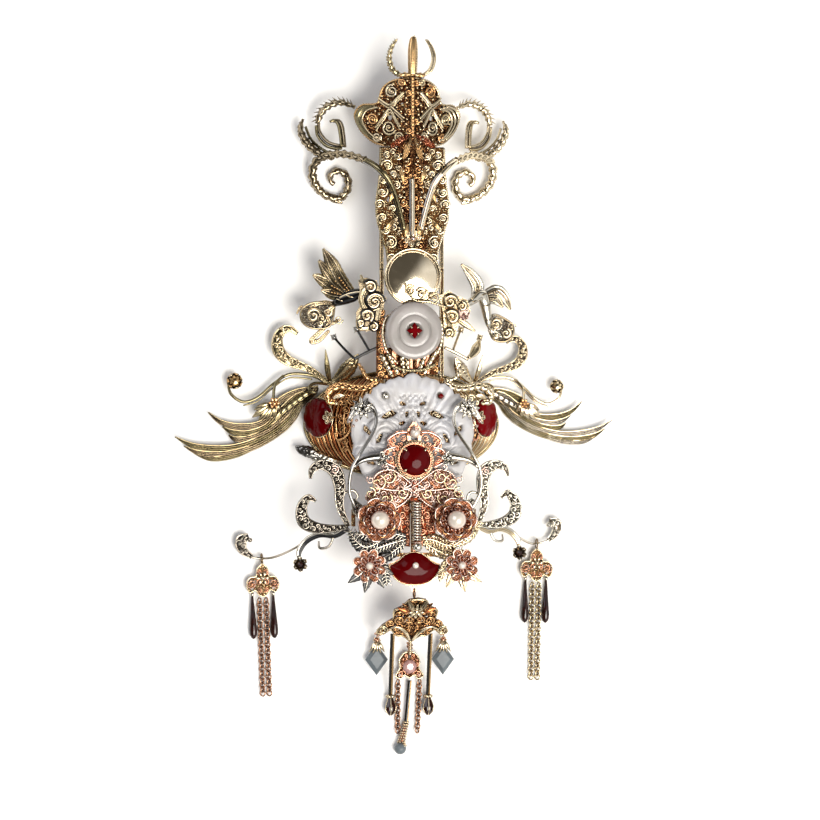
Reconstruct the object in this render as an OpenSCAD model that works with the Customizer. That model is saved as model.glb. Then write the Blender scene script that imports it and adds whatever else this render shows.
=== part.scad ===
/* [Cage over the hair bun] */
// Radius of the cage across its ribs
cage_r = 46; // [45:0.5:47]
// Half length of the cage between the poles where its ribs meet
cage_pole = 24.7; // [24:0.1:25]
// How far the ribs' axis lies behind the open back of the cage
cage_sink = 19; // [18.9:0.1:19.5]
// Wall of the cage
cage_wall = 1; // [0.8:0.1:1.2]
// Height of the flat rim that rests on the head
rim_h = 1.6; // [1.2:0.1:1.6]

/* [Frame] */
// Distance from the middle to the centre of each rail
rail_x = 13.1; // [12.8:0.1:13.4]
// Width of a rail and of a cross bar
rail_w = 1.7; // [1.4:0.1:2]
// Height of the underside of the rails above the rim
rail_z = 25.4; // [25.4:0.1:25.6]
// Thickness of the rails and bars
rail_t = 1.4; // [1.2:0.1:1.4]

/* [Stones, discs and pearls] */
// Diameter of the polished mirror disc
mirror_d = 25; // [23:0.5:25]
// Diameter of the jade ring
ring_d = 24.6; // [22:0.2:24.6]
// Diameter of the red cabochon in the middle
centre_d = 13.2; // [11:0.2:13.2]
// Diameter of the two large pearls
pearl_d = 8; // [6:0.2:8]
// Diameter of the lobed red stones at the sides
side_d = 17; // [15:0.5:17]
// Thickness of the lobed red stones
side_t = 3; // [2.4:0.2:3]
// Thickness of the carved jade plaque
plaque_t = 3; // [2:0.2:3]
// Diameter of the ball at the end of the middle tassel
ball_d = 5.2; // [4:0.2:5.4]

/* [Chains] */
// Radius of a chain link, to the middle of its wire
link_r = 1.25; // [1.2:0.01:1.3]
// Radius of the wire of a chain link
link_wire = 0.32; // [0.28:0.01:0.32]
// Clear distance between two links that hang in each other
link_play = 0.12; // [0.1:0.01:0.14]
// Links in each strand of a side pendant
pendant_links = 24; // [12:1:25]

/* [Hidden] */

left = -1;
right = 1;
gap = 0.3;
rail_top = rail_z + rail_t;
plaque_z = rail_top + gap + 0.2;
plaque_top = plaque_z + plaque_t;
front_z = plaque_top + gap;
front_top = front_z + rail_t;
link_pitch = 2 * link_r - 2 * link_wire - link_play;
pale_gold = "#d9bd8c";
olive_gold = "#a98f57";
rose_gold = "#c98a5e";
silver_gold = "#c2b79c";
dark_metal = "#4c4a46";
jade = "#e6ecea";
red = "#7a0a10";
garnet = "#2e1512";
cream = "#efe3cf";
blue_grey = "#8f9aa6";

// Curves through hand-chosen points. A row is [outward, up, height, width], or [x, y, width] when flat.
function curve_point(a, b, c, d, t) =
    0.5 * (2 * b + (c - a) * t + (2 * a - 5 * b + 4 * c - d) * t * t + (3 * b - a - 3 * c + d) * t * t * t);
function curve(rows, steps) = [
    for (i = [0 : len(rows) - 2], k = [0 : steps - 1])
        curve_point(rows[max(i - 1, 0)], rows[i], rows[i + 1], rows[min(i + 2, len(rows) - 1)], k / steps),
    rows[len(rows) - 1]
];
function unit(v) = v / norm(v);
function place_of(row) = [row[0], row[1], row[2]];
function heading(rows, i) =
    unit(place_of(rows[min(i + 1, len(rows) - 1)]) - place_of(rows[max(i - 1, 0)]));
function section(row, along, sides, flat, spin) =
    let (across = unit(cross(along, [0, 0, 1])), up = cross(across, along))
    [for (k = [0 : sides - 1])
        let (a = spin + 360 * k / sides)
        place_of(row) + row[3] / 2 * (across * cos(a) + up * flat * sin(a))];
function side_faces(i, k, n) =
    let (a = i * n + k, b = i * n + (k + 1) % n) [[a, b, b + n], [a, b + n, a + n]];

// A tapered wire or blade swept through rows; flat is its thickness over its width
module wire(rows, sides = 5, flat = 1, steps = 2, spin = 0) {
    path = curve(rows, steps);
    last = len(path) - 1;
    points = [for (i = [0 : last]) each section(path[i], heading(path, i), sides, flat, spin)];
    walls = [for (i = [0 : last - 1], k = [0 : sides - 1]) each side_faces(i, k, sides)];
    root = [for (k = [sides - 1 : -1 : 0]) k];
    tip = [for (k = [0 : sides - 1]) last * sides + k];
    polyhedron(points = points, faces = concat([root], walls, [tip]));
}

function flat_heading(rows, i) =
    let (a = rows[max(i - 1, 0)], b = rows[min(i + 1, len(rows) - 1)])
    unit([b[0] - a[0], b[1] - a[1]]);
function flat_edge(rows, i, s) =
    let (t = flat_heading(rows, i))
    [rows[i][0] - s * t[1] * rows[i][2] / 2, rows[i][1] + s * t[0] * rows[i][2] / 2];

// The flat outline of a scroll that is cut from sheet; share narrows it
module scroll(rows, steps = 3, share = 1) {
    path = [for (c = curve(rows, steps)) [c[0], c[1], c[2] * share]];
    last = len(path) - 1;
    polygon(concat(
        [for (i = [0 : last]) flat_edge(path, i, 1)],
        [for (i = [last : -1 : 0]) flat_edge(path, i, -1)]
    ));
}

// One clean sheet from scrolls and discs that run into each other
module sheet(thick) {
    linear_extrude(thick) offset(delta = 0.01) children();
}

module on_side(side) {
    if (side < 0) mirror([1, 0, 0]) children();
    else children();
}

// Blades cut from sheet, each with a raised rib along its middle
module blades(table, thick, rib) {
    sheet(thick) for (rows = table) scroll(rows, 2);
    translate([0, 0, thick / 2]) sheet(thick / 2 + rib) for (rows = table) scroll(rows, 2, 0.35);
}

// A grain of shot soldered on the wire
module grain(at, d) {
    translate(at) hull() {
        cylinder(d1 = d, d2 = 0.1, h = d / 2, $fn = 4);
        mirror([0, 0, 1]) cylinder(d1 = d, d2 = 0.1, h = d / 2, $fn = 4);
    }
}

// Grains in a row along the top of a wire
module grains_on(rows, first, count, d, flat = 1) {
    path = curve(rows, 2);
    for (k = [first : first + count - 1])
        grain([path[k][0], path[k][1], path[k][2] + 0.35 * flat * path[k][3]], d);
}

// A petal along +X, from its root at start to its tip
module petal(length, width, thick, start = 0) {
    hull() {
        translate([start + 0.1, 0, 0]) cylinder(d = width * 0.3, h = thick, center = true, $fn = 4);
        translate([length * 0.6, 0, 0]) cylinder(d = width, h = thick, center = true, $fn = 6);
        translate([length * 0.95, 0, 0]) cylinder(d = width * 0.12, h = thick * 0.6, center = true, $fn = 4);
    }
}

// A ring of petals on a small boss
module rosette(petals, length, width, thick, boss, tilt, turn = 0) {
    cylinder(d = boss, h = thick * 1.6, center = true, $fn = 8);
    for (k = [0 : petals - 1]) rotate([0, 0, turn + 360 * k / petals])
        translate([boss * 0.3, 0, 0]) rotate([0, -tilt, 0]) petal(length - boss * 0.3, width, thick);
}

module bar(x0, y0, x1, y1, z) {
    translate([x0, y0, z]) cube([x1 - x0, y1 - y0, rail_t]);
}

module post(at, from_z, to_z, d = 2) {
    translate([at[0], at[1], from_z]) cylinder(d = d, h = to_z - from_z, $fn = 24);
}

// Frame: two rails from the head down over the cage, cross bars, and the arms that carry the front
rail_top_y = 119.2;
rail_end_y = -34;
plaque_pins = [[12, 12.2], [-12, 12.2]];
front_posts = [[0, -32], [10.5, -35], [-10.5, -35]];
pearl_at = [16.6, -40.7];
pearl_z = 43.6;
flower_at = [20.1, -60.4];
flower_z = 35.6;
crescent_y = -60.5;
module frame() {
    color(olive_gold) {
        for (side = [left, right])
            bar(side * rail_x - rail_w / 2, rail_end_y, side * rail_x + rail_w / 2, rail_top_y, rail_z);
        for (y = [rail_top_y - rail_w, 78, 62.5, 39.5, 23, -12, rail_end_y])
            bar(-rail_x, y, rail_x, y + rail_w, rail_z);
        for (p = plaque_pins) post(p, rail_z, plaque_top + 0.8, 1.8);
        for (p = plaque_pins) bar(p[0] - 1, p[1] - 1, p[0] + 1, p[1] + 1, rail_z);
        for (p = front_posts) post(p, rail_z, front_top, 2.4);
        bar(-1.2, -62, 1.2, -8, front_z);
        bar(-26.5, -38, 26.5, -36.3, front_z);
        bar(-20, -56.7, 20, -55, front_z);
        for (side = [left, right]) {
            bar(side * 26.2 - 0.85, -43.6, side * 26.2 + 0.85, -36.3, front_z);
            bar(side * flower_at[0] - 0.85, flower_at[1] - 1, side * flower_at[0] + 0.85, -55, front_z);
            post([side * flower_at[0], flower_at[1]], front_z, flower_z - 1, 1.7);
            bar(side * rail_x - rail_w / 2, rail_end_y - 4, side * rail_x + rail_w / 2, rail_end_y + 1, front_z);
            post([side * rail_x, rail_end_y - 0.6], rail_z, front_top, rail_w);
            bar(side * pearl_at[0] - 0.85, -56, side * pearl_at[0] + 0.85, -37, front_z);
            post([side * pearl_at[0], pearl_at[1]], front_z, pearl_z - 6.9);
        }
        post([0, -43], front_z, 37.6);
    }
}

// Cage: a ribbed dome, open behind for the hair bun, with a flat rim
rim_a = sqrt(cage_r * cage_r - cage_sink * cage_sink);
rim_b = cage_pole * rim_a / cage_r;
rim_out = 1.2;
function cage_reach(r, pole, y) = r * sqrt(max(0, 1 - y * y / (pole * pole)));
function cage_profile(r, pole) = [for (k = [0 : 24]) let (a = -90 + 7.5 * k) [r * cos(a), pole * sin(a)]];
function oval(a, b) = [for (k = [0 : 47]) [a * cos(7.5 * k), b * sin(7.5 * k)]];
module cage_shell() {
    intersection() {
        translate([0, 0, -cage_sink]) rotate([-90, 0, 0])
            rotate_extrude($fn = 96) difference() {
                polygon(cage_profile(cage_r, cage_pole));
                polygon(cage_profile(cage_r - cage_wall, cage_pole - cage_wall));
            }
        translate([-60, -40, 0]) cube([120, 80, 60]);
    }
}
module star(r) {
    linear_extrude(0.8)
        polygon([for (k = [0 : 9]) let (q = k % 2 == 0 ? r : r * 0.45) [q * cos(36 * k), q * sin(36 * k)]]);
}
// Where a side stone lies on the cage, as [side, x on the cage]
stone_sites = [[left, 36.8], [right, 34]];
stone_y = 3;
function site_tilt(x) = asin(x / cage_reach(cage_r, cage_pole, stone_y));
module on_cage(side, x, along, off) {
    on_side(side) translate([0, stone_y, -cage_sink]) rotate([0, site_tilt(x), 0])
        translate([-along, 0, cage_r + off]) children();
}
module cage() {
    color(rose_gold) {
        cage_shell();
        linear_extrude(rim_h) difference() {
            polygon(oval(rim_a + rim_out, rim_b + rim_out));
            polygon(oval(rim_a - 1.6, rim_b - 1.2));
        }
        for (s = stone_sites) {
            on_cage(s[0], s[1], side_d / 2 + 1.1, -2.4) cylinder(d = 1.2, h = side_t + 3.8, $fn = 16);
            on_cage(s[0], s[1], side_d / 2 + 0.8, side_t + gap + 0.6) star(2.7);
        }
    }
}

module side_stone(side, x) {
    lobes = 9;
    color(red) on_cage(side, x, 0, gap + side_t / 2) {
        linear_extrude(side_t / 2, scale = 0.8) lobed(lobes);
        mirror([0, 0, 1]) linear_extrude(side_t / 2, scale = 0.9) lobed(lobes);
    }
}
module lobed(lobes) {
    polygon([for (k = [0 : 4 * lobes - 1])
        let (a = 90 * k / lobes, r = side_d / 2 - [0.8, 0.15, 0, 0.15][k % 4]) [r * cos(a), r * sin(a)]]);
}

// Head: two pierced plates folded like a roof over the top of the rails
roof_tilt = 30;
roof_z = 27;
roof_t = 1;
head_outline = [
    [0, 149.4], [8.3, 148], [13.2, 144.5], [15.6, 138.5], [22.6, 137.8],
    [26, 133.5], [23.2, 126.6], [17.7, 121.6], [12.1, 119.6], [0, 119.6]
];
// Gaps in a roof plate, as [x, y, length, width, turn]
head_gaps = [
    [4.5, 144.6, 4, 2.2, 20], [9.6, 143.6, 3.6, 2, -40], [4, 138.6, 4.4, 2.4, 70], [10, 137.6, 4.2, 2.4, 30],
    [4.6, 131.6, 5, 2.4, 100], [10.4, 131.4, 4.6, 2.4, -30], [16.4, 134.2, 4.4, 2.4, 10],
    [21.6, 133.2, 4, 2.4, 60], [19, 128.6, 4.4, 2.2, 35], [13.6, 126.4, 4.4, 2.4, 70],
    [8, 125.6, 4.6, 2.4, 20], [3.4, 124.6, 4.6, 2.2, 95], [12.2, 122, 3.4, 1.6, 0]
];
module slot(length, width) {
    polygon([
        [-length / 2, 0], [-length / 4, width / 2], [length / 4, width / 2],
        [length / 2, 0.2 * width], [length / 4, -width / 2], [-length / 4, -width / 3]
    ]);
}
module gaps(table) {
    for (g = table) translate([g[0], g[1]]) rotate(g[4]) slot(g[2], g[3]);
}
module head() {
    color(rose_gold) {
        for (side = [left, right])
            on_side(side) translate([0, 0, roof_z]) rotate([0, roof_tilt, 0])
                linear_extrude(roof_t) difference() {
                    polygon(head_outline);
                    gaps(head_gaps);
                }
        translate([0, 119.5, roof_z + 0.4]) rotate([-90, 0, 0]) cylinder(d = 2, h = 30, $fn = 24);
    }
}

finial_prong = [[4.4, 149.8, 26.6, 2.2], [8.2, 152.4, 26.4, 2.4], [9.7, 157.4, 26.4, 2.2],
    [8.6, 162, 26.6, 1.8], [6.3, 165.6, 27, 0.6]];
finial_blade = [[0, 150.6, 28.4, 3], [0, 155.6, 28.4, 4], [0, 161, 28.4, 3.2], [0, 167, 28.4, 0.6]];
module finial() {
    color(pale_gold) {
        for (side = [left, right]) on_side(side) {
            wire(finial_prong);
            for (k = [0 : 3]) grain([9.2 + 0.9 * sin(50 * k), 153.4 + 2.6 * k, 26.8], 1.4);
        }
        wire(finial_blade, sides = 4, flat = 0.5);
        wire([[-5.4, 150.3, 27, 2], [0, 150.9, 27.8, 2.2], [5.4, 150.3, 27, 2]], steps = 1);
    }
}

// Spine: a flat pierced strip between the head and the discs
spine_z = rail_top + gap;
spine_t = 1;
spine_outline = [[14.2, 118.8], [14.6, 106], [16, 94.8], [15.2, 86.2], [11.6, 75], [10.6, 66.5]];
spine_gaps = [
    [4.4, 115, 5, 2.4, 25], [10.6, 114.4, 4.4, 2.4, -30], [3.4, 109, 4.6, 2.4, 95], [9.2, 108.8, 5, 2.4, 40],
    [4.6, 103, 5, 2.4, -20], [11.2, 103, 5, 2.6, 70], [3.4, 97.4, 4.6, 2.4, 85], [9, 97, 5, 2.6, -40],
    [13.4, 96, 4, 2.2, 80], [5, 91.4, 5, 2.4, 20], [11.2, 90.4, 5, 2.4, 50], [3.6, 85.8, 4.4, 2.2, 95],
    [9.4, 84.6, 4.8, 2.4, -15], [5, 73, 5, 2.2, 30], [3.8, 69, 4, 2, -20]
];
module spine() {
    color(rose_gold) translate([0, 0, spine_z]) linear_extrude(spine_t) difference() {
        polygon(concat(spine_outline, [for (i = [len(spine_outline) - 1 : -1 : 0])
            [-spine_outline[i][0], spine_outline[i][1]]]));
        for (side = [left, right]) on_side(side) gaps(spine_gaps);
    }
}

joint_y = 79.7;
rod_z = 29.4;
module spine_flower() {
    color(pale_gold) {
        translate([0, joint_y, spine_z + spine_t + gap]) {
            cylinder(d = 3, h = 2, $fn = 24);
            linear_extrude(1) polygon([for (k = [0 : 11])
                let (q = k % 2 == 0 ? 3.4 : 2) [q * cos(30 * k), q * sin(30 * k)]]);
        }
        translate([0, joint_y + 26, rod_z]) rotate([90, 0, 0]) cylinder(d = 1.5, h = 26, $fn = 20);
    }
}

// Branch: a polished rod that turns into beaded scrolls and bends down to the rest plane
branch_stem = [
    [3.8, 83.4, 29.5, 1.6], [4.8, 88, 29.5, 1.7], [9.2, 102.4, 29.5, 1.8], [14.4, 109.4, 29.4, 2], [20, 113.6, 24.6, 2.2],
    [27.4, 116, 17, 2.4], [33.8, 115.6, 11, 2.6], [38.8, 110, 6, 2.4], [38.4, 104, 3.4, 2.4], [34.8, 99.8, 1.9, 2.4],
    [28.2, 98, 1.6, 2.4], [23.6, 102.6, 1.6, 2.4], [24.6, 108, 1.6, 2.2], [28.2, 109.6, 1.6, 2],
    [31.2, 107, 1.6, 1.8]
];
branch_feather = [
    [26.8, 116.2, 17, 2.2], [32.6, 119.8, 11, 3], [37, 124, 8, 3.6], [37.8, 130, 7, 3.6], [34.6, 135, 8, 3.4],
    [29, 137.4, 10, 2.8], [24.6, 135.8, 12.6, 1.6]
];
branch_hook = [[27.2, 116.4, 16.8, 2], [26.8, 124.6, 11, 2], [28.6, 129.8, 9, 2], [31.4, 130.2, 8.6, 1.4]];
branch_crescent = [[33.8, 115.8, 11, 2.4], [40.6, 118.6, 8, 3.4], [44.6, 124, 6.4, 2.8], [44.2, 130.4, 6, 0.6]];
branch_leaf = [[35.6, 99.6, 2.4, 2.6], [38.6, 98, 2, 2.2], [40.6, 97, 1.8, 0.6]];
module branch(side) {
    color(pale_gold) on_side(side) {
        wire(branch_stem);
        wire(branch_feather, sides = 4, flat = 0.6);
        wire(branch_hook, sides = 4);
        wire(branch_crescent, sides = 4, flat = 0.6);
        wire(branch_leaf, sides = 4, flat = 0.6, steps = 1);
        grains_on(branch_feather, 2, 8, 2, 0.6);
    }
}

// Discs on the front of the spine
mirror_at = [0, 63.4];
ring_at = [0, 40.2];
disc_z = spine_z + spine_t + gap;
module mirror_disc() {
    color(pale_gold) translate([mirror_at[0], mirror_at[1], disc_z]) rotate_extrude($fn = 96)
        polygon([
            [0, 0], [mirror_d / 2, 0], [mirror_d / 2, 1.4], [mirror_d / 2 - 1.1, 1.8],
            [mirror_d / 2 - 1.6, 1.1], [0, 1.1]
        ]);
}
backplate_rows = [
    [[-7, 47.6, 1.6], [-11.6, 45.2, 1.8], [-13, 39, 1.8], [-11.4, 31.6, 1.8], [-6.4, 26, 1.4]],
    [[7, 47.6, 1.4], [11.4, 45, 1.6], [12.6, 39, 1.6], [10.6, 32, 1.6], [6, 26, 1.4]]
];
module ring_backplate() {
    color(rose_gold) {
        translate([0, 0, spine_z]) sheet(1.2) {
            for (rows = backplate_rows) scroll(rows);
            translate(ring_at) difference() {
                circle(r = ring_d / 2 - 1.5, $fn = 40);
                circle(r = 5.4, $fn = 30);
            }
            for (k = [-2 : 2]) translate([3.6 * k - 1.6, 23.6 - 0.9 * abs(k)]) square([1.7, 10]);
        }
        translate([ring_at[0], ring_at[1], spine_z]) difference() {
            cylinder(r = 8, h = ring_z - gap - spine_z, $fn = 48);
            translate([0, 0, -1]) cylinder(r = 5.6, h = 8, $fn = 48);
        }
    }
}
ring_z = disc_z + 1.8 + gap;
module jade_ring() {
    r = ring_d / 2;
    color(jade) translate([ring_at[0], ring_at[1], ring_z]) rotate_extrude($fn = 96)
        polygon([
            [2.2, 0], [r - 0.5, 0], [r, 0.6], [r, 2.2], [r - 0.6, 2.9], [r - 2.4, 3.1], [7.4, 3.1],
            [6.8, 2.6], [6.2, 3.1], [3.4, 3.1], [2.8, 2.4], [2.2, 2.4]
        ]);
}
module ring_stone() {
    color(red) translate([ring_at[0], ring_at[1], ring_z + 3.3]) {
        linear_extrude(1.1) polygon([for (k = [0 : 15])
            let (q = [3.1, 2.6, 1.7, 2.6][k % 4]) [q * cos(22.5 * k), q * sin(22.5 * k)]]);
        translate([0, 0, -3]) cylinder(r = 1.7, h = 3.2, $fn = 24);
    }
}

// Cloud scrolls beside the discs
cloud_z = rail_top + gap;
cloud_left_rows = [
    [[-14.6, 50.4, 1.6], [-19.4, 49, 1.8], [-22, 53, 1.8], [-20.4, 58, 1.8], [-15.8, 59, 1.6], [-14.8, 55, 1.4]],
    [[-19.6, 49.4, 1.6], [-23, 45.6, 1.8], [-22.6, 41.4, 1.6], [-18.8, 41.4, 1.4]],
    [[-20.4, 58.4, 1.6], [-21.6, 62, 1.2], [-22.4, 64.2, 0.6]],
    [[-14.6, 50.4, 1.6], [-15.8, 45, 1.6], [-17.4, 40.6, 1.2]]
];
cloud_right_rows = [
    [[14.6, 46.2, 1.6], [19, 45.6, 1.8], [21.2, 49.6, 1.8], [18.6, 53.4, 1.8], [15.4, 52, 1.4]],
    [[15, 46.2, 1.6], [16.4, 42, 1.8], [14.8, 37.6, 1.6]],
    [[19, 46, 2], [23.4, 43, 2.4], [27.4, 40.2, 0.8]]
];
module cloud(table, eyes) {
    color(pale_gold) translate([0, 0, cloud_z]) sheet(1.3) {
        for (rows = table) scroll(rows);
        for (e = eyes) translate([e[0], e[1]]) circle(d = e[2], $fn = 16);
    }
}

// Brackets: angular wires from the rails that hold up the birds
bracket_bar = [[14.5, 33.2, 26, 1.5], [20, 30.6, 25.4, 1.5], [25, 28, 24.6, 1.5]];
bracket_outer = [[24.6, 28.2, 24.4, 1.4], [28.4, 32.6, 20, 1.3], [32, 37.6, 15, 1.3]];
bracket_inner = [[18.2, 31.6, 25.2, 1.3], [20.6, 36.6, 22, 1.2], [22.8, 41, 19.6, 1.2]];
module bracket(side) {
    color(dark_metal) on_side(side) {
        wire(bracket_bar, steps = 1);
        wire(bracket_outer, steps = 1);
        wire(bracket_inner, steps = 1);
        translate([32, 37.6, 15]) sphere(d = 2.6, $fn = 20);
        translate([22.8, 41, 19.6]) sphere(d = 2.8, $fn = 20);
    }
}

// Birds with a raised wing, a polished body and a filigree tail
bird_left_body = [[-16.8, 54.4, 26.2, 1.2], [-21, 56.4, 24, 3.4], [-25.6, 55.2, 21.4, 5.4], [-29.6, 53.6, 19.6, 4.6],
    [-33, 51.6, 18.6, 2]];
bird_left_wing = [
    [[-26, 56.6, 21.6, 2.6], [-30.6, 63, 20, 3.4], [-34, 69.6, 20, 3], [-37.6, 75.6, 20, 0.6]],
    [[-26.6, 56.4, 20.8, 2.4], [-32, 61.6, 19, 3.2], [-36.4, 67, 19, 2.4], [-39.4, 70.6, 19, 0.6]],
    [[-27.2, 56, 20, 2.4], [-33.6, 59.6, 18.2, 3], [-38.4, 62.6, 18, 2.2], [-41.8, 64.4, 18, 0.6]],
    [[-27.8, 55.4, 19.6, 2.4], [-33.6, 56.8, 18, 3], [-38.2, 57.8, 18, 0.6]]
];
bird_left_tail = [
    [[-32, 51.6, 18.6, 2], [-36.4, 52.4, 17.6, 2], [-41.2, 51, 17, 2], [-43.4, 46.4, 16.8, 2], [-40.6, 43, 16.8, 1.8],
     [-37.8, 45.6, 16.8, 1.4]],
    [[-32.4, 51, 18.2, 2], [-35.4, 47.6, 17.4, 2], [-33.6, 43.6, 17, 1.8], [-30.4, 45, 17, 1.4]],
    [[-34, 43.8, 17, 1.8], [-38.4, 39.8, 16.6, 1.8], [-42.2, 35.8, 16.4, 2.2], [-38.6, 36.2, 16.4, 1.8],
     [-34.4, 40.4, 16.8, 1.2]],
    [[-42.4, 49, 16.9, 1.6], [-46.4, 50.4, 16.6, 1.6], [-48.4, 47.6, 16.4, 0.8]]
];
bird_right_body = [[21.8, 50.4, 26.2, 1.4], [27, 53.2, 24, 3], [31.2, 56.2, 21.6, 4.8], [33.4, 51.6, 20, 4.4],
    [34.8, 45.4, 18.6, 3.4], [35.8, 41.4, 18, 1.6]];
bird_right_wing = [
    [[28.6, 54.6, 22, 2], [29.6, 60, 22, 3], [26, 65.4, 23, 2.2], [22, 69, 24, 0.6]],
    [[32.6, 55.4, 20.6, 2.2], [38.4, 57.6, 19, 3], [42.4, 54.4, 18.4, 2.6], [44.8, 49.6, 18, 0.6]],
    [[33.2, 54.4, 20, 2], [38, 54.2, 18.6, 2.6], [41.4, 50.6, 18.2, 0.8]]
];
bird_right_tail = [
    [[35.2, 43.6, 18.2, 1.8], [37.6, 47, 17.6, 1.8], [41.2, 45.2, 17, 1.8], [40.2, 41.6, 17, 1.6], [37.8, 42, 17, 1.2]],
    [[36, 41.6, 17.8, 1.8], [40.4, 38.6, 17, 2], [45, 38.6, 16.6, 1.8], [45.6, 42.2, 16.6, 1.4]],
    [[35.8, 41, 17.6, 1.8], [38, 37.2, 17, 1.6], [42.4, 35.6, 16.6, 0.8]]
];
module bird(body, wings, tail) {
    color(silver_gold) {
        wire(body, sides = 6, flat = 0.8);
        for (rows = wings) wire(rows, sides = 4, flat = 0.35);
        for (rows = tail) wire(rows, sides = 4, flat = 0.7);
        grains_on(tail[0], 0, 4, 1.8);
        grains_on(tail[1], 0, 4, 1.8);
    }
}

// Plaque: white carved stone with a scalloped top, two volutes and pierced openings
plaque_outline = [
    [0, 22.2], [4, 19.8], [8, 19.6], [12, 17.4], [15.4, 16.4], [18, 13], [21, 12], [22.6, 8.4], [25, 5.4],
    [26.4, 0], [26.6, -4.6], [25.6, -8.4], [26, -12.4], [23.4, -16.6], [21.8, -21], [18.4, -24.6], [14, -25],
    [11, -21.4], [6, -18.8], [0, -18]
];
// Gaps on the right half of the plaque, as [x, y, length, width, turn]
plaque_gaps = [
    [10.4, 4.2, 7.6, 2.8, 160], [19.8, -2.8, 6, 2.2, 50], [14.4, -6, 5.4, 2, -60], [18.2, -16.4, 5, 1.8, 20],
    [4.4, 8.8, 3.4, 1.8, 20], [2.6, 4.4, 3.2, 1.6, 100], [4.6, 0.4, 3.4, 1.8, -20]
];
module plaque_half() {
    difference() {
        polygon(concat(plaque_outline, [[-0.5, -18], [-0.5, 22.2]]));
        gaps(plaque_gaps);
        translate(plaque_pins[0]) circle(d = 2.4, $fn = 24);
    }
}
module jade_plaque() {
    color(jade) translate([0, 0, plaque_z]) {
        linear_extrude(plaque_t - 0.6) {
            plaque_half();
            mirror([1, 0]) plaque_half();
        }
        for (side = [left, right]) {
            translate([side * 12.4, -5.2, plaque_t - 0.7]) volute_ring(9.2, 7.9);
            translate([side * 12.4, -5.2, plaque_t - 0.7]) volute_ring(5.6, 4.4);
        }
    }
}
module volute_ring(outer, inner) {
    linear_extrude(0.7) difference() {
        circle(r = outer, $fn = 72);
        circle(r = inner, $fn = 72);
        for (y = [5.6]) translate([0, y]) square([30, 4.2], center = true);
    }
}

// Wings: ribbed feathers in two plumes; a row is [outward, up, width] from the root
wing_blades = [
    [[0.6, 0.4, 1.6], [10, -1.4, 2.6], [17.6, -5.4, 3], [21.6, -11.6, 3], [27, -15.6, 3], [35.6, -16.4, 2.8],
     [43.4, -14.6, 2.2], [49, -10.4, 0.6]],
    [[0.8, -0.2, 1.6], [10, -3.4, 2.8], [17, -9.8, 3.2], [23.2, -16.4, 3.2], [31.4, -19.4, 3], [38.4, -18.8, 2.4],
     [42.8, -16.6, 0.6]],
    [[1, -0.8, 1.6], [9, -5, 2.8], [15.4, -12.2, 3.2], [22.4, -18, 3.2], [30.4, -21.4, 3], [36.8, -21.9, 2.4],
     [40, -20.2, 0.6]],
    [[1.2, -1.4, 1.6], [8.4, -6.4, 2.8], [13.4, -13, 3.2], [21, -19.2, 3.4], [31.4, -24, 3.4], [42.2, -26, 3.2],
     [55, -24.8, 2.4], [63.4, -21, 0.6]],
    [[1.4, -1.8, 1.6], [7.8, -7, 2.4], [11.8, -13.4, 2.8], [19.6, -20.2, 3], [30.6, -25.8, 3.2], [42.2, -28.4, 3],
     [52.8, -27.8, 2.4], [59.4, -25, 0.6]],
    [[6.6, -5, 1.6], [10.4, -11.4, 2.4], [14.6, -16.6, 2.8], [21, -20.8, 3], [28.6, -25, 3], [37.8, -29, 2.8],
     [47.6, -30.4, 2.2], [55, -28.2, 0.6]]
];
wing_lift = 2;
// How each wing sits, as [side, root x, root y, reach, turn]
wing_sites = [[left, 36.2, 15.6, 1, 0], [right, 35.8, 14.9, 0.88, 5.5]];
module wing(site) {
    color(site[0] < 0 ? olive_gold : pale_gold) on_side(site[0])
        translate([site[1], site[2], 0.7]) rotate([0, -wing_lift, site[4]]) scale(site[3])
            blades(wing_blades, 1.1, 0.7);
}

// Upper sprays: an engraved curl, a long wire with a ball flower, a lily and small leaves
upper_wires = [
    [[0, 0, 3, 2], [9, 6, 5, 2.2], [19, 10, 6, 3], [23.6, 14.2, 6, 3.6], [23, 20.2, 6, 3], [18.8, 23.6, 6, 2.2],
     [14.6, 21.6, 6, 1]],
    [[1.4, 0.6, 3, 1.8], [8, 3.6, 4, 1.5], [17.4, 4, 4.4, 1.5], [24, 0, 4.6, 1.5], [30.4, -5.6, 5, 1.5],
     [36.4, -7.6, 5, 1.5], [41.6, -4.4, 5, 1.4], [42.8, 1, 4.8, 1.2]],
    [[20, 3.4, 5, 1.6], [23.6, -0.6, 5.8, 1.4], [24.4, -7, 6.9, 1.2]],
    [[1, 0.4, 3, 1.6], [7.6, 0.4, 5, 1.4], [9.6, -2, 6, 1.4], [6.6, -3.6, 6.4, 1]],
    [[0.6, 0.6, 3.1, 1.6], [2.2, 7, 6, 1.8], [3.4, 14.4, 8, 0.5]]
];
upper_leaf = [[0.8, 0.4, 3.1, 1.8], [-1.6, 2, 4, 2.6], [-4.4, 4.6, 6, 4.6], [-6.6, 8.6, 8, 4], [-7.8, 12.6, 9.4, 0.6]];
lily_at = [24.2, -7.6, 7];
lily_petal = [[0.5, 0, 0.1, 1.4], [3.4, 0, 0.3, 2.5], [6.4, 0, -0.3, 2.2], [9.2, 0, -1.3, 0.5]];
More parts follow.
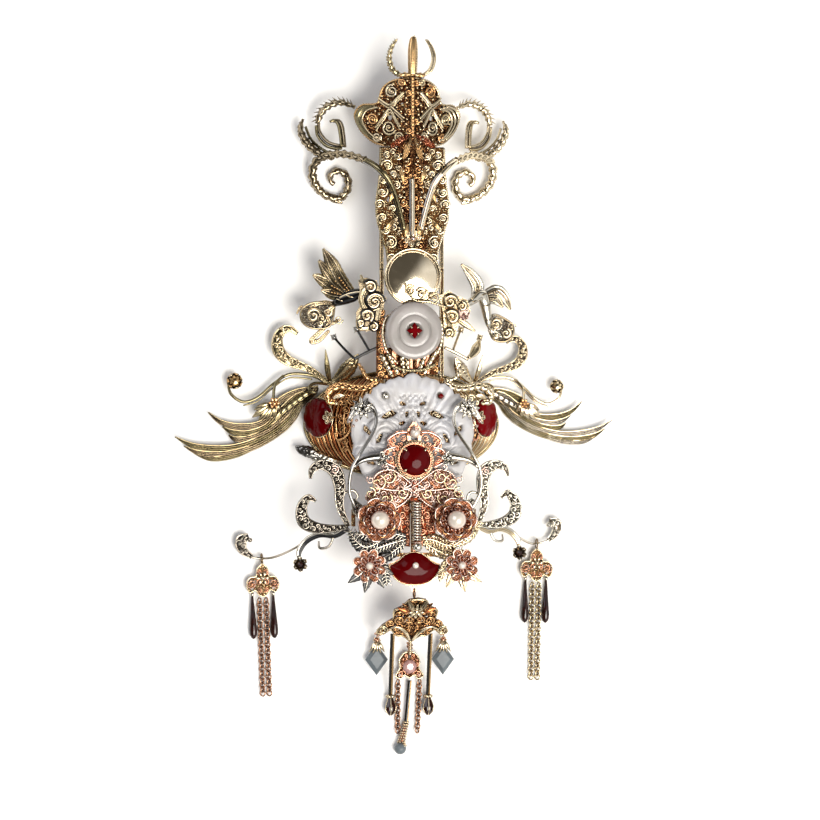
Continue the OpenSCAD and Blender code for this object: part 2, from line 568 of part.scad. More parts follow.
// How each upper spray sits, as [side, root x, root y, reach, turn]
upper_sites = [[left, 31.2, 17.1, 1.06, 1], [right, 31.2, 17.1, 0.92, -2]];
module upper_spray(site) {
    color(site[0] < 0 ? olive_gold : pale_gold) on_side(site[0])
        translate([site[1], site[2], -0.4]) rotate([0, 0, site[4]]) scale(site[3]) {
            for (rows = upper_wires) wire(rows, sides = 4);
            wire(upper_leaf, sides = 4, flat = 0.3);
            translate(lily_at) {
                cylinder(d = 3.4, h = 1.7, center = true, $fn = 8);
                for (turn = [-130, -98, -66, -34]) rotate([0, 0, turn]) wire(lily_petal, sides = 4, flat = 0.35, steps = 1);
            }
            translate([40.2, 0.8, 4.8]) rosette(5, 3.4, 2, 0.9, 2.6, 15);
        }
}

// Horns: a beaded curl beside the plaque
horn_rows = [[14.6, 18.6, 26.2, 1.8], [18.6, 15.6, 25.4, 2.2], [24, 15.4, 24, 2.6], [30.4, 16.4, 22.4, 2.8],
    [35.2, 13.8, 21.4, 2.6], [35.4, 10, 21, 2.2], [32, 9, 21, 1.4]];
horn_wire = [[15, 18.8, 26.2, 1.4], [19.4, 20.2, 25.6, 1.4], [21.2, 23.4, 25, 1.3], [22.8, 26.2, 24.4, 0.9]];
module horn(side) {
    color(side < 0 ? rose_gold : pale_gold) on_side(side) {
        wire(horn_rows, sides = 5);
        wire(horn_wire, sides = 4);
        grains_on(horn_rows, 3, 8, 1.7);
    }
}

// Lower sprays: two engraved curls, a bud branch and the long wire that holds a pendant
lower_wires = [
    [[0.3, -1.8, 29.8, 2], [3.6, 7, 31.4, 2.8], [3.4, 17, 32, 3.4], [5, 23.6, 32, 4], [10, 26, 32, 3.4], [14.6, 24, 32, 2.2],
     [15.6, 20, 32, 0.8]],
    [[0.6, -2.2, 29.4, 2], [6, -2.4, 28.4, 2.4], [14, -1.6, 27, 3.4], [19.4, 1.4, 26, 4], [19.8, 8, 26, 3.4],
     [16, 12, 26, 2.2], [13.2, 10, 26, 0.8]],
    [[0.1, -2.8, 29.2, 1.8], [6, -5.4, 27, 1.8], [12, -4.8, 24, 1.6], [17.4, -7, 21.6, 1.6], [20.8, -11.4, 20.4, 1.6],
     [21, -16, 20, 1.2]],
    [[16.6, -6.6, 22, 1.4], [23, -10.6, 16, 1.3], [29, -13.4, 7.6, 1.2], [33.6, -14, 3.7, 1.1], [39, -13, 3.2, 1.2],
     [43, -9.4, 3.2, 1.3], [43, -5.4, 3.4, 1.2], [39.8, -4, 3.9, 1]],
    [[6.2, -5.4, 26.8, 1.4], [8.6, -10, 25.6, 1.4], [12.4, -10.6, 24.6, 1.3], [12.6, -7.6, 24.4, 0.8]]
];
// How each lower spray sits, as [side, root x, root y, reach, turn]
lower_sites = [[left, 28, -41.6, 1, -4], [right, 28, -41.2, 0.92, 4]];
module lower_spray(site) {
    color(silver_gold) on_side(site[0])
        translate([site[1], site[2], 0]) rotate([0, 0, site[4]]) {
            for (rows = lower_wires) wire([for (r = rows) [site[3] * r[0], site[3] * r[1], r[2], r[3]]], sides = 5);
            translate(site[3] * [20.9, -17, 0] + [0, 0, 20]) rosette(5, 3.6, 1.8, 0.9, 2.4, -30);
            translate(site[3] * [39.4, -4.4, 0] + [0, 0, 4]) rosette(5, 3.4, 2, 0.9, 2.6, 10);
        }
}

// Cranes: a long polished neck with a crested head, and a bud on a side branch
crane_neck = [[25, -36.4, 33.2, 1.6], [28.4, -29, 34.6, 1.6], [28, -19.6, 37, 1.6], [24.4, -12.6, 37.4, 1.7],
    [18.6, -3.6, 36, 1.7], [16.8, 2.2, 35, 1.8], [18, 7, 34.6, 2], [21, 9, 34.4, 2.8]];
crane_head = [[20.4, 9, 34.4, 2.8], [24, 7.4, 34.2, 5], [27.2, 4, 34, 3], [29.4, 0.4, 34, 0.6]];
crane_branch = [[27.6, -18.6, 37, 1.4], [23.4, -15.4, 36, 1.4], [18.4, -14.6, 35.4, 2.2], [14.6, -14.6, 35, 3]];
module crane(side) {
    color(dark_metal) on_side(side) {
        wire(crane_neck, sides = 5);
        wire(crane_head, sides = 6, flat = 0.8);
        wire(crane_branch, sides = 5);
        for (turn = [60, 20, -20, -110]) translate([23, 7, 35]) rotate([0, -8, turn]) petal(5.4, 2, 0.8, 0.4);
        translate([14.4, -14.6, 35]) rosette(5, 2.8, 1.7, 0.8, 2.6, 20);
    }
}

// Centre stone in a beaded setting with filigree beside it
centre_at = [0, -15.2];
setting_z = front_top + gap;
setting_rows = [
    [[2.4, -3.4, 1.2], [7.4, -3.6, 1.4], [10.6, -7, 1.4], [6.6, -11.4, 1.4]],
    [[6, -9.6, 1.2], [11, -11, 1.4], [12.6, -15.4, 1.4], [6.8, -17.4, 1.2]],
    [[2, -8, 1.2], [2.4, -3, 1.4], [0, 0.8, 1.2]]
];
module stone_setting() {
    color(rose_gold) {
        translate([0, 0, setting_z]) sheet(1) {
            translate(centre_at) circle(r = centre_d / 2 + 1, $fn = 48);
            for (side = [left, right]) on_side(side) for (rows = setting_rows) scroll(rows);
        }
        translate([centre_at[0], centre_at[1], setting_z]) {
            rotate_extrude($fn = 72) translate([centre_d / 2 + 0.2, 0]) square([0.8, 2.6]);
            for (k = [0 : 3]) rotate([0, 0, 45 + 90 * k]) translate([centre_d / 2 + 0.2, -0.6, 0])
                cube([0.8, 1.2, 3.6]);
        }
    }
}
module centre_stone() {
    r = centre_d / 2;
    color(red) translate([centre_at[0], centre_at[1], setting_z + 1.2]) rotate_extrude($fn = 72)
        polygon(concat([[0, 0], [r, 0]], [for (k = [0 : 8]) [r * cos(10 * k), 1 + 3.4 * sin(10 * k)]], [[0, 4.4]]));
}
module top_pearl() {
    color(cream) translate([0, -3.6, setting_z + 1.2 + 2.2]) sphere(d = 4.3, $fn = 40);
}

// Butterfly of filigree under the centre stone
butterfly_rows = [
    [[1.4, -25.6, 1.4], [6, -23.6, 1.6], [10.6, -20.6, 1.6], [15.6, -22.4, 1.6], [14.6, -26.6, 1.4], [9, -27.4, 1.2],
     [2, -26.6, 1.2]],
    [[1.4, -27.4, 1.4], [8, -29.4, 1.4], [15, -28.6, 1.6], [19, -30.6, 1.4], [16.6, -34, 1.4], [10, -34.4, 1.4],
     [2, -30, 1.2]],
    [[4.6, -26.8, 1], [9, -24, 1.2], [14.6, -23, 1]],
    [[4, -30.6, 1], [11.6, -31.6, 1.2], [17.4, -31.8, 1]]
];
module butterfly() {
    color(rose_gold) translate([0, 0, setting_z]) sheet(1.2) {
        for (side = [left, right]) on_side(side) for (rows = butterfly_rows) scroll(rows);
        translate([-1.7, -33]) square([3.4, 9]);
        for (side = [left, right], p = [[8.6, -22.4, 2.4], [12.4, -20.6, 2.2], [9, -31.4, 2.6], [14, -31.6, 2.4]])
            translate([side * p[0], p[1]]) circle(d = p[2], $fn = 14);
    }
}

bar_z = 38;
module body_bar() {
    color(rose_gold) translate([0, 0, bar_z]) {
        translate([-1.5, -54, 0]) cube([3, 21, 1.6]);
        for (k = [0 : 6]) translate([0, -34 - 2.4 * k, 1.4]) rotate([0, 90, 0])
            cylinder(d = 1.9, h = 4, center = true, $fn = 20);
        translate([0, -52.2, 3]) sphere(d = 4.3, $fn = 32);
    }
}

// Pearl flowers: a dish, six outer petals and the pearl in the middle
module pearl_flower(side) {
    color(rose_gold) translate([side * pearl_at[0], pearl_at[1], pearl_z - 5.8]) {
        rosette(6, 9, 6.4, 0.9, 6, 16);
        translate([0, 0, 1]) rosette(6, 6.4, 3, 0.8, 5.4, 26, 30);
    }
}
module pearl(side) {
    color(cream) translate([side * pearl_at[0], pearl_at[1], pearl_z]) sphere(d = pearl_d, $fn = 64);
}

// Leaves spread under the flowers
leaf_left_rows = [
    [[-3.4, -49, 1.6], [-10.6, -51, 4.4], [-17.6, -53, 3.8], [-24.6, -51.4, 0.6]],
    [[-3.8, -50.2, 1.6], [-11.4, -55.6, 4], [-18, -58, 3], [-22.6, -57.4, 0.6]],
    [[-3.8, -48, 1.6], [-11, -46.6, 3.2], [-20, -47.4, 3], [-26.6, -46.4, 0.6]]
];
leaf_right_rows = [
    [[3.4, -49, 1.6], [8.4, -49.6, 4], [13.4, -51.6, 3.4], [18, -51.8, 0.8]],
    [[4, -50.4, 1.6], [10.6, -54.4, 3.6], [17, -55.4, 3], [21.6, -54, 1]],
    [[16.4, -52, 2], [22.4, -48.4, 3.8], [26, -44.4, 3], [28.6, -41, 0.6]]
];
leaf_z = front_top + gap;
module leaf(table, tint) {
    color(tint) translate([0, 0, leaf_z]) blades(table, 1, 0.6);
}

module small_flower(side) {
    color(rose_gold) on_side(side) translate([flower_at[0], flower_at[1], flower_z]) {
        rosette(7, 6.8, 2.8, 0.9, 4, 8, 20);
        wire([[-0.8, -1.2, -0.1, 2.2], [-5.2, -5.8, -0.6, 2.6], [-7.6, -9.4, -1, 0.5]], sides = 4, flat = 0.4);
        translate([0, 0, 1.4]) sphere(d = 3.6, $fn = 12);
    }
}

// Crescent: a red domed stone in a toothed setting
crescent_z = front_top + gap;
crescent_half = [[0, 5.6], [3.6, 4.6], [7, 1.8], [10.4, 0.2], [9.4, -3.4], [6.4, -6.4], [3, -7.6], [0, -7.8]];
function whole(half) = concat(half, [for (i = [len(half) - 2 : -1 : 1]) [-half[i][0], half[i][1]]]);
module crescent_setting() {
    color(rose_gold) translate([0, crescent_y, crescent_z]) {
        linear_extrude(1) offset(delta = 0.7) polygon(whole(crescent_half));
        for (k = [-4 : 4]) rotate([0, 0, 11 * k]) translate([0, -8.5, 0.5])
            cylinder(d = 1.5, h = 1.4, center = true, $fn = 6);
        translate([0, -9.9, 0.5]) difference() {
            cylinder(d = 2.6, h = 0.8, center = true, $fn = 24);
            cylinder(d = 1.4, h = 3, center = true, $fn = 24);
        }
    }
}
module crescent_stone() {
    color(red) translate([0, crescent_y, crescent_z + 1.2]) {
        linear_extrude(1.4) polygon(whole(crescent_half));
        translate([0, -0.6, 1.4]) linear_extrude(1.8, scale = [0.7, 0.6]) offset(delta = -0.1)
            polygon(whole(crescent_half));
    }
}

// Middle tassel: it hangs from the loop under the crescent and slopes down to the rest plane
loop_at = [0, crescent_y - 9.9, crescent_z + 0.5];
ring_r = 2;
hang_at = [1.6, -72.1, 34];
hang_tilt = 45;
rhombus_at = [14.6, -102, 4.2];
tassel_x = 3.1;
tassel_at = [tassel_x, -99.8, 2.4];
// The turn that lays -Y along a direction
function lay(d) = [asin(-d[2] / norm(d)), 0, atan2(d[0], -d[1])];
// Links in a row along -Y, turned about the row by 45 degrees to either side
module links(count) {
    for (k = [0 : count - 1]) translate([0, -link_pitch * k - link_r, 0]) rotate([0, 45 + 90 * (k % 2), 0])
        rotate_extrude($fn = 24) translate([link_r, 0]) circle(r = link_wire, $fn = 14);
}
module chain(from, to) {
    translate(from) rotate(lay(to - from)) links(floor((norm(to - from) - 2 * link_wire) / link_pitch));
}
module rod(from, to, d) {
    translate(from) rotate(lay(to - from)) rotate([90, 0, 0]) cylinder(d = d, h = norm(to - from), $fn = 16);
}
medallion_half = [[0, -2.8], [3.6, -3.6], [6, -7.6], [9.4, -10], [9.2, -15.4], [13.2, -19.4], [15.4, -23.2],
    [12.6, -24.4], [9.6, -21.8], [6.6, -25.4], [3.4, -26], [0, -29.6]];
medallion_gaps = [[4, -9, 4.4, 1.8, 60], [6.2, -14.2, 4.8, 2, 20], [3.4, -17, 4.4, 1.8, -40], [6.4, -20.4, 4, 1.8, 30]];
module medallion() {
    color(rose_gold) {
        translate(loop_at - [0, ring_r, 0]) rotate([0, 90, 0]) rotate_extrude($fn = 30)
            translate([ring_r, 0]) circle(r = 0.32, $fn = 14);
        translate(hang_at) rotate([hang_tilt, 0, 0]) {
            linear_extrude(1.2) difference() {
                polygon(whole(medallion_half));
                for (side = [left, right]) on_side(side) gaps(medallion_gaps);
                translate([0, -27.6]) circle(d = 1.4, $fn = 20);
            }
            translate([0, -12.6, 1]) sphere(d = 3.4, $fn = 24);
        }
    }
}
rhombus_half = [[0, 6.9], [5, 0], [0, -6.9]];
module rhombus(side) {
    color(blue_grey) translate([tassel_x + side * rhombus_at[0], rhombus_at[1], rhombus_at[2]]) {
        linear_extrude(1.3, scale = 0.6) polygon(whole(rhombus_half));
        mirror([0, 0, 1]) linear_extrude(1.3, scale = 0.6) polygon(whole(rhombus_half));
        translate([0, 8.4, 0]) cylinder(d = 2.4, h = 1.6, center = true, $fn = 20);
        translate([0, 7.2, 0]) cube([1, 2.4, 1], center = true);
    }
}
module drop_stone(length, width, facets) {
    rotate([90, 0, 0]) {
        cylinder(d1 = width * 0.3, d2 = width, h = length * 0.6, $fn = facets);
        translate([0, 0, length * 0.6]) cylinder(d1 = width, d2 = width * 0.35, h = length * 0.4, $fn = facets);
    }
}
drop_at = [8.3, -117.6, 2.7];
module rod_drops() {
    color(garnet) for (side = [left, right]) {
        rod([hang_at[0] + side * drop_at[0], -90.4, 17.4], [tassel_x + side * drop_at[0], drop_at[1] - 1, 2.7], 1);
        translate([tassel_x + side * drop_at[0], drop_at[1], drop_at[2]]) drop_stone(8.8, 4.8, 8);
    }
}
tassel_half = [[0, 1], [2.4, 0.4], [4.4, -2.6], [4.2, -6], [6, -9.4], [3.6, -10.6], [2.4, -9], [0, -10.4]];
module tassel_medallion() {
    color(rose_gold) translate(tassel_at) {
        linear_extrude(1.2) difference() {
            polygon(whole(tassel_half));
            translate([0, -1.2]) circle(d = 1.3, $fn = 20);
            for (x = [-4.3, 4.3]) translate([x, -9.2]) circle(d = 1.3, $fn = 20);
        }
        translate([0, -5.4, 1]) cylinder(d1 = 5, d2 = 3, h = 1.4, $fn = 8);
    }
}
module tassel_chains() {
    color(pale_gold) {
        chain([-1.6, -110.9, 1.4], [-1.8, -134.6, 1.4]);
        chain([7.9, -110.9, 1.4], [6.9, -134.6, 1.4]);
        chain([hang_at[0], -93.9, 13.2], [tassel_x, -98.5, 3.4]);
        for (side = [left, right])
            chain([hang_at[0] + side * 13.8, -89.9, 17], [tassel_x + side * rhombus_at[0], -91.2, 5.2]);
    }
}
module tassel_tube() {
    color(pale_gold) {
        translate([3.4, -111.2, 2.2]) rotate([90, 0, -5]) cylinder(d = 1.8, h = 19, $fn = 24);
        translate([1.8, -129.8, 2.2]) rotate([90, 0, -14]) cylinder(d1 = 1.9, d2 = 3, h = 9, $fn = 24);
        translate([-0.8, -140.8, ball_d / 2]) sphere(d = ball_d, $fn = 40);
    }
}

// Side pendants, which hang from the long wires and lie flat
// Where each pendant starts, as [side, x, y, lean]
pendant_sites = [[left, -61.6, -58.2, 2], [right, 59.6, -52.2, -1]];
module at_pendant(site) {
    translate([site[1], site[2], 0]) rotate([0, 0, site[3]]) children();
}
cluster_half = [[0, -2.1], [2.2, -4.2], [2.8, -7.4], [5.6, -8], [7, -11], [5.8, -14.2], [3.2, -13.4], [1.8, -15.4], [0, -16.2]];
module pendant_cluster(site) {
    color(pale_gold) at_pendant(site) {
        translate([0, 0, 2.9]) rotate([0, 90, 0]) rotate_extrude($fn = 30) translate([2.2, 0])
            circle(r = 0.3, $fn = 14);
        translate([0, 0, 2.2]) linear_extrude(1) difference() {
            polygon(whole(cluster_half));
            for (x = [-4.6, 4.6]) translate([x, -12.6]) circle(d = 1.3, $fn = 16);
            for (x = [-3.4, 3.4]) translate([x, -9.8]) circle(d = 1.6, $fn = 6);
        }
    }
}
module pendant_drops(site) {
    color(garnet) at_pendant(site)
        for (x = [-4.6, 4.6]) translate([x, -14.6, 1.8]) drop_stone(20, 3.1, 8);
}
module pendant_chains(site) {
    color(pale_gold) at_pendant(site)
        for (x = [-1.4, 1.5]) translate([x, -16.8, 1.4]) links(pendant_links);
}

frame();
cage();
head();
finial();
spine();
spine_flower();
branch(left);  // branch_left
branch(right);  // branch_right
mirror_disc();
ring_backplate();
jade_ring();
ring_stone();
cloud(cloud_left_rows, [[-17.4, 54.6, 4], [-20.6, 43.4, 3]]);  // cloud_left
cloud(cloud_right_rows, [[18.2, 49.8, 4], [16, 40, 3]]);  // cloud_right
bird(bird_left_body, bird_left_wing, bird_left_tail);  // bird_left
bird(bird_right_body, bird_right_wing, bird_right_tail);  // bird_right
bracket(left);  // bracket_left
bracket(right);  // bracket_right
jade_plaque();
side_stone(left, stone_sites[0][1]);  // side_stone_left
side_stone(right, stone_sites[1][1]);  // side_stone_right
wing(wing_sites[0]);  // wing_left
wing(wing_sites[1]);  // wing_right
upper_spray(upper_sites[0]);  // upper_spray_left
upper_spray(upper_sites[1]);  // upper_spray_right
horn(left);  // horn_left
horn(right);  // horn_right
lower_spray(lower_sites[0]);  // lower_spray_left
lower_spray(lower_sites[1]);  // lower_spray_right
crane(left);  // crane_left
crane(right);  // crane_right
stone_setting();
centre_stone();
top_pearl();
butterfly();
body_bar();
pearl_flower(left);  // pearl_flower_left
pearl_flower(right);  // pearl_flower_right
pearl(left);  // pearl_left
pearl(right);  // pearl_right
leaf(leaf_left_rows, dark_metal);  // leaf_left
leaf(leaf_right_rows, pale_gold);  // leaf_right
small_flower(left);  // small_flower_left
small_flower(right);  // small_flower_right
crescent_setting();
crescent_stone();
medallion();
rhombus(left);  // rhombus_left
rhombus(right);  // rhombus_right
rod_drops();
tassel_medallion();
tassel_chains();
tassel_tube();
pendant_cluster(pendant_sites[0]);  // pendant_cluster_left
pendant_cluster(pendant_sites[1]);  // pendant_cluster_right
pendant_drops(pendant_sites[0]);  // pendant_drops_left
pendant_drops(pendant_sites[1]);  // pendant_drops_right
pendant_chains(pendant_sites[0]);  // pendant_chains_left
pendant_chains(pendant_sites[1]);  // pendant_chains_right
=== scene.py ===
"""Dresses a hair crown that lies on its back.

Wire filigree, chased sheet, jade, red glass, pearls and chains are built over the crown's solid parts.
Tables are in millimetres: +X is right, +Y runs to the crown's top, and +Z rises from the surface it lies on.
"""

from __future__ import annotations

import itertools
import logging
import math
from contextlib import contextmanager
from dataclasses import dataclass, field
from enum import Enum
from functools import partial
from typing import Any, Callable, Iterable, Iterator, Sequence

import bpy
import numpy as np
from mathutils import Matrix, Vector
from mathutils.geometry import delaunay_2d_cdt

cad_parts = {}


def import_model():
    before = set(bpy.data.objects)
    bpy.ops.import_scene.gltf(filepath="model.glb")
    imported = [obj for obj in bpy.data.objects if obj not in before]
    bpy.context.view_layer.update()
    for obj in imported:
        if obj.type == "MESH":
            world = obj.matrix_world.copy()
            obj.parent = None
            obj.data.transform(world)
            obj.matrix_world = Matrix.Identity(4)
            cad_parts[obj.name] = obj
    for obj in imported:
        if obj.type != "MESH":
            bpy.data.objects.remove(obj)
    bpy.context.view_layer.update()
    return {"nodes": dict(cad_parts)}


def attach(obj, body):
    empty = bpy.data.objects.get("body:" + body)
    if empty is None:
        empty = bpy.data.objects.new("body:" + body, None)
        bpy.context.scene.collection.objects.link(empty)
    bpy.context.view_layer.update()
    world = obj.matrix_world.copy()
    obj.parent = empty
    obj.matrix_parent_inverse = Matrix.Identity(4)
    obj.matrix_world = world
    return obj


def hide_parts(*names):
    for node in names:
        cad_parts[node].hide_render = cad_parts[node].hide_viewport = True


LOG = logging.getLogger("hair_crown")
MM = 0.001
FULL = 2 * math.pi
MIX_A, MIX_B, MIX_OUT = 6, 7, 2  # a Mix node's colour inputs and its colour output
ROPE_LAY, ROPE_DEPTH = 2.1, 0.24  # a rope's lay in widths, and how deep its strands are cut
BEAD_PITCH = 0.95  # a beaded wire's pitch in widths
WOUND, TAPER = 0.82, 0.25  # what share of its radius and of its width a spiral loses
CROWDED = 0.96  # how much of its room a packed spiral takes
Row = Sequence[float]
Rows = Sequence[Row]
Tree = bpy.types.NodeTree
Socket = bpy.types.NodeSocket
Inputs = dict[Any, Any]


class Side(Enum):
    """The crown's two sides, as the photograph shows them."""

    LEFT = -1
    RIGHT = 1

    @property
    def word(self) -> str:
        """The side's name in lower case."""
        return self.name.lower()

    # Where a piece takes a darker finish on the left and a paler one on the right, the darker is painted
    # shade and the paler painted light.
    def pick(self, left: Any, right: Any) -> Any:
        """What is given for this side."""
        return left if self is Side.LEFT else right


class Wire(Enum):
    """How a wire is worked."""

    PLAIN = "plain"
    ROPE = "rope"
    BEADED = "beaded"


def linear(colour: str) -> tuple[float, float, float, float]:
    """Turns an sRGB hex colour, such as "#d9bd8c", to linear, with an alpha of 1.

    Args:
        colour: the hex value.

    Returns:
        Red, green, blue and alpha.
    """
    parts = [int(colour[i : i + 2], 16) / 255 for i in (1, 3, 5)]
    red, green, blue = [c / 12.92 if c <= 0.04045 else ((c + 0.055) / 1.055) ** 2.4 for c in parts]
    return red, green, blue, 1.0


def tones(first: str, second: str) -> Inputs:
    """The two colours of a mix, from two sRGB hex colours."""
    return {MIX_A: linear(first), MIX_B: linear(second)}


def add_node(tree: Tree, kind: str, links: Inputs | None = None, values: Inputs | None = None,
    **settings: Any) -> bpy.types.Node:
    """Adds a node with its settings and links.

    Args:
        tree: the node tree that it goes in.
        kind: the node's type, without the word ShaderNode.
        links: what feeds each input: a socket, or a node for its first output.
        values: what each input is set to.
        settings: the node's own properties.

    Returns:
        The new node.
    """
    made = tree.nodes.new("ShaderNode" + kind)
    for name, value in settings.items():
        setattr(made, name, value)
    for name, value in (values or {}).items():
        made.inputs[name].default_value = value
    for name, source in (links or {}).items():
        tree.links.new(source.outputs[0] if isinstance(source, bpy.types.Node) else source, made.inputs[name])
    return made


@dataclass(frozen=True)
class Finish:
    """A surface that dresses a piece, with the tone that shows first and a second tone."""

    name: str
    tone: str
    second: str

    def dress(self, tree: Tree, where: Socket) -> tuple[Inputs, Inputs]:
        """Draws the surface by the place in metres: what feeds the shader, and what it is set to."""
        raise NotImplementedError

    def material(self) -> bpy.types.Material:
        """Makes the material.

        Returns:
            The material.
        """
        made = bpy.data.materials.new(self.name)
        made.use_nodes = True
        tree = made.node_tree
        tree.nodes.clear()
        where = add_node(tree, "TexCoord").outputs["Object"]
        shader = add_node(tree, "BsdfPrincipled", *self.dress(tree, where))
        add_node(tree, "OutputMaterial", {"Surface": shader})
        return made


@dataclass(frozen=True)
class GiltBrass(Finish):
    """Gold-plated brass, cast, chased and then rubbed up: its ridges are bright, and painted shade browns its
    grooves.
    """

    rough: float = 0.15
    relief: float = 0.3
    grain: float = 0.5
    # how far the painted shade in the grooves reaches, in millimetres
    reach: float = 1.2
    patch: float = 5.0

    def dress(self, tree: Tree, where: Socket) -> tuple[Inputs, Inputs]:
        """Paints shade into the grooves, mottles the plating and roughens it with the tool's marks.

        Args:
            tree: the material's node tree.
            where: the place in metres.

        Returns:
            What feeds the shader, and what it is set to.
        """
        patches = add_node(tree, "TexNoise", {"Vector": where},
            {"Scale": 1 / (self.patch * MM), "Detail": 4.0})
        cover = add_node(tree, "MapRange", {"Value": patches},
            {"From Min": 0.36, "From Max": 0.64, "To Min": 0.8})
        # ambient occlusion finds grooves and hollows; the second tone that they take there is painted shade
        depth = add_node(tree, "AmbientOcclusion", values={"Distance": self.reach * MM},
            samples=6).outputs["AO"]
        unshaded_share = add_node(tree, "MapRange", {"Value": depth}, {"From Min": 0.4, "From Max": 0.9})
        share = add_node(tree, "Math", {0: unshaded_share, 1: cover}, operation="MULTIPLY")
        plating = add_node(tree, "Mix", {0: share}, tones(self.second, self.tone), data_type="RGBA")
        polish = add_node(tree, "MapRange", {"Value": patches}, {"From Min": 0.3, "From Max": 0.7,
            "To Min": self.rough + 0.12, "To Max": max(self.rough - 0.06, 0.04)})
        marks = add_node(tree, "TexNoise", {"Vector": where}, {"Scale": 1 / (self.grain * MM), "Detail": 2.0})
        bump = add_node(tree, "Bump", {"Height": marks}, {"Strength": self.relief, "Distance": 0.12 * MM})
        links = {"Base Color": plating.outputs[MIX_OUT], "Roughness": polish, "Normal": bump}
        return links, {"Metallic": 1.0}


@dataclass(frozen=True)
class ShotBrass(Finish):
    """Gilt brass set with soldered shot: bright grains, with painted shade darkening the ground between them,
    drawn coarse enough to show.
    """

    grain: float = 0.95

    def dress(self, tree: Tree, where: Socket) -> tuple[Inputs, Inputs]:
        """Raises the grains and paints shade on the ground between them.

        Args:
            tree: the material's node tree.
            where: the place in metres.

        Returns:
            What feeds the shader, and what it is set to.
        """
        cells = add_node(tree, "TexVoronoi", {"Vector": where},
            {"Scale": 1 / (self.grain * MM), "Randomness": 0.8})
        # the ground between the grains takes the dark second tone: painted shade
        dome = add_node(tree, "MapRange", {"Value": cells}, {"From Min": 0.6, "From Max": 0.15})
        shot = add_node(tree, "Mix", {0: dome}, tones(self.second, self.tone), data_type="RGBA")
        bump = add_node(tree, "Bump", {"Height": dome}, {"Strength": 1.0, "Distance": 0.4 * MM})
        return {"Base Color": shot.outputs[MIX_OUT], "Normal": bump}, {"Metallic": 1.0, "Roughness": 0.22}


@dataclass(frozen=True)
class WovenCopper(Finish):
    """Rose-gilt copper gauze, woven of fine wire: a bright net over dark gaps."""

    pitch: float = 0.85

    def dress(self, tree: Tree, where: Socket) -> tuple[Inputs, Inputs]:
        """Crosses two rows of wires, a little coarser than the real gauze so that they show.

        Args:
            tree: the material's node tree.
            where: the place in metres.

        Returns:
            What feeds the shader, and what it is set to.
        """
        rows = {}
        for k, slant in enumerate((0.78, -0.78)):
            laid = add_node(tree, "Mapping", {"Vector": where}, {"Rotation": (0.0, 0.0, slant)})
            weave = {"Scale": 0.314 / (self.pitch * MM), "Distortion": 1.2, "Detail": 1.0}
            rows[k] = add_node(tree, "TexWave", {"Vector": laid}, weave, bands_direction="X").outputs["Fac"]
        net = add_node(tree, "Math", rows, operation="MAXIMUM")
        share = add_node(tree, "MapRange", {"Value": net}, {"From Min": 0.45, "From Max": 0.95})
        gauze = add_node(tree, "Mix", {0: share}, tones(self.second, self.tone), data_type="RGBA")
        bump = add_node(tree, "Bump", {"Height": net}, {"Strength": 0.9, "Distance": 0.25 * MM})
        return {"Base Color": gauze.outputs[MIX_OUT], "Normal": bump}, {"Metallic": 1.0, "Roughness": 0.3}


@dataclass(frozen=True)
class CarvedJade(Finish):
    """White nephrite jade, sawn, carved and waxed: milky, a little blue, with soft clouds, and painted shade
    greying its cuts.
    """

    # the grey that the carved cuts take: painted shade
    cut: str
    rough: float = 0.28

    def dress(self, tree: Tree, where: Socket) -> tuple[Inputs, Inputs]:
        """Clouds the stone, paints shade into its cuts and lets some light in.

        Args:
            tree: the material's node tree.
            where: the place in metres.

        Returns:
            What feeds the shader, and what it is set to.
        """
        cloudy = {"Scale": 1 / (9 * MM), "Detail": 5.0, "Distortion": 0.6}
        clouds = add_node(tree, "TexNoise", {"Vector": where}, cloudy)
        share = add_node(tree, "MapRange", {"Value": clouds}, {"From Min": 0.38, "From Max": 0.66})
        stone = add_node(tree, "Mix", {0: share}, tones(self.tone, self.second), data_type="RGBA")
        # ambient occlusion finds the cuts, which take the cut grey there as painted shade
        depth = add_node(tree, "AmbientOcclusion", values={"Distance": 1.6 * MM}, samples=6).outputs["AO"]
        unshaded_share = add_node(tree, "MapRange", {"Value": depth}, {"From Min": 0.45, "From Max": 0.95})
        cuts = add_node(tree, "Mix", {0: unshaded_share, MIX_B: stone.outputs[MIX_OUT]}, {MIX_A: linear(self.cut)},
            data_type="RGBA")
        fine = add_node(tree, "TexNoise", {"Vector": where}, {"Scale": 1 / (0.7 * MM), "Detail": 2.0})
        bump = add_node(tree, "Bump", {"Height": fine}, {"Strength": 0.12, "Distance": 0.1 * MM})
        inner = {"Subsurface Weight": 0.7, "Subsurface Radius": (0.0034, 0.0032, 0.003),
            "Subsurface Scale": 1.0}
        values = {"Roughness": self.rough, "IOR": 1.61, **inner}
        return {"Base Color": cuts.outputs[MIX_OUT], "Normal": bump}, values


@dataclass(frozen=True)
class PressedGlass(Finish):
    """Coloured glass, pressed and fire-polished: deep in the body, glossy, with faint streaks inside."""

    rough: float = 0.06
    clear: float = 0.0
    streaks: float = 4.0
    shine: float = 0.5

    def dress(self, tree: Tree, where: Socket) -> tuple[Inputs, Inputs]:
        """Streaks the glass and gives it its gloss.

        Args:
            tree: the material's node tree.
            where: the place in metres.

        Returns:
            What feeds the shader, and what it is set to.
        """
        wavy = {"Scale": 1 / (self.streaks * MM), "Detail": 3.0, "Distortion": 1.5}
        swirl = add_node(tree, "TexNoise", {"Vector": where}, wavy)
        share = add_node(tree, "MapRange", {"Value": swirl}, {"From Min": 0.35, "From Max": 0.75})
        glass = add_node(tree, "Mix", {0: share}, tones(self.tone, self.second), data_type="RGBA")
        values = {"IOR": 1.52, "Specular IOR Level": self.shine, "Transmission Weight": self.clear}
        return {"Base Color": glass.outputs[MIX_OUT]}, {"Roughness": self.rough, **values}


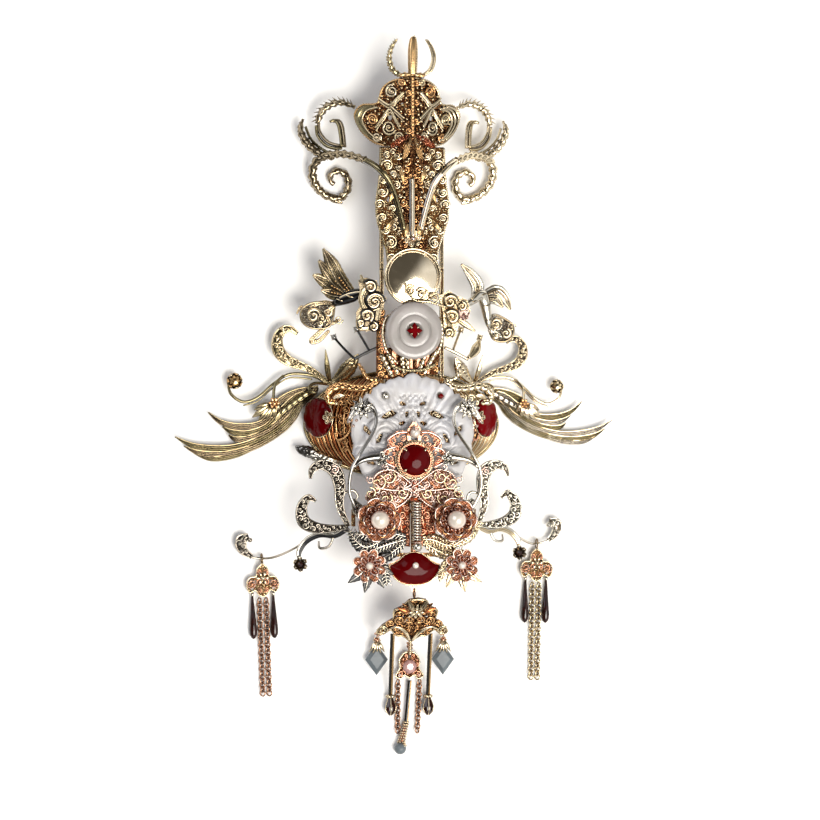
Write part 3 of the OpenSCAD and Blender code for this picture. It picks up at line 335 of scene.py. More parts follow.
@dataclass(frozen=True)
class Pearl(Finish):
    """Imitation pearl, a glass bead dipped in fish-scale lacquer: cream, rosy at the edge, softly glossy."""

    def dress(self, tree: Tree, where: Socket) -> tuple[Inputs, Inputs]:
        """Turns the tone towards the bead's edge.

        Args:
            tree: the material's node tree.
            where: the place in metres.

        Returns:
            What feeds the shader, and what it is set to.
        """
        facing = add_node(tree, "LayerWeight", values={"Blend": 0.45}).outputs["Facing"]
        lacquer = add_node(tree, "Mix", {0: facing}, tones(self.tone, self.second), data_type="RGBA")
        dapple = add_node(tree, "TexNoise", {"Vector": where}, {"Scale": 1 / (1.6 * MM), "Detail": 2.0})
        span = {"From Min": 0.3, "From Max": 0.7, "To Min": 0.14, "To Max": 0.24}
        gloss = add_node(tree, "MapRange", {"Value": dapple}, span)
        inner = {"Subsurface Weight": 0.15, "Subsurface Radius": (0.001, 0.0009, 0.0008),
            "Subsurface Scale": 1.0}
        values = {"IOR": 1.6, "Metallic": 0.25, "Coat Weight": 0.8, "Coat Roughness": 0.05, **inner}
        return {"Base Color": lacquer.outputs[MIX_OUT], "Roughness": gloss}, values


@dataclass(frozen=True)
class MattBoard(Finish):
    """Matt white display board: even, with a tooth too fine to see."""

    def dress(self, tree: Tree, where: Socket) -> tuple[Inputs, Inputs]:
        """Varies the white by a hair.

        Args:
            tree: the material's node tree.
            where: the place in metres.

        Returns:
            What feeds the shader, and what it is set to.
        """
        tooth = add_node(tree, "TexNoise", {"Vector": where}, {"Scale": 40.0, "Detail": 2.0})
        white = add_node(tree, "Mix", {0: tooth}, tones(self.tone, self.second), data_type="RGBA")
        return {"Base Color": white.outputs[MIX_OUT]}, {"Roughness": 0.9, "Specular IOR Level": 0.15}


# The plating comes in several tones, with rose where copper shows. Where a piece on the left takes an olive,
# brown or grey tone and its twin on the right a pale or polished one, the darker tone is painted shade and
# the paler painted light; each gilt finish's second tone is painted shade in its grooves.
PALE = GiltBrass("gilt_brass_pale_polished", "#dfd0b1", "#74522f")
OLIVE = GiltBrass("gilt_brass_olive_rubbed", "#b3a380", "#3a2c17")
BROWN_GILT = GiltBrass("gilt_brass_brown_rubbed", "#a09177", "#2b1d10")
RUSSET = GiltBrass("gilt_copper_russet_drawn", "#bb9276", "#55290f")
CHAMPAGNE = GiltBrass("gilt_brass_champagne_rubbed", "#dccba6", "#6b4a2c")
WARM = GiltBrass("gilt_brass_orange_drawn", "#e2b27c", "#6b3412")
ROSE = GiltBrass("gilt_copper_rose_chased", "#dea98a", "#7c3218", rough=0.18)
COPPER = GiltBrass("gilt_copper_deep_stamped", "#b26f44", "#4a1a0a", rough=0.25)
BRONZE = GiltBrass("gilt_brass_brown_stamped", "#cba878", "#4a3018", rough=0.22)
SILVER = GiltBrass("silvered_brass_chased", "#ded8ca", "#3c332a")
BLACK = GiltBrass("blackened_silver_burnished", "#9b9893", "#0d0c0b", rough=0.08, relief=0.1)
GREY_GILT = GiltBrass("gilt_brass_antique_brushed", "#918666", "#2f2614")
GREY_SILVER = GiltBrass("silvered_brass_grey", "#b8b0a3", "#241d18")
MIRROR = GiltBrass("gilt_brass_lapped", "#fff0d4", "#8a6a3c", rough=0.03, relief=0.02)
POLISH = GiltBrass("gilt_brass_mirror_burnished", "#f3e4c2", "#8a6a3c", rough=0.06, relief=0.04)
BLUSH = GiltBrass("rose_gold_wire_drawn", "#d1bcb1", "#9a5636", rough=0.12, relief=0.1)
SHOT = ShotBrass("gilt_brass_granulated", "#ecd3a4", "#54361b")
SHOT_ROSE = ShotBrass("gilt_copper_granulated", "#efb38f", "#6a2b14", grain=0.8)
SHOT_SILVER = ShotBrass("silvered_brass_granulated", "#dcd5c4", "#4c4237", grain=0.8)
UMBER = ShotBrass("gilt_copper_granulated_dark", "#b58a5e", "#35190c")
GREY_SHOT_SILVER = ShotBrass("silvered_brass_smoked_granulated", "#867e73", "#2b241e", grain=0.8)
GAUZE = WovenCopper("copper_gauze_woven", "#c68664", "#5a200c")
JADE = CarvedJade("nephrite_jade_carved", "#b1b1b5", "#a5a2a1", "#93918e")
MILK = CarvedJade("nephrite_jade_turned", "#98928f", "#8c8782", "#76726e", rough=0.2)
RED = PressedGlass("red_glass_fire_polished", "#480103", "#4e0204", shine=0.1)
CRIMSON = PressedGlass("crimson_glass_fire_polished", "#5e0306", "#680308", shine=0.05)
GARNET = PressedGlass("garnet_glass_cut", "#120504", "#30100a", rough=0.04)
MIST = PressedGlass("blue_grey_glass_frosted", "#5e666b", "#6b7377", rough=0.3, clear=0.12, streaks=7.0,
    shine=0.25)
JET = PressedGlass("black_enamel_fired", "#060505", "#0c0a09", rough=0.05)
SMOKY_ROSE = PressedGlass("smoky_rose_glass_cut", "#a88380", "#b9938e", rough=0.02, shine=0.9)
CREAM = Pearl("pearl_lacquered", "#ddd5c8", "#b6978b")
BOARD = MattBoard("display_board_matt", "#f7f7f6", "#fdfdfc")


def smooth_rows(rows: Rows, steps: int = 10) -> np.ndarray:
    """Runs a smooth curve through chosen rows, with so many points for each span.

    Args:
        rows: what the curve runs through.
        steps: how many points each span has.

    Returns:
        The curve's points.
    """
    p = np.asarray(rows, float)
    t = (np.arange(steps) / steps)[:, None]
    spans = []
    for i in range(len(p) - 1):
        a, b, c, d = p[max(i - 1, 0)], p[i], p[i + 1], p[min(i + 2, len(p) - 1)]
        bend = (2 * a - 5 * b + 4 * c - d) * t**2 + (3 * b - a - 3 * c + d) * t**3
        spans.append(0.5 * (2 * b + (c - a) * t + bend))
    return np.vstack(spans + [p[-1:]])


def run_of(path: np.ndarray) -> np.ndarray:
    """How far along the curve each of its points is."""
    return np.concatenate([[0.0], np.cumsum(np.linalg.norm(np.diff(path[:, :3], axis=0), axis=1))])


def even_rows(rows: Rows, spacing: float) -> np.ndarray:
    """A smooth curve through the rows, with points an even distance apart.

    Args:
        rows: what the curve runs through.
        spacing: how far apart the points are.

    Returns:
        The curve's points.
    """
    fine = smooth_rows(rows)
    run = run_of(fine)
    places = np.linspace(0, run[-1], max(int(round(run[-1] / spacing)), 2) + 1)
    return np.column_stack([np.interp(places, run, column) for column in fine.T])


def unit(vectors: np.ndarray) -> np.ndarray:
    """The vectors at a length of one."""
    return vectors / np.maximum(np.linalg.norm(vectors, axis=1, keepdims=True), 1e-9)


def frames_of(centre: np.ndarray) -> tuple[np.ndarray, np.ndarray]:
    """The directions across a curve and up from it, one of each for every point.

    Args:
        centre: the curve's points.

    Returns:
        The unit vectors across, and those up.
    """
    along = unit(np.gradient(centre, axis=0))
    across = np.cross(along, [0.0, 0.0, 1.0])
    for i in np.flatnonzero(np.linalg.norm(across, axis=1) < 0.08):
        across[i] = across[i - 1] if i else [1.0, 0.0, 0.0]
    across = unit(across)
    return across, np.cross(across, along)


def inside(points: np.ndarray, outline: np.ndarray) -> np.ndarray:
    """Which points lie within a closed outline.

    Args:
        points: the places that are asked about.
        outline: the closed outline.

    Returns:
        True for each point that lies within.
    """
    x, y = points[:, :1], points[:, 1:2]
    a, b = outline, np.roll(outline, -1, axis=0)
    rising = (a[:, 1] > y) != (b[:, 1] > y)
    with np.errstate(divide="ignore", invalid="ignore"):
        cut = (b[:, 0] - a[:, 0]) * (y - a[:, 1]) / (b[:, 1] - a[:, 1]) + a[:, 0]
    return (np.count_nonzero(rising & (x < cut), axis=1) % 2).astype(bool)


def to_edge(points: np.ndarray, outline: np.ndarray) -> np.ndarray:
    """How far each point is from a closed outline.

    Args:
        points: the places that are asked about.
        outline: the closed outline.

    Returns:
        The distance of each point.
    """
    a, b = outline, np.roll(outline, -1, axis=0)
    d = b - a
    size = np.maximum((d**2).sum(axis=1), 1e-12)
    t = np.clip(((points[:, None] - a) * d).sum(axis=2) / size, 0, 1)
    return np.linalg.norm(points[:, None] - a - t[..., None] * d, axis=2).min(axis=1)


def whole(half: Rows) -> list[Row]:
    """An outline from its right half, which starts and ends on the middle line."""
    return list(half) + [[-x, y] for x, y in list(half)[-2:0:-1]]


def dense(outline: Rows, spacing: float) -> np.ndarray:
    """A closed outline with points added so that none are further apart than spacing.

    Args:
        outline: the closed outline.
        spacing: the largest distance.

    Returns:
        The outline's points.
    """
    p = np.asarray(outline, float)
    parts = []
    for a, b in zip(p, np.roll(p, -1, axis=0)):
        count = max(int(np.ceil(np.linalg.norm(b - a) / spacing)), 1)
        parts.append(a + (b - a) * (np.arange(count) / count)[:, None])
    return np.vstack(parts)


def circle(radius: float, count: int, *rest: float, x: float = 0.0, y: float = 0.0, end: float = FULL,
    last: bool = False) -> list[Row]:
    """Rows round a centre.

    Args:
        radius: the circle's.
        count: how many rows.
        rest: what each row ends with.
        x: the centre's place across.
        y: the centre's place up.
        end: the angle that they run to.
        last: whether a row lies at that angle.

    Returns:
        The rows.
    """
    turns = np.linspace(0, end, count, last)
    return [(x + radius * math.cos(t), y + radius * math.sin(t), *rest) for t in turns]


def shifted(rows: Rows, x: float = 0.0, y: float = 0.0, z: float = 0.0, wide: float = 1.0) -> np.ndarray:
    """Rows moved by so many millimetres, their widths times wide."""
    return np.asarray(rows, float) * (1, 1, 1, wide) + (x, y, z, 0)


def flat(points: Rows, z: float, width: float) -> list[Row]:
    """Points of a plan as rows at one height and of one width."""
    return [(*p, z, width) for p in points]


def packed(outline: Rows, largest: float, smallest: float, seed: int) -> list[tuple[float, float, float]]:
    """Places for spirals that fill an outline, the largest first.

    Args:
        outline: the closed outline.
        largest: the largest radius.
        smallest: the smallest radius.
        seed: picks among layouts.

    Returns:
        A centre and a radius for each spiral.
    """
    edge = np.asarray(outline, float)
    maker = np.random.default_rng(seed)
    low, high = edge.min(axis=0), edge.max(axis=0)
    step = smallest * 0.45
    xs, ys = np.arange(low[0], high[0], step), np.arange(low[1], high[1], step)
    spots = np.array([[x, y] for x in xs for y in ys])
    spots += maker.uniform(-0.2, 0.2, spots.shape) * step
    spots = spots[inside(spots, edge)]
    room = to_edge(spots, edge)
    found = []
    while len(spots):
        cap = largest * maker.uniform(0.62, 1.0)
        best = int(np.argmax(np.minimum(room, cap) + maker.uniform(0, 0.05, len(room))))
        radius = min(room[best], cap)
        if radius < smallest:
            break
        found.append((float(spots[best, 0]), float(spots[best, 1]), float(radius) * CROWDED))
        room = np.minimum(room, np.linalg.norm(spots - spots[best], axis=1) - radius)
        keep = room > smallest * 0.98
        spots, room = spots[keep], room[keep]
    return found


def spiral(x: float, y: float, z: float, radius: float, turns: float, start: float,
    width: float) -> list[Row]:
    """The rows of a wire that winds in to a centre.

    Args:
        x: the centre's place across.
        y: the centre's place up.
        z: the centre's height.
        radius: how wide it starts.
        turns: how often it winds, negative for the other way.
        start: where it starts, in degrees.
        width: the wire's width.

    Returns:
        Rows for a wire.
    """
    rows = []
    for part in np.linspace(0, 1, max(int(abs(turns) * 9), 5) + 1):
        angle = math.radians(start) + FULL * turns * part
        reach = radius * (1 - WOUND * part)
        rows.append((x + reach * math.cos(angle), y + reach * math.sin(angle), z, width * (1 - TAPER * part)))
    return rows


def move(x: float, y: float, z: float = 0.0) -> Matrix:
    """A shift by so many millimetres."""
    return Matrix.Translation((x, y, z))


def turn(degrees: float, axis: str = "Z") -> Matrix:
    """A turn about an axis."""
    return Matrix.Rotation(math.radians(degrees), 4, axis)


def on_side(side: Side) -> Matrix:
    """Nothing on the right side, a mirror image on the left."""
    return Matrix.Scale(side.value, 4, (1, 0, 0))


def ico() -> tuple[np.ndarray, np.ndarray]:
    """A grain of shot with twenty faces: its points at unit radius, and its faces.

    Returns:
        The points and the faces.
    """
    g = (1 + 5**0.5) / 2
    ends = [(a, b * g) for a in (-1, 1) for b in (-1, 1)]
    points = [(0, a, b) for a, b in ends] + [(a, b, 0) for a, b in ends]
    points += [(b * g, 0, a) for a in (-1, 1) for b in (-1, 1)]
    p = np.array(points, float) / math.hypot(1, g)
    faces = []
    for i, j, k in itertools.combinations(range(12), 3):
        trio = p[[i, j, k]]
        if max(np.linalg.norm(trio - np.roll(trio, 1, axis=0), axis=1)) < 1.1:
            out = np.dot(np.cross(trio[1] - trio[0], trio[2] - trio[0]), trio.sum(axis=0)) > 0
            faces.append((i, j, k) if out else (i, k, j))
    return p, np.array(faces)


GRAIN = ico()


class Pen:
    """Gathers the surfaces of one piece, in millimetres, each in its finish."""

    def __init__(self) -> None:
        """Starts with nothing drawn."""
        self.points: list[np.ndarray] = []
        self.faces: list[list[int]] = []
        self.inks: list[int] = []
        self.softs: list[bool] = []
        self.finishes: list[Finish] = []
        self.total = 0
        self.place = Matrix.Identity(4)
        self.ink = 0
        self.soft = True

    def use(self, finish: Finish, soft: bool = True) -> Pen:
        """Draws what follows in this finish, shaded smooth or flat, and gives the pen back.

        Args:
            finish: the finish.
            soft: whether it is shaded smooth.

        Returns:
            The pen.
        """
        if finish not in self.finishes:
            self.finishes.append(finish)
        self.ink, self.soft = self.finishes.index(finish), soft
        return self

    @contextmanager
    def at(self, *steps: Matrix) -> Iterator[None]:
        """Draws within a place that is moved, turned or mirrored by the steps.

        Args:
            steps: what moves, turns or mirrors it, one after the other.

        Returns:
            The context, for a with statement.
        """
        kept = self.place
        for step in steps:
            self.place = self.place @ step
        yield
        self.place = kept

    def fan(self, degrees: Iterable[float], *place: Matrix) -> Iterator[int]:
        """Draws once for each angle, turned by it about a place, and counts.

        Args:
            degrees: the angles.
            place: the steps to the fan's middle.

        Returns:
            The angles' numbers, in order.
        """
        for k, angle in enumerate(degrees):
            with self.at(*place, turn(angle)):
                yield k

    def ring(self, count: int, *place: Matrix, start: float = 0.0) -> Iterator[int]:
        """Draws so many times round a place, from a start in degrees, and counts."""
        return self.fan((360 * k / count + start for k in range(count)), *place)

    def both(self, *place: Matrix) -> Iterator[Side]:
        """Draws on the left, mirrored, and then on the right.

        Args:
            place: the steps to where it lies on the right.

        Returns:
            The sides, in order.
        """
        for side in Side:
            with self.at(on_side(side), *place):
                yield side

    def add(self, points: np.ndarray, faces: list[list[int]]) -> None:
        """Adds a surface, by its points in the place that the pen is at, and its faces turned outwards.

        Args:
            points: its points.
            faces: the numbers of each face's points.
        """
        matrix = np.array(self.place)
        self.points.append(points @ matrix[:3, :3].T + matrix[:3, 3])
        way = -1 if self.place.determinant() < 0 else 1
        self.faces.extend([[i + self.total for i in face[::way]] for face in faces])
        self.inks.extend([self.ink] * len(faces))
        self.softs.extend([self.soft] * len(faces))
        self.total += len(points)

    def skin(self, grid: np.ndarray, join: bool = False) -> None:
        """Covers closed rings of points, and joins the last to the first or closes both ends.

        Args:
            grid: the rings, all with as many points.
            join: whether the last ring joins the first.
        """
        n, k = grid.shape[:2]
        i, j = np.meshgrid(np.arange(n if join else n - 1), np.arange(k), indexing="ij")
        nxt, far = (i + 1) % n, (j + 1) % k
        quads = np.stack([i * k + j, nxt * k + j, nxt * k + far, i * k + far], axis=-1)
        quads = quads.reshape(-1, 4).tolist()
        if not join:
            quads += [list(range(k)), list(range(n * k - 1, (n - 1) * k - 1, -1))]
        self.add(grid.reshape(-1, 3), quads)

    def wire(self, rows: Rows, style: Wire = Wire.PLAIN, sides: int = 6, flat: float = 1.0,
        join: bool = False) -> None:
        """Draws a wire.

        Args:
            rows: points with a width: across, up, height, width.
            style: how it is worked.
            sides: how many sides its section has.
            flat: its thickness over its width.
            join: whether it closes on itself.
        """
        width = max(r[3] for r in rows)
        spacing = {Wire.PLAIN: max(0.55, 0.5 * width), Wire.ROPE: 0.16 * width,
            Wire.BEADED: 0.15 * width}[style]
        path = even_rows([*rows, rows[0]], spacing)[:-1] if join else even_rows(rows, spacing)
        centre, radius = path[:, :3], path[:, 3:4] / 2
        angle = FULL * np.arange(sides) / sides
        run = run_of(path)[:, None] / width
        if style is Wire.ROPE:
            radius = radius * (1.0 + ROPE_DEPTH * np.cos(2 * (angle - FULL * run / ROPE_LAY)))
        elif style is Wire.BEADED:
            radius = radius * (0.66 + 0.44 * np.abs(np.sin(math.pi * run / BEAD_PITCH)))
        across, up = frames_of(centre)
        ring = across[:, None] * np.cos(angle)[:, None] + up[:, None] * flat * np.sin(angle)[:, None]
        self.skin(centre[:, None] + radius[..., None] * ring, join)

    def blade(self, rows: Rows, thick: float = 0.5, crown: float = 0.6, grooves: int = 0, depth: float = 0.22,
        teeth: float = 0.0, tooth: float = 1.8, veins: float = 0.0, spacing: float = 0.6) -> None:
        """Draws a chased blade, leaf or feather.

        Args:
            rows: points with a width: across, up, height, width.
            thick: the sheet's thickness.
            crown: how far its middle rises.
            grooves: how many grooves run along it.
            depth: how deep they are.
            teeth: how much of the width each tooth of its edge takes.
            tooth: the teeth's spacing.
            veins: how deep the slanting veins are.
            spacing: how far apart its sections are.
        """
        path = even_rows(rows, spacing)
        run = run_of(path)[:, None]
        half = path[:, 3:4] / 2
        share = half / half.max()
        across, up = frames_of(path[:, :3])
        u = np.linspace(1, -1, 4 * (grooves + 1) + 5)
        edge = half * (1 - teeth * ((run / tooth) % 1.0))
        lift = thick / 2 + crown * share * (1 - u**2)
        if grooves:
            lift = lift - depth * share**0.5 * (0.5 + 0.5 * np.cos(math.pi * (grooves + 1) * (u + 1)))
        if veins:
            lift = lift - veins * share * (0.5 + 0.5 * np.cos(FULL * (run / tooth + 0.9 * np.abs(u))))
        top = path[:, None, :3] + across[:, None] * (edge * u)[..., None] + up[:, None] * lift[..., None]
        under = np.array([-0.92, 0.0, 0.92])
        low = path[:, None, :3] + across[:, None] * (edge * under)[..., None] - up[:, None] * thick / 2
        self.skin(np.concatenate([top, low], axis=1))

    def acanthus(self, rows: Rows, ground: Finish, edge: Finish) -> None:
        """Draws a chased leaf: a grained ground, with two rims and a row of scrolls in the edge's finish.

        Args:
            rows: points with a width: across, up, height, width.
            ground: the finish of the sheet.
            edge: the finish of the rims and scrolls.
        """
        self.use(ground).blade(rows, 0.7, 0.5, teeth=0.08, tooth=2.6, spacing=0.45)
        path = even_rows(rows, 1.7)
        across, up = frames_of(path[:, :3])
        self.use(edge)
        for way in (-1, 1):
            rim = path[:, :3] + across * way * path[:, 3:4] * 0.43 + up * 0.35
            self.wire(np.column_stack([rim, 0.35 + 0.12 * path[:, 3]]))
        for k, (x, y, z, width) in enumerate(path[1:-1]):
            if width > 2:
                way = (-1) ** k
                x, y = np.array((x, y)) + across[k + 1][:2] * 0.16 * width * way
                self.wire(spiral(x, y, z + 1.0, 0.27 * width, 1.3 * way, 90 * k, 0.7), sides=5)
                self.grains([(x, y, z + 1.15)], 0.9)

    def turned(self, profile: Rows, sides: int = 48, lobes: int = 0, lobe: float = 0.0,
        join: bool = False) -> None:
        """Draws a turned form about the Z axis.

        Args:
            profile: radius and height, from the foot outwards and up to the top.
            sides: how many sides it has.
            lobes: how many petals its edge has.
            lobe: how deep the notches between them are.
            join: whether the profile closes on itself, as a ring's does.
        """
        p = np.asarray(profile, float)
        angle = -FULL * np.arange(sides) / sides
        edge = 1 - lobe * (1 - np.abs(np.cos(lobes * angle / 2)) ** 0.6)
        radius = np.maximum(p[:, :1], 0.002) * edge
        grid = [radius * np.cos(angle), radius * np.sin(angle), np.repeat(p[:, 1:2], sides, axis=1)]
        self.skin(np.stack(grid, axis=-1), join)

    def ball(self, x: float, y: float, z: float, d: float, sides: int = 14, tall: float = 1.0) -> None:
        """Draws a ball, tall times as high as it is wide.

        Args:
            x: its place across.
            y: its place up.
            z: its height.
            d: its width.
            sides: how many sides it has.
            tall: its height over its width.
        """
        a = np.radians(np.linspace(-90, 90, sides // 2 + 2))
        with self.at(move(x, y, z)):
            self.turned(np.column_stack([d / 2 * np.cos(a), tall * d / 2 * np.sin(a)]), sides)

    def grains(self, places: Rows, d: float) -> None:
        """Draws grains of shot at places of three coordinates, or four where a grain has its own size.

        Args:
            places: where they lie.
            d: their width, where the places give none.
        """
        if not len(places):
            return
        p = np.asarray(places, float)
        size = p[:, 3] if p.shape[1] > 3 else np.full(len(p), d)
        points = p[:, None, :3] + size[:, None, None] / 2 * GRAIN[0]
        faces = GRAIN[1][None] + 12 * np.arange(len(p))[:, None, None]
        self.add(points.reshape(-1, 3), faces.reshape(-1, 3).tolist())

    def grains_along(self, rows: Rows, d: float, pitch: float, lift: float = 0.0) -> None:
        """Draws grains of a diameter in a row along a curve, a pitch apart and lifted above it."""
        path = even_rows(rows, pitch)[:, :3]
        self.grains(path + frames_of(path)[1] * lift, d)

    def barbs(self, rows: Rows, pitch: float, length: float, lean: float, out: float) -> None:
        """Draws short pointed barbs that slant away from a curve.

        Args:
            rows: the curve's points, with a width.
            pitch: how far apart they are.
            length: how long they are.
            lean: how far forward they slant, as a share of their length.
            out: 1 for the curve's right, -1 for its left.
        """
        path = even_rows(rows, pitch)
        across, up = frames_of(path[:, :3])
        along = np.cross(up, across)
        for i in range(1, len(path) - 1):
            root = path[i, :3] + out * across[i] * path[i, 3] * 0.3
            tip = root + length * (out * across[i] + lean * along[i])
            self.wire([(*root, 0.36 * pitch + 0.3), (*(root * 0.4 + tip * 0.6), 0.42), (*tip, 0.12)], sides=4)

    def scrolls(self, sites: Rows, z: float, width: float = 0.5, grain: float = 0.8) -> None:
        """Draws spirals of wire, each with a grain of shot in its eye.

        Args:
            sites: centres and radii.
            z: their height.
            width: the wire's width.
            grain: the grain's diameter.
        """
        for k, (x, y, radius) in enumerate(sites):
            self.wire(spiral(x, y, z, radius, -((-1) ** k) * (1.1 + 0.35 * radius), 67 * k, width), sides=5)
        self.grains([(x, y, z + 0.15, min(grain, 0.9 * r)) for x, y, r in sites], grain)

    def relief(self, outline: Rows, holes: Sequence[Rows], base: float,
        top: float | Callable[[np.ndarray, np.ndarray], np.ndarray], cell: float) -> None:
        """Draws a carved plate with a flat back.

        Args:
            outline: its edge.
            holes: the openings through it.
            base: the height of its back.
            top: the height of its face, or a rule for it from places and their distances to the nearest edge.
            cell: how fine its face is.
        """
        loops = [dense(loop, cell) for loop in (outline, *holes)]
        edge = loops[0]
        low, high = edge.min(axis=0), edge.max(axis=0)
        xs, ys = np.arange(low[0], high[0], cell), np.arange(low[1], high[1], cell * 0.87)
        spots = np.array([(x + (j % 2) * cell / 2, y) for j, y in enumerate(ys) for x in xs])

        def solid(places: np.ndarray) -> np.ndarray:
            """Which places are on the plate."""
            return inside(places, edge) & ~np.any([inside(places, loop) for loop in loops[1:]] or [False],
                axis=0)

        spots = spots[solid(spots)]
        for loop in loops:
            spots = spots[to_edge(spots, loop) > cell * 0.45]
        coords, links = [], []
        for loop in loops:
            start = len(coords)
            coords.extend(loop.tolist())
            links.extend((start + i, start + (i + 1) % len(loop)) for i in range(len(loop)))
        made = delaunay_2d_cdt([Vector(c) for c in coords + spots.tolist()], links, [], 0, 1e-6)
        plan = np.array([(v.x, v.y) for v in made[0]])
        trios = np.array([f for f in made[2] if len(f) == 3])
        trios = trios[solid(plan[trios].mean(axis=1))]
        (ax, ay), (bx, by), (cx, cy) = (plan[trios[:, k]].T for k in range(3))
        under = (bx - ax) * (cy - ay) - (by - ay) * (cx - ax) < 0
        trios[under] = trios[under][:, ::-1]
        near = np.min([to_edge(plan, loop) for loop in loops], axis=0)
        face = top(plan, near) if callable(top) else np.full(len(plan), top)
        upper, lower = np.column_stack([plan, face]), np.column_stack([plan, np.full(len(plan), base)])
        self.add(upper, trios.tolist())
        self.add(lower, trios[:, ::-1].tolist())
        sides = {(trio[i], trio[(i + 1) % 3]): 1 for trio in trios.tolist() for i in range(3)}
        rim = [(i, j) for i, j in sides if (j, i) not in sides]
        kept, self.soft = self.soft, False
        wall = np.vstack([(*lower[[i, j]], *upper[[j, i]]) for i, j in rim])
        self.add(wall, np.arange(len(wall)).reshape(-1, 4).tolist())
        self.soft = kept

    def petal(self, length: float, width: float, lift: float, fill: Finish, rim: Finish,
        cup: float = 0.25) -> None:
        """Draws a petal along +X: a cupped leaf with a wire rim.

        Args:
            length: from the root to the tip.
            width: at its widest.
            lift: how far its tip rises.
            fill: the leaf's finish.
            rim: the rim's finish.
            cup: the leaf's crown.
        """
        shape = [(0.05, 0.3), (0.3, 0.78), (0.62, 1.0), (0.88, 0.86), (0.98, 0.4)]
        leaf = [(length * t, 0, lift * t * t, width * w) for t, w in shape]
        self.use(fill).blade(leaf, 0.3, cup, 2, 0.18, spacing=0.7)
        self.use(rim).wire([(length * t, 0, lift * t * t + cup + 0.2, 0.5) for t in (0.1, 0.5, 0.85)],
            sides=5)
        wide = width / 2 - 0.1
        up = [(length * t, wide * w, lift * t * t + 0.25, 0.45 + 0.04 * width) for t, w in shape]
        back = [(x, -y, z, w) for x, y, z, w in up[::-1]]
        self.wire(up + [(length * 1.02, 0, lift + 0.3, 0.55)] + back)


@dataclass
class Workshop:
    """Turns drawn pieces into objects that ride on the crown's body."""

    nodes: dict[str, bpy.types.Object]
    body: str = "root"
    materials: dict[Finish, bpy.types.Material] = field(default_factory=dict)

    def material(self, finish: Finish) -> bpy.types.Material:
        """The finish's material, made when it is first asked for.

        Args:
            finish: the finish.

        Returns:
            The material.
        """
        if finish not in self.materials:
            self.materials[finish] = finish.material()
        return self.materials[finish]

    def solid(self, name: str, pen: Pen) -> bpy.types.Object:
        """Makes an object of what a pen has drawn.

        Args:
            name: the object's name.
            pen: what was drawn.

        Returns:
            The object.
        """
        mesh = bpy.data.meshes.new(name)
        mesh.from_pydata((np.vstack(pen.points) * MM).tolist(), [], pen.faces)
        mesh.polygons.foreach_set("material_index", pen.inks)
        mesh.polygons.foreach_set("use_smooth", pen.softs)
        for finish in pen.finishes:
            mesh.materials.append(self.material(finish))
        mesh.validate()
        made = bpy.data.objects.new(name, mesh)
        bpy.context.scene.collection.objects.link(made)
        return made

    def draw(self, rule: Callable[[Pen], None], name: str, slot: str, *stands_for: str) -> None:
        """Makes a piece from the rule that draws it.

        Args:
            rule: draws it with a pen.
            name: the object's name.
            slot: a material slot's name, handed on to make.
            stands_for: the solid parts that it replaces.
        """
        pen = Pen()
        rule(pen)
        self.make(name, pen, slot, *stands_for)

    def make(self, name: str, pen: Pen, slot: str, *stands_for: str) -> None:
        """Makes a piece that rides on the body.

        Args:
            name: the object's name.
            pen: what was drawn.
            slot: not used.
            stands_for: the solid parts that it replaces.
        """
        made = self.solid(name, pen)
        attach(made, self.body)
        if stands_for:
            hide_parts(*stands_for)
        LOG.info("%s: %d faces, for %s", name, len(pen.faces), ", ".join(stands_for) or "detail")

    def dress(self, finish: Finish, *names: str) -> None:
        """Gives solid parts a finish.

        Args:
            finish: the finish.
            names: the solid parts' names.
        """
        for name in names:
            part = self.nodes[name]
            if not part.data.materials:
                part.data.materials.append(self.material(finish))
            for held in part.material_slots:
                held.material = self.material(finish)
            LOG.info("%s: dressed in %s", name, finish.name)


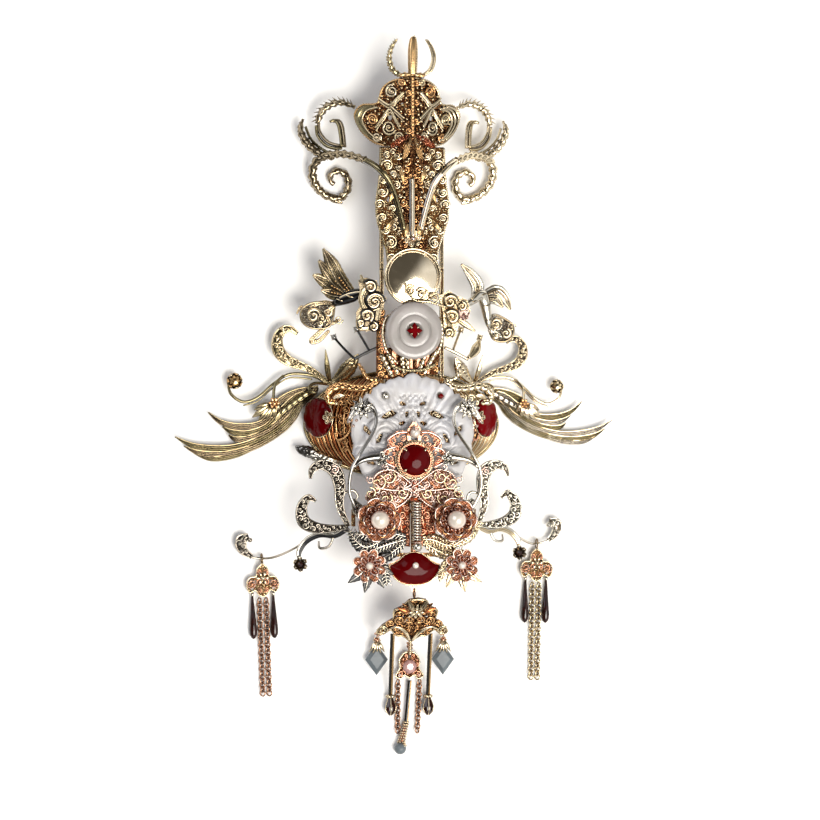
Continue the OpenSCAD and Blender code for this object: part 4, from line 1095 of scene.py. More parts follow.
@dataclass
class Cage:
    """The ribbed dome over the hair bun, its rim, its gold stars and its side stones."""

    reach: float = 46.0
    pole: float = 24.7
    sink: float = 19.0
    rib_pitch: float = 2.0
    stone_r: float = 8.5
    stone_y: float = 3.0
    stone_x: tuple[float, float] = (36.8, 34.0)

    def height(self, x: float, y: float, off: float) -> float:
        """The dome's height at a place, off millimetres outside it."""
        r = (self.reach + off) * math.sqrt(max(0.0, 1 - (y / (self.pole + off)) ** 2))
        return math.sqrt(max(0.0, r * r - x * x)) - self.sink

    def span(self, lie: float, off: float) -> list[Row]:
        """Points along a rib at an angle about the dome's long axis, from the rim to the rim.

        Args:
            lie: the angle, in radians.
            off: how far it stands off the dome.

        Returns:
            The points.
        """
        r = self.reach + off
        end = math.acos(min(1.0, (self.sink + 0.6) / (r * math.cos(lie))))
        arc = [(r * math.cos(a), (self.pole + off) * math.sin(a)) for a in end * (np.arange(17) / 8 - 1)]
        return [(out * math.sin(lie), y, out * math.cos(lie) - self.sink) for out, y in arc]

    def shell(self, pen: Pen) -> None:
        """Draws the thin shell under the ribs.

        Args:
            pen: draws the piece.
        """
        last = math.acos((self.sink + 0.8) / self.reach)
        lies = np.linspace(-last, last, 40)
        pen.use(COPPER).skin(np.array([self.span(lie, -0.95) + self.span(lie, -0.35)[::-1] for lie in lies]))

    def ribs(self, pen: Pen, side: Side) -> None:
        """Draws one side's close-set ribs, finer where they meet, every second one raised and brighter; near
        the middle, under the plaque's openings, paler finishes paint light.

        Args:
            pen: draws the piece.
            side: the side that it is on.
        """
        outer = side.pick((COPPER, WARM), (BRONZE, PALE))
        last = math.acos((self.sink + 1.4) / self.reach)
        count = int(last * self.reach / self.rib_pitch)
        for k in range(count + 1):
            lie = side.value * last * (k + side.pick(0.0, 0.5)) / (count + 0.5)
            rows = [(x, y, z + 0.35 * (k % 2), 0.55 + 1.0 * (1 - abs(i / 8 - 1) ** 2))
                for i, (x, y, z) in enumerate(self.span(lie, 0.05))]
            # near the middle the ribs lie in the plaque's shade, and their paler finishes there are painted
            # light
            pen.use((outer if abs(lie) > 0.55 else (WARM, PALE))[k % 2]).wire(rows)

    def rim(self, pen: Pen) -> None:
        """Draws the flat rim that lies on the head, with a roped edge.

        Args:
            pen: draws the piece.
        """
        a = math.sqrt(self.reach**2 - self.sink**2)
        b = self.pole * a / self.reach
        section = [(1.2, 0.0), (1.2, 1.5), (-1.3, 1.5), (-1.3, 0.0)]
        pen.use(OLIVE).skin(np.array([[((a + o) * c, (b + o) * s, z) for o, z in section]
            for c, s in circle(1.0, 96)]), join=True)
        edge = [((a + 0.7) * c, (b + 0.7) * s, 1.5, 0.9) for c, s in circle(1.0, 60, end=6.15, last=True)]
        pen.wire(edge, Wire.ROPE, join=True)

    def site(self, side: Side, along: float, off: float) -> tuple[Matrix, ...]:
        """Where something sits by a side stone, along towards the dome's middle and off outside it.

        Args:
            side: the side that it is on.
            along: how far it lies towards the dome's middle.
            off: how far it lies outside the dome.

        Returns:
            The steps that take a pen there.
        """
        reach = self.reach * math.sqrt(1 - (self.stone_y / self.pole) ** 2)
        tilt = turn(math.degrees(math.asin(side.pick(*self.stone_x) / reach)), "Y")
        return on_side(side), move(0, self.stone_y, -self.sink), tilt, move(-along, 0, self.reach + off)

    def trim(self, pen: Pen, side: Side) -> None:
        """Draws the filigree scrolls and the beaded arch between the ribs and the plaque.

        Args:
            pen: draws the piece.
            side: the side that it is on.
        """
        edge = [(20, -12), (24, -14.5), (29.5, -11), (31, -3), (30.5, 6), (27.5, 12.5), (22, 14), (19, 6)]
        for k, (x, y, r) in enumerate(packed(edge, 2.8, 1.0, 5)):
            rows = spiral(x, y, 0, r, (1 if k % 2 else -1) * (1.1 + 0.3 * r), 50 * k, 0.6)
            pen.wire([(side.value * a, b, self.height(a, b, 0.9), w) for a, b, _, w in rows], sides=5)
            pen.grains([(side.value * x, y, self.height(x, y, 1.2))], min(1.1, r))
        if side is Side.LEFT:
            leaf = [(-27, -16.6, 5.6, 1.6), (-32, -15.8, 6.6, 4.8), (-38.5, -13.6, 6, 5.2),
                (-42.5, -11.4, 5.4, 0.8)]
            dark = [(-36.6, -13.8, 6.5, 1.6), (-40.6, -12.2, 6.4, 5.2), (-45, -10.8, 5.6, 4.2),
                (-47.2, -9.4, 5, 0.7)]
            pen.use(SILVER).blade(leaf, 0.5, 0.7, 1, 0.3, 0.12, 2.0, 0.25)
            pen.use(BLACK).blade(dark, 0.4, 0.7, 1, 0.3, 0.12, 2.0, 0.25)
            pen.use(WARM)
        arch = [(31.6, -3.4), (30.4, -6.6), (27.4, -5.2), (25.6, -1.4), (27.6, 1.8)]
        pen.wire([(side.value * x, y, self.height(x, y, 1.5), 1.1) for x, y in arch], Wire.BEADED, sides=7)

    def build(self, shop: Workshop) -> None:
        """Builds the cage and its stones.

        Args:
            shop: makes the pieces.
        """
        pen, r = Pen(), self.stone_r
        self.shell(pen)
        for side in Side:
            self.ribs(pen, side)
        self.rim(pen)
        for side in Side:
            self.trim(pen.use(side.pick(WARM, ROSE)), side)
            with pen.at(*self.site(side, r + 1.1, -2.4)):
                pen.use(PALE).wire([(0, 0.01, 0, 1.2), (0, 0, 6.8, 1.2)], sides=10)
            for _ in pen.ring(5, *self.site(side, r + 0.8, 3.9)):
                pen.petal(2.7, 1.9, 0.5, PALE, PALE, 0.3)
            with pen.at(*self.site(side, r + 0.8, 3.9)):
                pen.ball(0, 0, 0.7, 1.5, 10)
        shop.make("cage_of_ribs", pen, "rose_gold", "cage")
        for side in Side:
            gem = Pen()
            dome = [(0.6 * r, 0), (0.94 * r, 0.3), (r, 1.2), (0.95 * r, 2.0), (0.8 * r, 2.7), (0.55 * r, 3.1),
                (0.25 * r, 3.3), (0.02, 3.35)]
            with gem.at(*self.site(side, 0, 0.3)):
                # the left stone's darker red is painted shade and the right stone's brighter crimson painted
                # light
                gem.use(side.pick(RED, CRIMSON)).turned(dome, 90, 9, 0.1)
                gem.use(PALE).wire(circle(r, 30, 0.35, 0.6, end=6.1, last=True), join=True)
            shop.make(f"side_stone_{side.word}_lobed", gem, "red_stone", f"side_stone_{side.word}")


@dataclass
class Head:
    """The folded filigree top, the three prongs over it and the pierced spine below it."""

    roof_z: float = 27.0
    roof_tilt: float = 30.0
    spine_top: float = 28.1

    def roof(self, pen: Pen) -> None:
        """Draws both slopes of the head: grained sheet, pointed arches, bosses, lobes, and a fan below.

        Args:
            pen: draws the piece.
        """
        outline = [(0.6, 149.0), (8.3, 147.6), (13.0, 144.3), (15.4, 138.2), (22.4, 137.4), (25.6, 133.4),
            (22.9, 126.9), (17.5, 122.0), (12.0, 120.0), (0.6, 120.0)]
        arches = [[(15.8, 127.6, 1.0), (12.6, 131.6, 1.4), (9.2, 135.4, 1.6), (6.6, 131.6, 1.4),
            (4.4, 127.8, 1.0)],
            [(14.6, 140.6, 0.9), (9.2, 137.2, 1.6), (5.8, 140, 1.7), (2.6, 142.8, 1.2)],
            [(9.2, 137.2, 1.4), (6, 134.4, 1.3), (2.6, 131.4, 1.0)]]
        rings = [(9.6, 127.6, 3.2), (8.4, 143.2, 2.8), (17.2, 131.2, 2.5), (5.2, 123.4, 2.3),
            (15.2, 123.6, 2.0),
            (3.6, 147, 1.6)]
        lobe = [(17.4, 137, 1.8, 1), (22.6, 135.6, 1.8, 3.4), (24.4, 131.6, 1.8, 4), (21.6, 126.6, 1.8, 3.4),
            (17, 122.8, 1.8, 1)]
        gaps = [circle(r, 12, x=x, y=y, end=5.7, last=True)
            for x, y, r in ((9.2, 131.9, 1.2), (21.2, 129.4, 0.9), (4.0, 137.2, 1.0), (12.4, 138.2, 0.9))]
        dots = [d for d in packed(outline, 1.5, 0.75, 3)
            if all(math.dist(d[:2], r[:2]) > r[2] for r in rings)]
        for side in pen.both(move(0, 0, self.roof_z), turn(self.roof_tilt, "Y")):
            pen.use(UMBER).relief(outline, gaps, 1.15, 1.45, 1.6)
            pen.use(CHAMPAGNE).grains([(x, y, 1.65) for x, y, _ in dots], 1.4)
            pen.scrolls(packed(outline, 1.5, 1.2, 3)[::3], 1.9, 0.7, 1.0)
            pen.use(side.pick(CHAMPAGNE, PALE))
            for rows in arches:
                for drop, wide in ((0, 1), (1.3, 0.55)):
                    pen.wire([(x, y - drop, 2.2, w * wide) for x, y, w in rows])
            for k, (x, y, r) in enumerate(rings):
                pen.use(side.pick((CHAMPAGNE, PALE, WARM), (PALE, WARM, CHAMPAGNE))[k % 3])
                pen.wire(spiral(x, y, 2.0, r, (-1) ** k * 1.9, 200 - 100 * k, 1.2), Wire.ROPE)
                pen.grains([(x, y, 2.4)], 1.5)
            pen.use(side.pick(BRONZE, PALE)).wire(flat(outline[:-1], 1.4, 1.1), Wire.ROPE)
            if side is Side.RIGHT:
                for k in range(3):
                    pen.wire([(x - 1.9 * k, y - 0.5 * k, 2.3, 1.2) for x, y, _, _ in lobe], sides=8)
            else:
                pen.use(GREY_GILT).blade(shifted(lobe, -0.6, wide=0.85), 0.6, 0.8, 2, 0.4)
                pen.use(CHAMPAGNE).wire([(x - 2.6, y - 0.6, 2.3, 0.9) for x, y, _, _ in lobe], Wire.ROPE)
        pen.use(WARM).wire([(0, y, 28.9, 1.6) for y in (116, 130, 140, 149)], Wire.BEADED, sides=8)
        for k in range(7):
            pen.scrolls([(1.6 * (-1) ** k, 122 + 4.1 * k, 1.4)], 29.0, 0.6, 1.1)
        for k in range(-3, 4):
            tip = 13.4 - 0.7 * abs(k)
            with pen.at(move(0, 124.6, 28.7 + 0.15 * (3 - abs(k))), turn(-90 + 20 * k)):
                leaf = [(1, 0, 0, 1.6), (5, 0, 0.7, 3.8), (9.4, 0, 0.5, 2.8), (tip, 0, 0.2, 0.4)]
                pen.use((UMBER, BRONZE, UMBER, SHOT_ROSE)[abs(k)])
                pen.blade(leaf, 0.5, 0.8, 3, 0.5, 0.2, 1.6, 0.2, 0.5)
                pen.use(PALE).grains([(tip - 0.6, 1.2, 0.8), (tip - 2.8, -1.9, 0.8), (4.4, 1.9, 1.0)], 1.2)

    def prongs(self, pen: Pen) -> None:
        """Draws the three prongs on top.

        Args:
            pen: draws the piece.
        """
        horn = [(4.4, 149.8, 26.6, 2.4), (8.2, 152.4, 26.4, 3.0), (9.7, 157.4, 26.4, 2.7),
            (8.6, 162, 26.6, 2.1),
            (6.3, 165.6, 27, 0.9)]
        with pen.at(on_side(Side.LEFT)):
            pen.use(OLIVE).wire(shifted(horn, wide=0.8), Wire.ROPE, sides=8)
            pen.barbs(horn, 1.1, 0.7, 0.7, 1)
        for shift, tone in ((-0.6, PALE), (0, BROWN_GILT), (0.6, PALE)):
            pen.use(tone).wire(shifted(horn, shift, wide=0.42), sides=8)
        blade = [(0, 150.2, 28.2, 3.6), (0.1, 155.6, 28.4, 4.2), (0.2, 161.4, 28.4, 4.2),
            (0.3, 165.4, 28.4, 3),
            (0.3, 166.6, 28.4, 1.2)]
        pen.use(BRONZE).blade(blade, 0.8, 0.9, 1, 0.2)
        pen.use(PALE).grains_along([(x + 0.4 * w, y, z, w) for x, y, z, w in blade], 1.1, 1.05, 0.5)
        pen.use(BRONZE).wire([(-5.4, 149.9, 27, 2), (0, 150.3, 27.8, 2.2), (5.4, 149.9, 27, 2)], Wire.ROPE,
            sides=8)

    def spine(self, pen: Pen) -> None:
        """Draws the spine's filigree, with spirals that stand out along its edges.

        Args:
            pen: draws the piece.
        """
        edge = [(13.8, 118.4), (14.3, 106), (15.7, 94.8), (14.9, 86.2), (11.3, 75), (10.4, 67)]
        outline = [(0.1, 118.4), *edge, (0.1, 67)]
        middle = [(0.1, 118), (7, 117.6), (5.6, 104), (3.4, 84), (0.1, 82)]
        rings = [(10.9, 111, 2.8), (12.6, 105, 2.1), (13.2, 99.8, 2.5), (14.6, 94.4, 2.5), (13.1, 88.6, 2.6),
            (11.6, 83.6, 2), (9.6, 78, 3.1), (9.2, 71, 2.3), (6.4, 115.4, 1.9), (5.2, 72.4, 1.7),
            (8.6, 92.6, 1.7)]
        leaves = [(3.2, 116, -84), (5.4, 110, -104), (2.4, 102.6, -84), (7.4, 101, -64), (3.0, 92.6, -92),
            (8.4, 88, -54), (5.8, 80.4, -98), (2.2, 86.4, -80)]
        beads = [(2.2, 113), (5.0, 105), (3.6, 97), (6.8, 89), (4.4, 80)]
        slots = ((8.2, 106.8, 1.4), (5.2, 97.4, 1.3), (10.4, 97.2, 1.1), (7.2, 84.2, 1.3), (12.4, 76.8, 0.9),
            (11.2, 115.8, 1.1))
        holes = [[(x + c, y + 1.5 * s) for c, s in circle(r, 14, end=5.7, last=True)] for x, y, r in slots]
        sites = [t for t in packed(outline, 2.2, 0.85, 8)
            if all(math.dist(t[:2], r[:2]) > r[2] + 0.5 * t[2] for r in rings)]
        top = self.spine_top
        for side in pen.both():
            pen.use(SHOT).relief(outline, holes, top + 0.05, top + 0.3, 1.6)
            pen.use(UMBER).relief(middle, [], top + 0.3, top + 0.55, 1.8)
            for k, (x, y, degrees) in enumerate(leaves):
                with pen.at(move(x, y, top + 0.7), turn(degrees)):
                    leaf = [(0, 0, 0, 1), (3, 0, 0.5, 2.8), (6.6, 0, 0.2, 0.4)]
                    pen.use(BRONZE if k % 2 else UMBER).blade(leaf, 0.4, 0.6, 1, 0.3, 0.15)
            pen.use(PALE).scrolls([t for t in sites if t[0] > 5], top + 0.75, 0.75, 1.2)
            pen.use(WARM).scrolls([t for t in sites if t[0] <= 5], top + 0.75, 0.75, 1.2)
            pen.use(side.pick(OLIVE, PALE)).wire(flat(edge, top + 0.2, 0.9), Wire.ROPE)
            pen.use(side.pick(CHAMPAGNE, PALE))
            for k, (x, y, r) in enumerate(rings):
                for share, wide in ((1.0, 1.05), (0.5, 0.8)):
                    pen.wire(spiral(x, y, top + 1.0, r * share, 1.2 * (-1) ** k, 70 * k, wide))
                pen.grains([(x, y, top + 1.2)], 1.3)
            pen.grains_along(flat(beads, top + 1.1, 1), 1.5, 2.3)
            for x in (12.6, 13.6):
                pen.wire([(x, 119, 27.1, 0.6), (x, 66.8, 27.1, 0.6)])

    def rods(self, pen: Pen) -> None:
        """Draws the middle rod and the small flower that the three rods meet in.

        Args:
            pen: draws the piece.
        """
        rod = [(0, 105.7, 29.6, 1.6), (0, 92, 29.7, 1.8), (0, 80.5, 29.7, 2)]
        # the black wire below and to the left of the polished rod is painted shade
        for shift, tone in ((-0.8, BLACK), (0, MIRROR)):
            pen.use(tone).wire(shifted(rod, shift, 0, shift), sides=12)
        for _ in pen.ring(6, move(0, 79.7, 28.9), start=15):
            pen.petal(3.5, 2.3, 0.5, PALE, PALE, 0.3)
        pen.use(BLUSH).ball(0, 79.7, 30.1, 2.2)

    def build(self, shop: Workshop) -> None:
        """Builds the top of the crown.

        Args:
            shop: makes the pieces.
        """
        shop.dress(SHOT, "head", "spine")
        shop.draw(self.roof, "head_filigree", "rose_gold")
        shop.draw(self.prongs, "finial_prongs", "pale_gold", "finial")
        shop.draw(self.spine, "spine_filigree", "rose_gold")
        shop.draw(self.rods, "rod_and_flower", "pale_gold", "spine_flower")


@dataclass
class Branch:
    """A polished rod that turns into roped and barbed scrolls beside the head."""

    side: Side
    rod: Rows = ((3.8, 83.4, 29.5, 1.6), (4.8, 88, 29.5, 1.7), (9.2, 102.4, 29.5, 1.8),
        (14.4, 109.4, 29.4, 2),
        (20, 113.6, 24.6, 2.2))
    stem: Rows = ((20, 113.6, 24.6, 2.2), (27.3, 116.3, 18, 2.3), (33.2, 116.3, 12, 2.4),
        (37.8, 114.3, 8, 2.5),
        (39.8, 110, 5.4, 2.6), (38.8, 104.8, 3.8, 2.6), (35.2, 100.4, 2.6, 2.4), (30.4, 98, 2.2, 2.3),
        (26.4, 98.6, 2.1, 2.3), (23.8, 102.2, 2.1, 2.3), (24, 107, 2.1, 2.2), (27.2, 109.7, 2.1, 2.1),
        (30.6, 108.8, 2.1, 1.9), (31.6, 105.8, 2.1, 1.6), (29.8, 104, 2.1, 1.3))
    comb: Rows = ((22.4, 136.9, 12.6, 1.1), (28.4, 139, 10, 1.9), (33.8, 137.3, 8.6, 2.2),
        (36.8, 133.9, 8, 2.1),
        (37.9, 130, 7, 1.7))
    inner: Rows = ((37.9, 130, 7, 1.3), (37.4, 125.7, 7, 1.4), (34.3, 121.4, 9, 1.5), (30.3, 119.8, 11, 1.5),
        (27.4, 119.9, 12, 1.2))
    hook: Rows = ((27.4, 119.6, 12, 1.4), (27.7, 124.4, 11, 1.5), (28.4, 129.2, 10, 1.6),
        (29.9, 131.3, 9, 1.5),
        (32.1, 130.7, 9, 1.2))
    crescent: Rows = ((44, 132, 6, 0.7), (45.2, 127.5, 6.4, 1.9), (43.1, 122.3, 7, 2.4),
        (39.3, 118.4, 8, 2.4),
        (35.3, 116, 9.6, 2.2), (31.1, 115.6, 11, 2))
    leaf: Rows = ((32, 98.8, 2.6, 2.0), (29, 97.4, 2.4, 2.4), (26.2, 95.8, 2.2, 0.5))

    def build(self, shop: Workshop) -> None:
        """Builds the branch.

        Args:
            shop: makes the pieces.
        """
        pen, side = Pen(), self.side
        rod, stem, comb, inner, hook, crescent, leaf = [shifted(rows, wide=1.36) for rows in (self.rod,
            self.stem, self.comb, self.inner, self.hook, self.crescent, self.leaf)]
        # the left branch's brown gilt is painted shade and the right's pale gilt painted light
        gold = side.pick(BROWN_GILT, PALE)
        with pen.at(on_side(side)):
            # the black wire below and to the left of the rod is painted shade
            pen.use(BLACK).wire(shifted(rod, side.value * -0.8, 0, -0.8, 0.9), sides=12)
            pen.use(side.pick(GREY_GILT, MIRROR)).wire(shifted(rod, wide=0.9), sides=12)
            pen.use(gold)
            for rows in (stem, comb, crescent):
                pen.wire(rows, Wire.ROPE, sides=8)
            for rows, pitch, length in ((comb, 1.7, 1.9), (stem[2:11], 2.0, 0.9), (crescent, 1.7, 0.9)):
                pen.barbs(rows, pitch, length, 0.9, -1)
            pen.blade(leaf, 0.6, 0.5, 1)
            for shift, tone in ((-0.7, gold), (0.7, side.pick(GREY_GILT, CHAMPAGNE))):
                pen.use(tone).wire(shifted(inner, shift * 0.7, -shift, 0, 0.75))
                pen.wire(shifted(hook, shift, wide=0.75))
            pen.wire([(x - 2.2, y + 1.2, z, 1.2) for x, y, z, _ in crescent[1:5]])
            pen.grains([(31.2, 107, 2.2)], 2.0)
        shop.make(f"branch_{side.word}_roped", pen, "pale_gold", f"branch_{side.word}")


@dataclass
class Discs:
    """The polished disc, the jade ring, its red star and the gold bars behind them."""

    mirror_y: float = 63.4
    mirror_r: float = 12.5
    ring_y: float = 40.2
    ring_r: float = 12.3
    disc_z: float = 28.4
    ring_z: float = 30.5

    def mirror(self, pen: Pen) -> None:
        """Draws the domed mirror disc and its raised rim.

        Args:
            pen: draws the piece.
        """
        r = self.mirror_r
        dome = [(r - 1.5 - 0.96 * k, 1.0 + 1.5 * math.sin(k / 11 * math.pi / 2)) for k in range(12)]
        with pen.at(move(0, self.mirror_y, self.disc_z)):
            pen.use(MIRROR).turned([(0.1, 0), (r - 0.4, 0), (r - 0.2, 0.8), (r - 1.2, 1.0)] + dome, 96)
            pen.use(PALE)
            for inset, width, height in ((0.55, 1.15, 1.1), (1.75, 0.5, 1.15)):
                pen.wire(circle(r - inset, 40, height, width, end=6.1, last=True), sides=8, join=True)

    def jade(self, pen: Pen) -> None:
        """Draws the jade ring with its turned steps.

        Args:
            pen: draws the piece.
        """
        r = self.ring_r
        steps = [(2.2, 0), (r - 0.4, 0), (r, 0.6), (r, 2.1), (r - 0.5, 2.8), (r - 1.4, 3.05), (r - 2.2, 3.1),
            (r - 2.5, 3.1), (7.9, 3.1), (7.5, 3.08), (7.2, 3.0), (6.9, 2.85), (6.6, 3.0), (6.3, 3.08),
            (6.0, 3.1),
            (4.2, 3.1), (3.8, 3.08), (3.2, 2.9), (2.8, 2.45), (2.2, 2.4)]
        with pen.at(move(0, self.ring_y, self.ring_z)):
            pen.use(MILK).turned(steps, 128, join=True)

    def star(self, pen: Pen) -> None:
        """Draws the four-pointed red stone in gold claws.

        Args:
            pen: draws the piece.
        """
        reach = [3.5, 2.4, 1.8, 2.4] * 4
        around = [(r * math.cos(-math.pi * k / 8), r * math.sin(-math.pi * k / 8))
            for k, r in enumerate(reach)]
        levels = ((0.9, 3.25), (1.0, 3.6), (0.62, 4.4), (0.3, 4.4), (0.02, 4.4))
        with pen.at(move(0, self.ring_y, self.ring_z)):
            pen.use(CRIMSON, soft=False).skin(np.array([[(s * x, s * y, z) for x, y in around]
                for s, z in levels]))
            pen.use(PALE).turned([(0.2, 0.4), (2.1, 0.4), (2.1, 3.2), (0.2, 3.3)], 24)
            for _ in pen.ring(4, start=45):
                pen.wire([(2.6, 0, 3.1, 0.8), (2.2, 0, 4.2, 0.8), (1.5, 0, 4.6, 0.4)])

    def backplate(self, pen: Pen) -> None:
        """Draws the roped bars, edge wires and filigree on the plate behind the jade ring.

        Args:
            pen: draws the piece.
        """
        edge = [(7, 47.6, 28.5, 1.5), (11.5, 45.2, 28.5, 1.6), (12.9, 39, 28.5, 1.6), (11.2, 31.8, 28.5, 1.6),
            (6.4, 26, 28.5, 1.3)]
        pen.use(PALE)
        for _ in pen.both():
            pen.wire(edge, Wire.ROPE, sides=8)
            for x in (12.5, 13.7):
                pen.wire([(x, 66.4, 27, 0.7), (x, 20.6, 27, 0.7)])
        for x, y, foot, low in ((-13.4, 29.8, -8.8, 20.6), (-10.8, 30.2, -6.4, 21.8), (-4.6, 30.4, -4.0, 22),
            (-2.2, 30.4, -2.2, 22.8), (5.6, 30.4, 2.8, 22.6), (10.4, 32, 5.0, 21.8)):
            pen.wire([(x, y, 28.7, 2.1), (foot, low, 28.7, 2.1)], Wire.ROPE, sides=8)
        strip = [(-15.4, 50), (-11.6, 49), (-12.6, 40), (-11.4, 33), (12.4, 33), (11.4, 21.6), (-13, 19.4),
            (-15.6, 20.6)]
        pen.use(UMBER).relief(strip, [], 26.9, 27.2, 2)
        sites = [t for t in packed(strip, 1.5, 0.7, 4) if t[0] < -10.6 or t[1] < 27]
        pen.use(WARM).scrolls(sites, 27.4, 0.7, 1.1)
        pen.use(CHAMPAGNE)
        for k, (x, y, r) in enumerate(((-1.4, 57.4, 2.6), (4.0, 56.0, 2.9), (9.2, 54.6, 2.2))):
            pen.wire(spiral(x, y, 31.4, r, 1.7 * (-1) ** k, 40 + 120 * k, 0.9), Wire.ROPE)
            pen.grains([(x, y, 31.6)], 1.3)
        pen.wire([(-3.6, 60.4, 31.2, 1), (0, 53.6, 31.4, 1.1), (7, 52.6, 31, 1.1), (14.6, 50.4, 28.9, 1)],
            Wire.ROPE)
        bar = [(-9.6, 25.6, 29.2, 1.5), (-4, 23.4, 29.6, 1.7), (4, 23.4, 29.6, 1.7), (9.6, 25.6, 29.2, 1.5)]
        pen.use(OLIVE).wire(bar, Wire.BEADED, sides=8)

    def build(self, shop: Workshop) -> None:
        """Builds the discs.

        Args:
            shop: makes the pieces.
        """
        shop.dress(ROSE, "ring_backplate")
        shop.draw(self.mirror, "mirror_disc_turned", "mirror_gold", "mirror_disc")
        shop.draw(self.jade, "jade_ring_turned", "jade", "jade_ring")
        shop.draw(self.star, "ring_stone_star", "red_stone", "ring_stone")
        shop.draw(self.backplate, "backplate_ropes", "rose_gold")


@dataclass
class Clouds:
    """The chased cloud scrolls beside the discs."""

    z: float = 28.0

    def build(self, shop: Workshop) -> None:
        """Builds both clouds.

        Args:
            shop: makes the pieces.
        """
        blades = {Side.LEFT: [[(-14.6, 50.4, 1.8), (-19.4, 49, 2.2), (-22, 53, 2.3), (-20.4, 58, 2.3),
            (-15.8, 59, 2.1), (-14.8, 55, 1.6)], [(-19.6, 49.4, 1.8), (-23, 45.6, 2.1), (-22.6, 41.4, 1.9),
            (-18.8, 41.4, 1.4)], [(-20.4, 58.4, 1.7), (-21.6, 62, 1.4), (-22.4, 64.2, 0.5)],
            [(-14.6, 50.4, 1.8), (-15.8, 45, 1.8), (-17.4, 40.6, 1.2)]],
            Side.RIGHT: [[(14.6, 46.2, 1.8), (19, 45.6, 2.1), (21.2, 49.6, 2.1), (18.6, 53.4, 2),
            (15.4, 52, 1.4)], [(15, 46.2, 1.8), (16.4, 42, 2), (14.8, 37.6, 1.6)],
            [(19, 46, 2), (23.4, 43, 2.4), (27.4, 40.2, 0.6)]]}
        fields = {Side.LEFT: [(-23.4, 62), (-20, 63), (-15.4, 61.6), (-13.8, 57), (-11.2, 54), (-13, 50),
            (-14.2, 45), (-16, 40.6), (-20, 39.8), (-24.4, 42), (-24.4, 48), (-22, 52)],
            Side.RIGHT: [(11.6, 55.4), (16, 57.6), (19, 55.6), (24, 53.6), (25.6, 49), (23.6, 45),
            (20, 43.4), (19, 38), (15, 36.6), (13.8, 41), (13.6, 48)]}
        curls = {Side.LEFT: [(-16.6, 52.6, 3.9), (-18.4, 58.9, 2.6), (-19.9, 46.6, 2.9), (-17, 42, 1.9),
            (-22.8, 43.6, 1.5)], Side.RIGHT: [(16.4, 52.8, 2.9), (17.2, 46.2, 3.0), (15.8, 39.6, 1.8),
            (21.6, 50.8, 1.9)]}
        z = self.z
        for side in Side:
            pen, field_ = Pen(), fields[side]
            for rows in blades[side]:
                placed = [(x, y, z - 0.2, w * 1.3) for x, y, w in rows]
                pen.use(CHAMPAGNE).blade(placed, 0.9, 0.5, 1, 0.3, 0.12, 1.6, spacing=0.4)
            pen.use(side.pick(BROWN_GILT, CHAMPAGNE)).relief(field_, [], z - 0.5, z + 0.1, 1.4)
            # the wider dark spiral under each gold one paints the shade round it
            dark, gold = side.pick((JET, PALE), (BROWN_GILT, CHAMPAGNE))
            pen.use(gold)
            for k, (x, y, r) in enumerate(curls[side]):
                way, start = (-1) ** k, 150 * k
                for tone, lift, reach, wide in ((dark, 0.45, r * 1.12, 2.0), (gold, 0.9, r, 1.3)):
                    pen.use(tone).wire(spiral(x, y, z + lift, reach, 1.5 * way, start, wide), sides=7)
                pen.wire(spiral(x, y, z + 0.6, r * 0.78, 1.2 * way, start, 0.8), Wire.ROPE)
                pen.grains([(x, y, z + 1.1)], 1.5)
            pen.use(SILVER).grains([(x, y, z + 0.5) for x, y, _ in packed(field_, 0.9, 0.75, 9)], 1.0)
            if side is Side.RIGHT:
                for _ in pen.use(ROSE).ring(8, move(22.3, 47.4, z + 0.4)):
                    pen.petal(2.6, 1.5, 0.3, ROSE, BLUSH, 0.2)
            shop.make(f"cloud_{side.word}_chased", pen, "pale_gold", f"cloud_{side.word}")


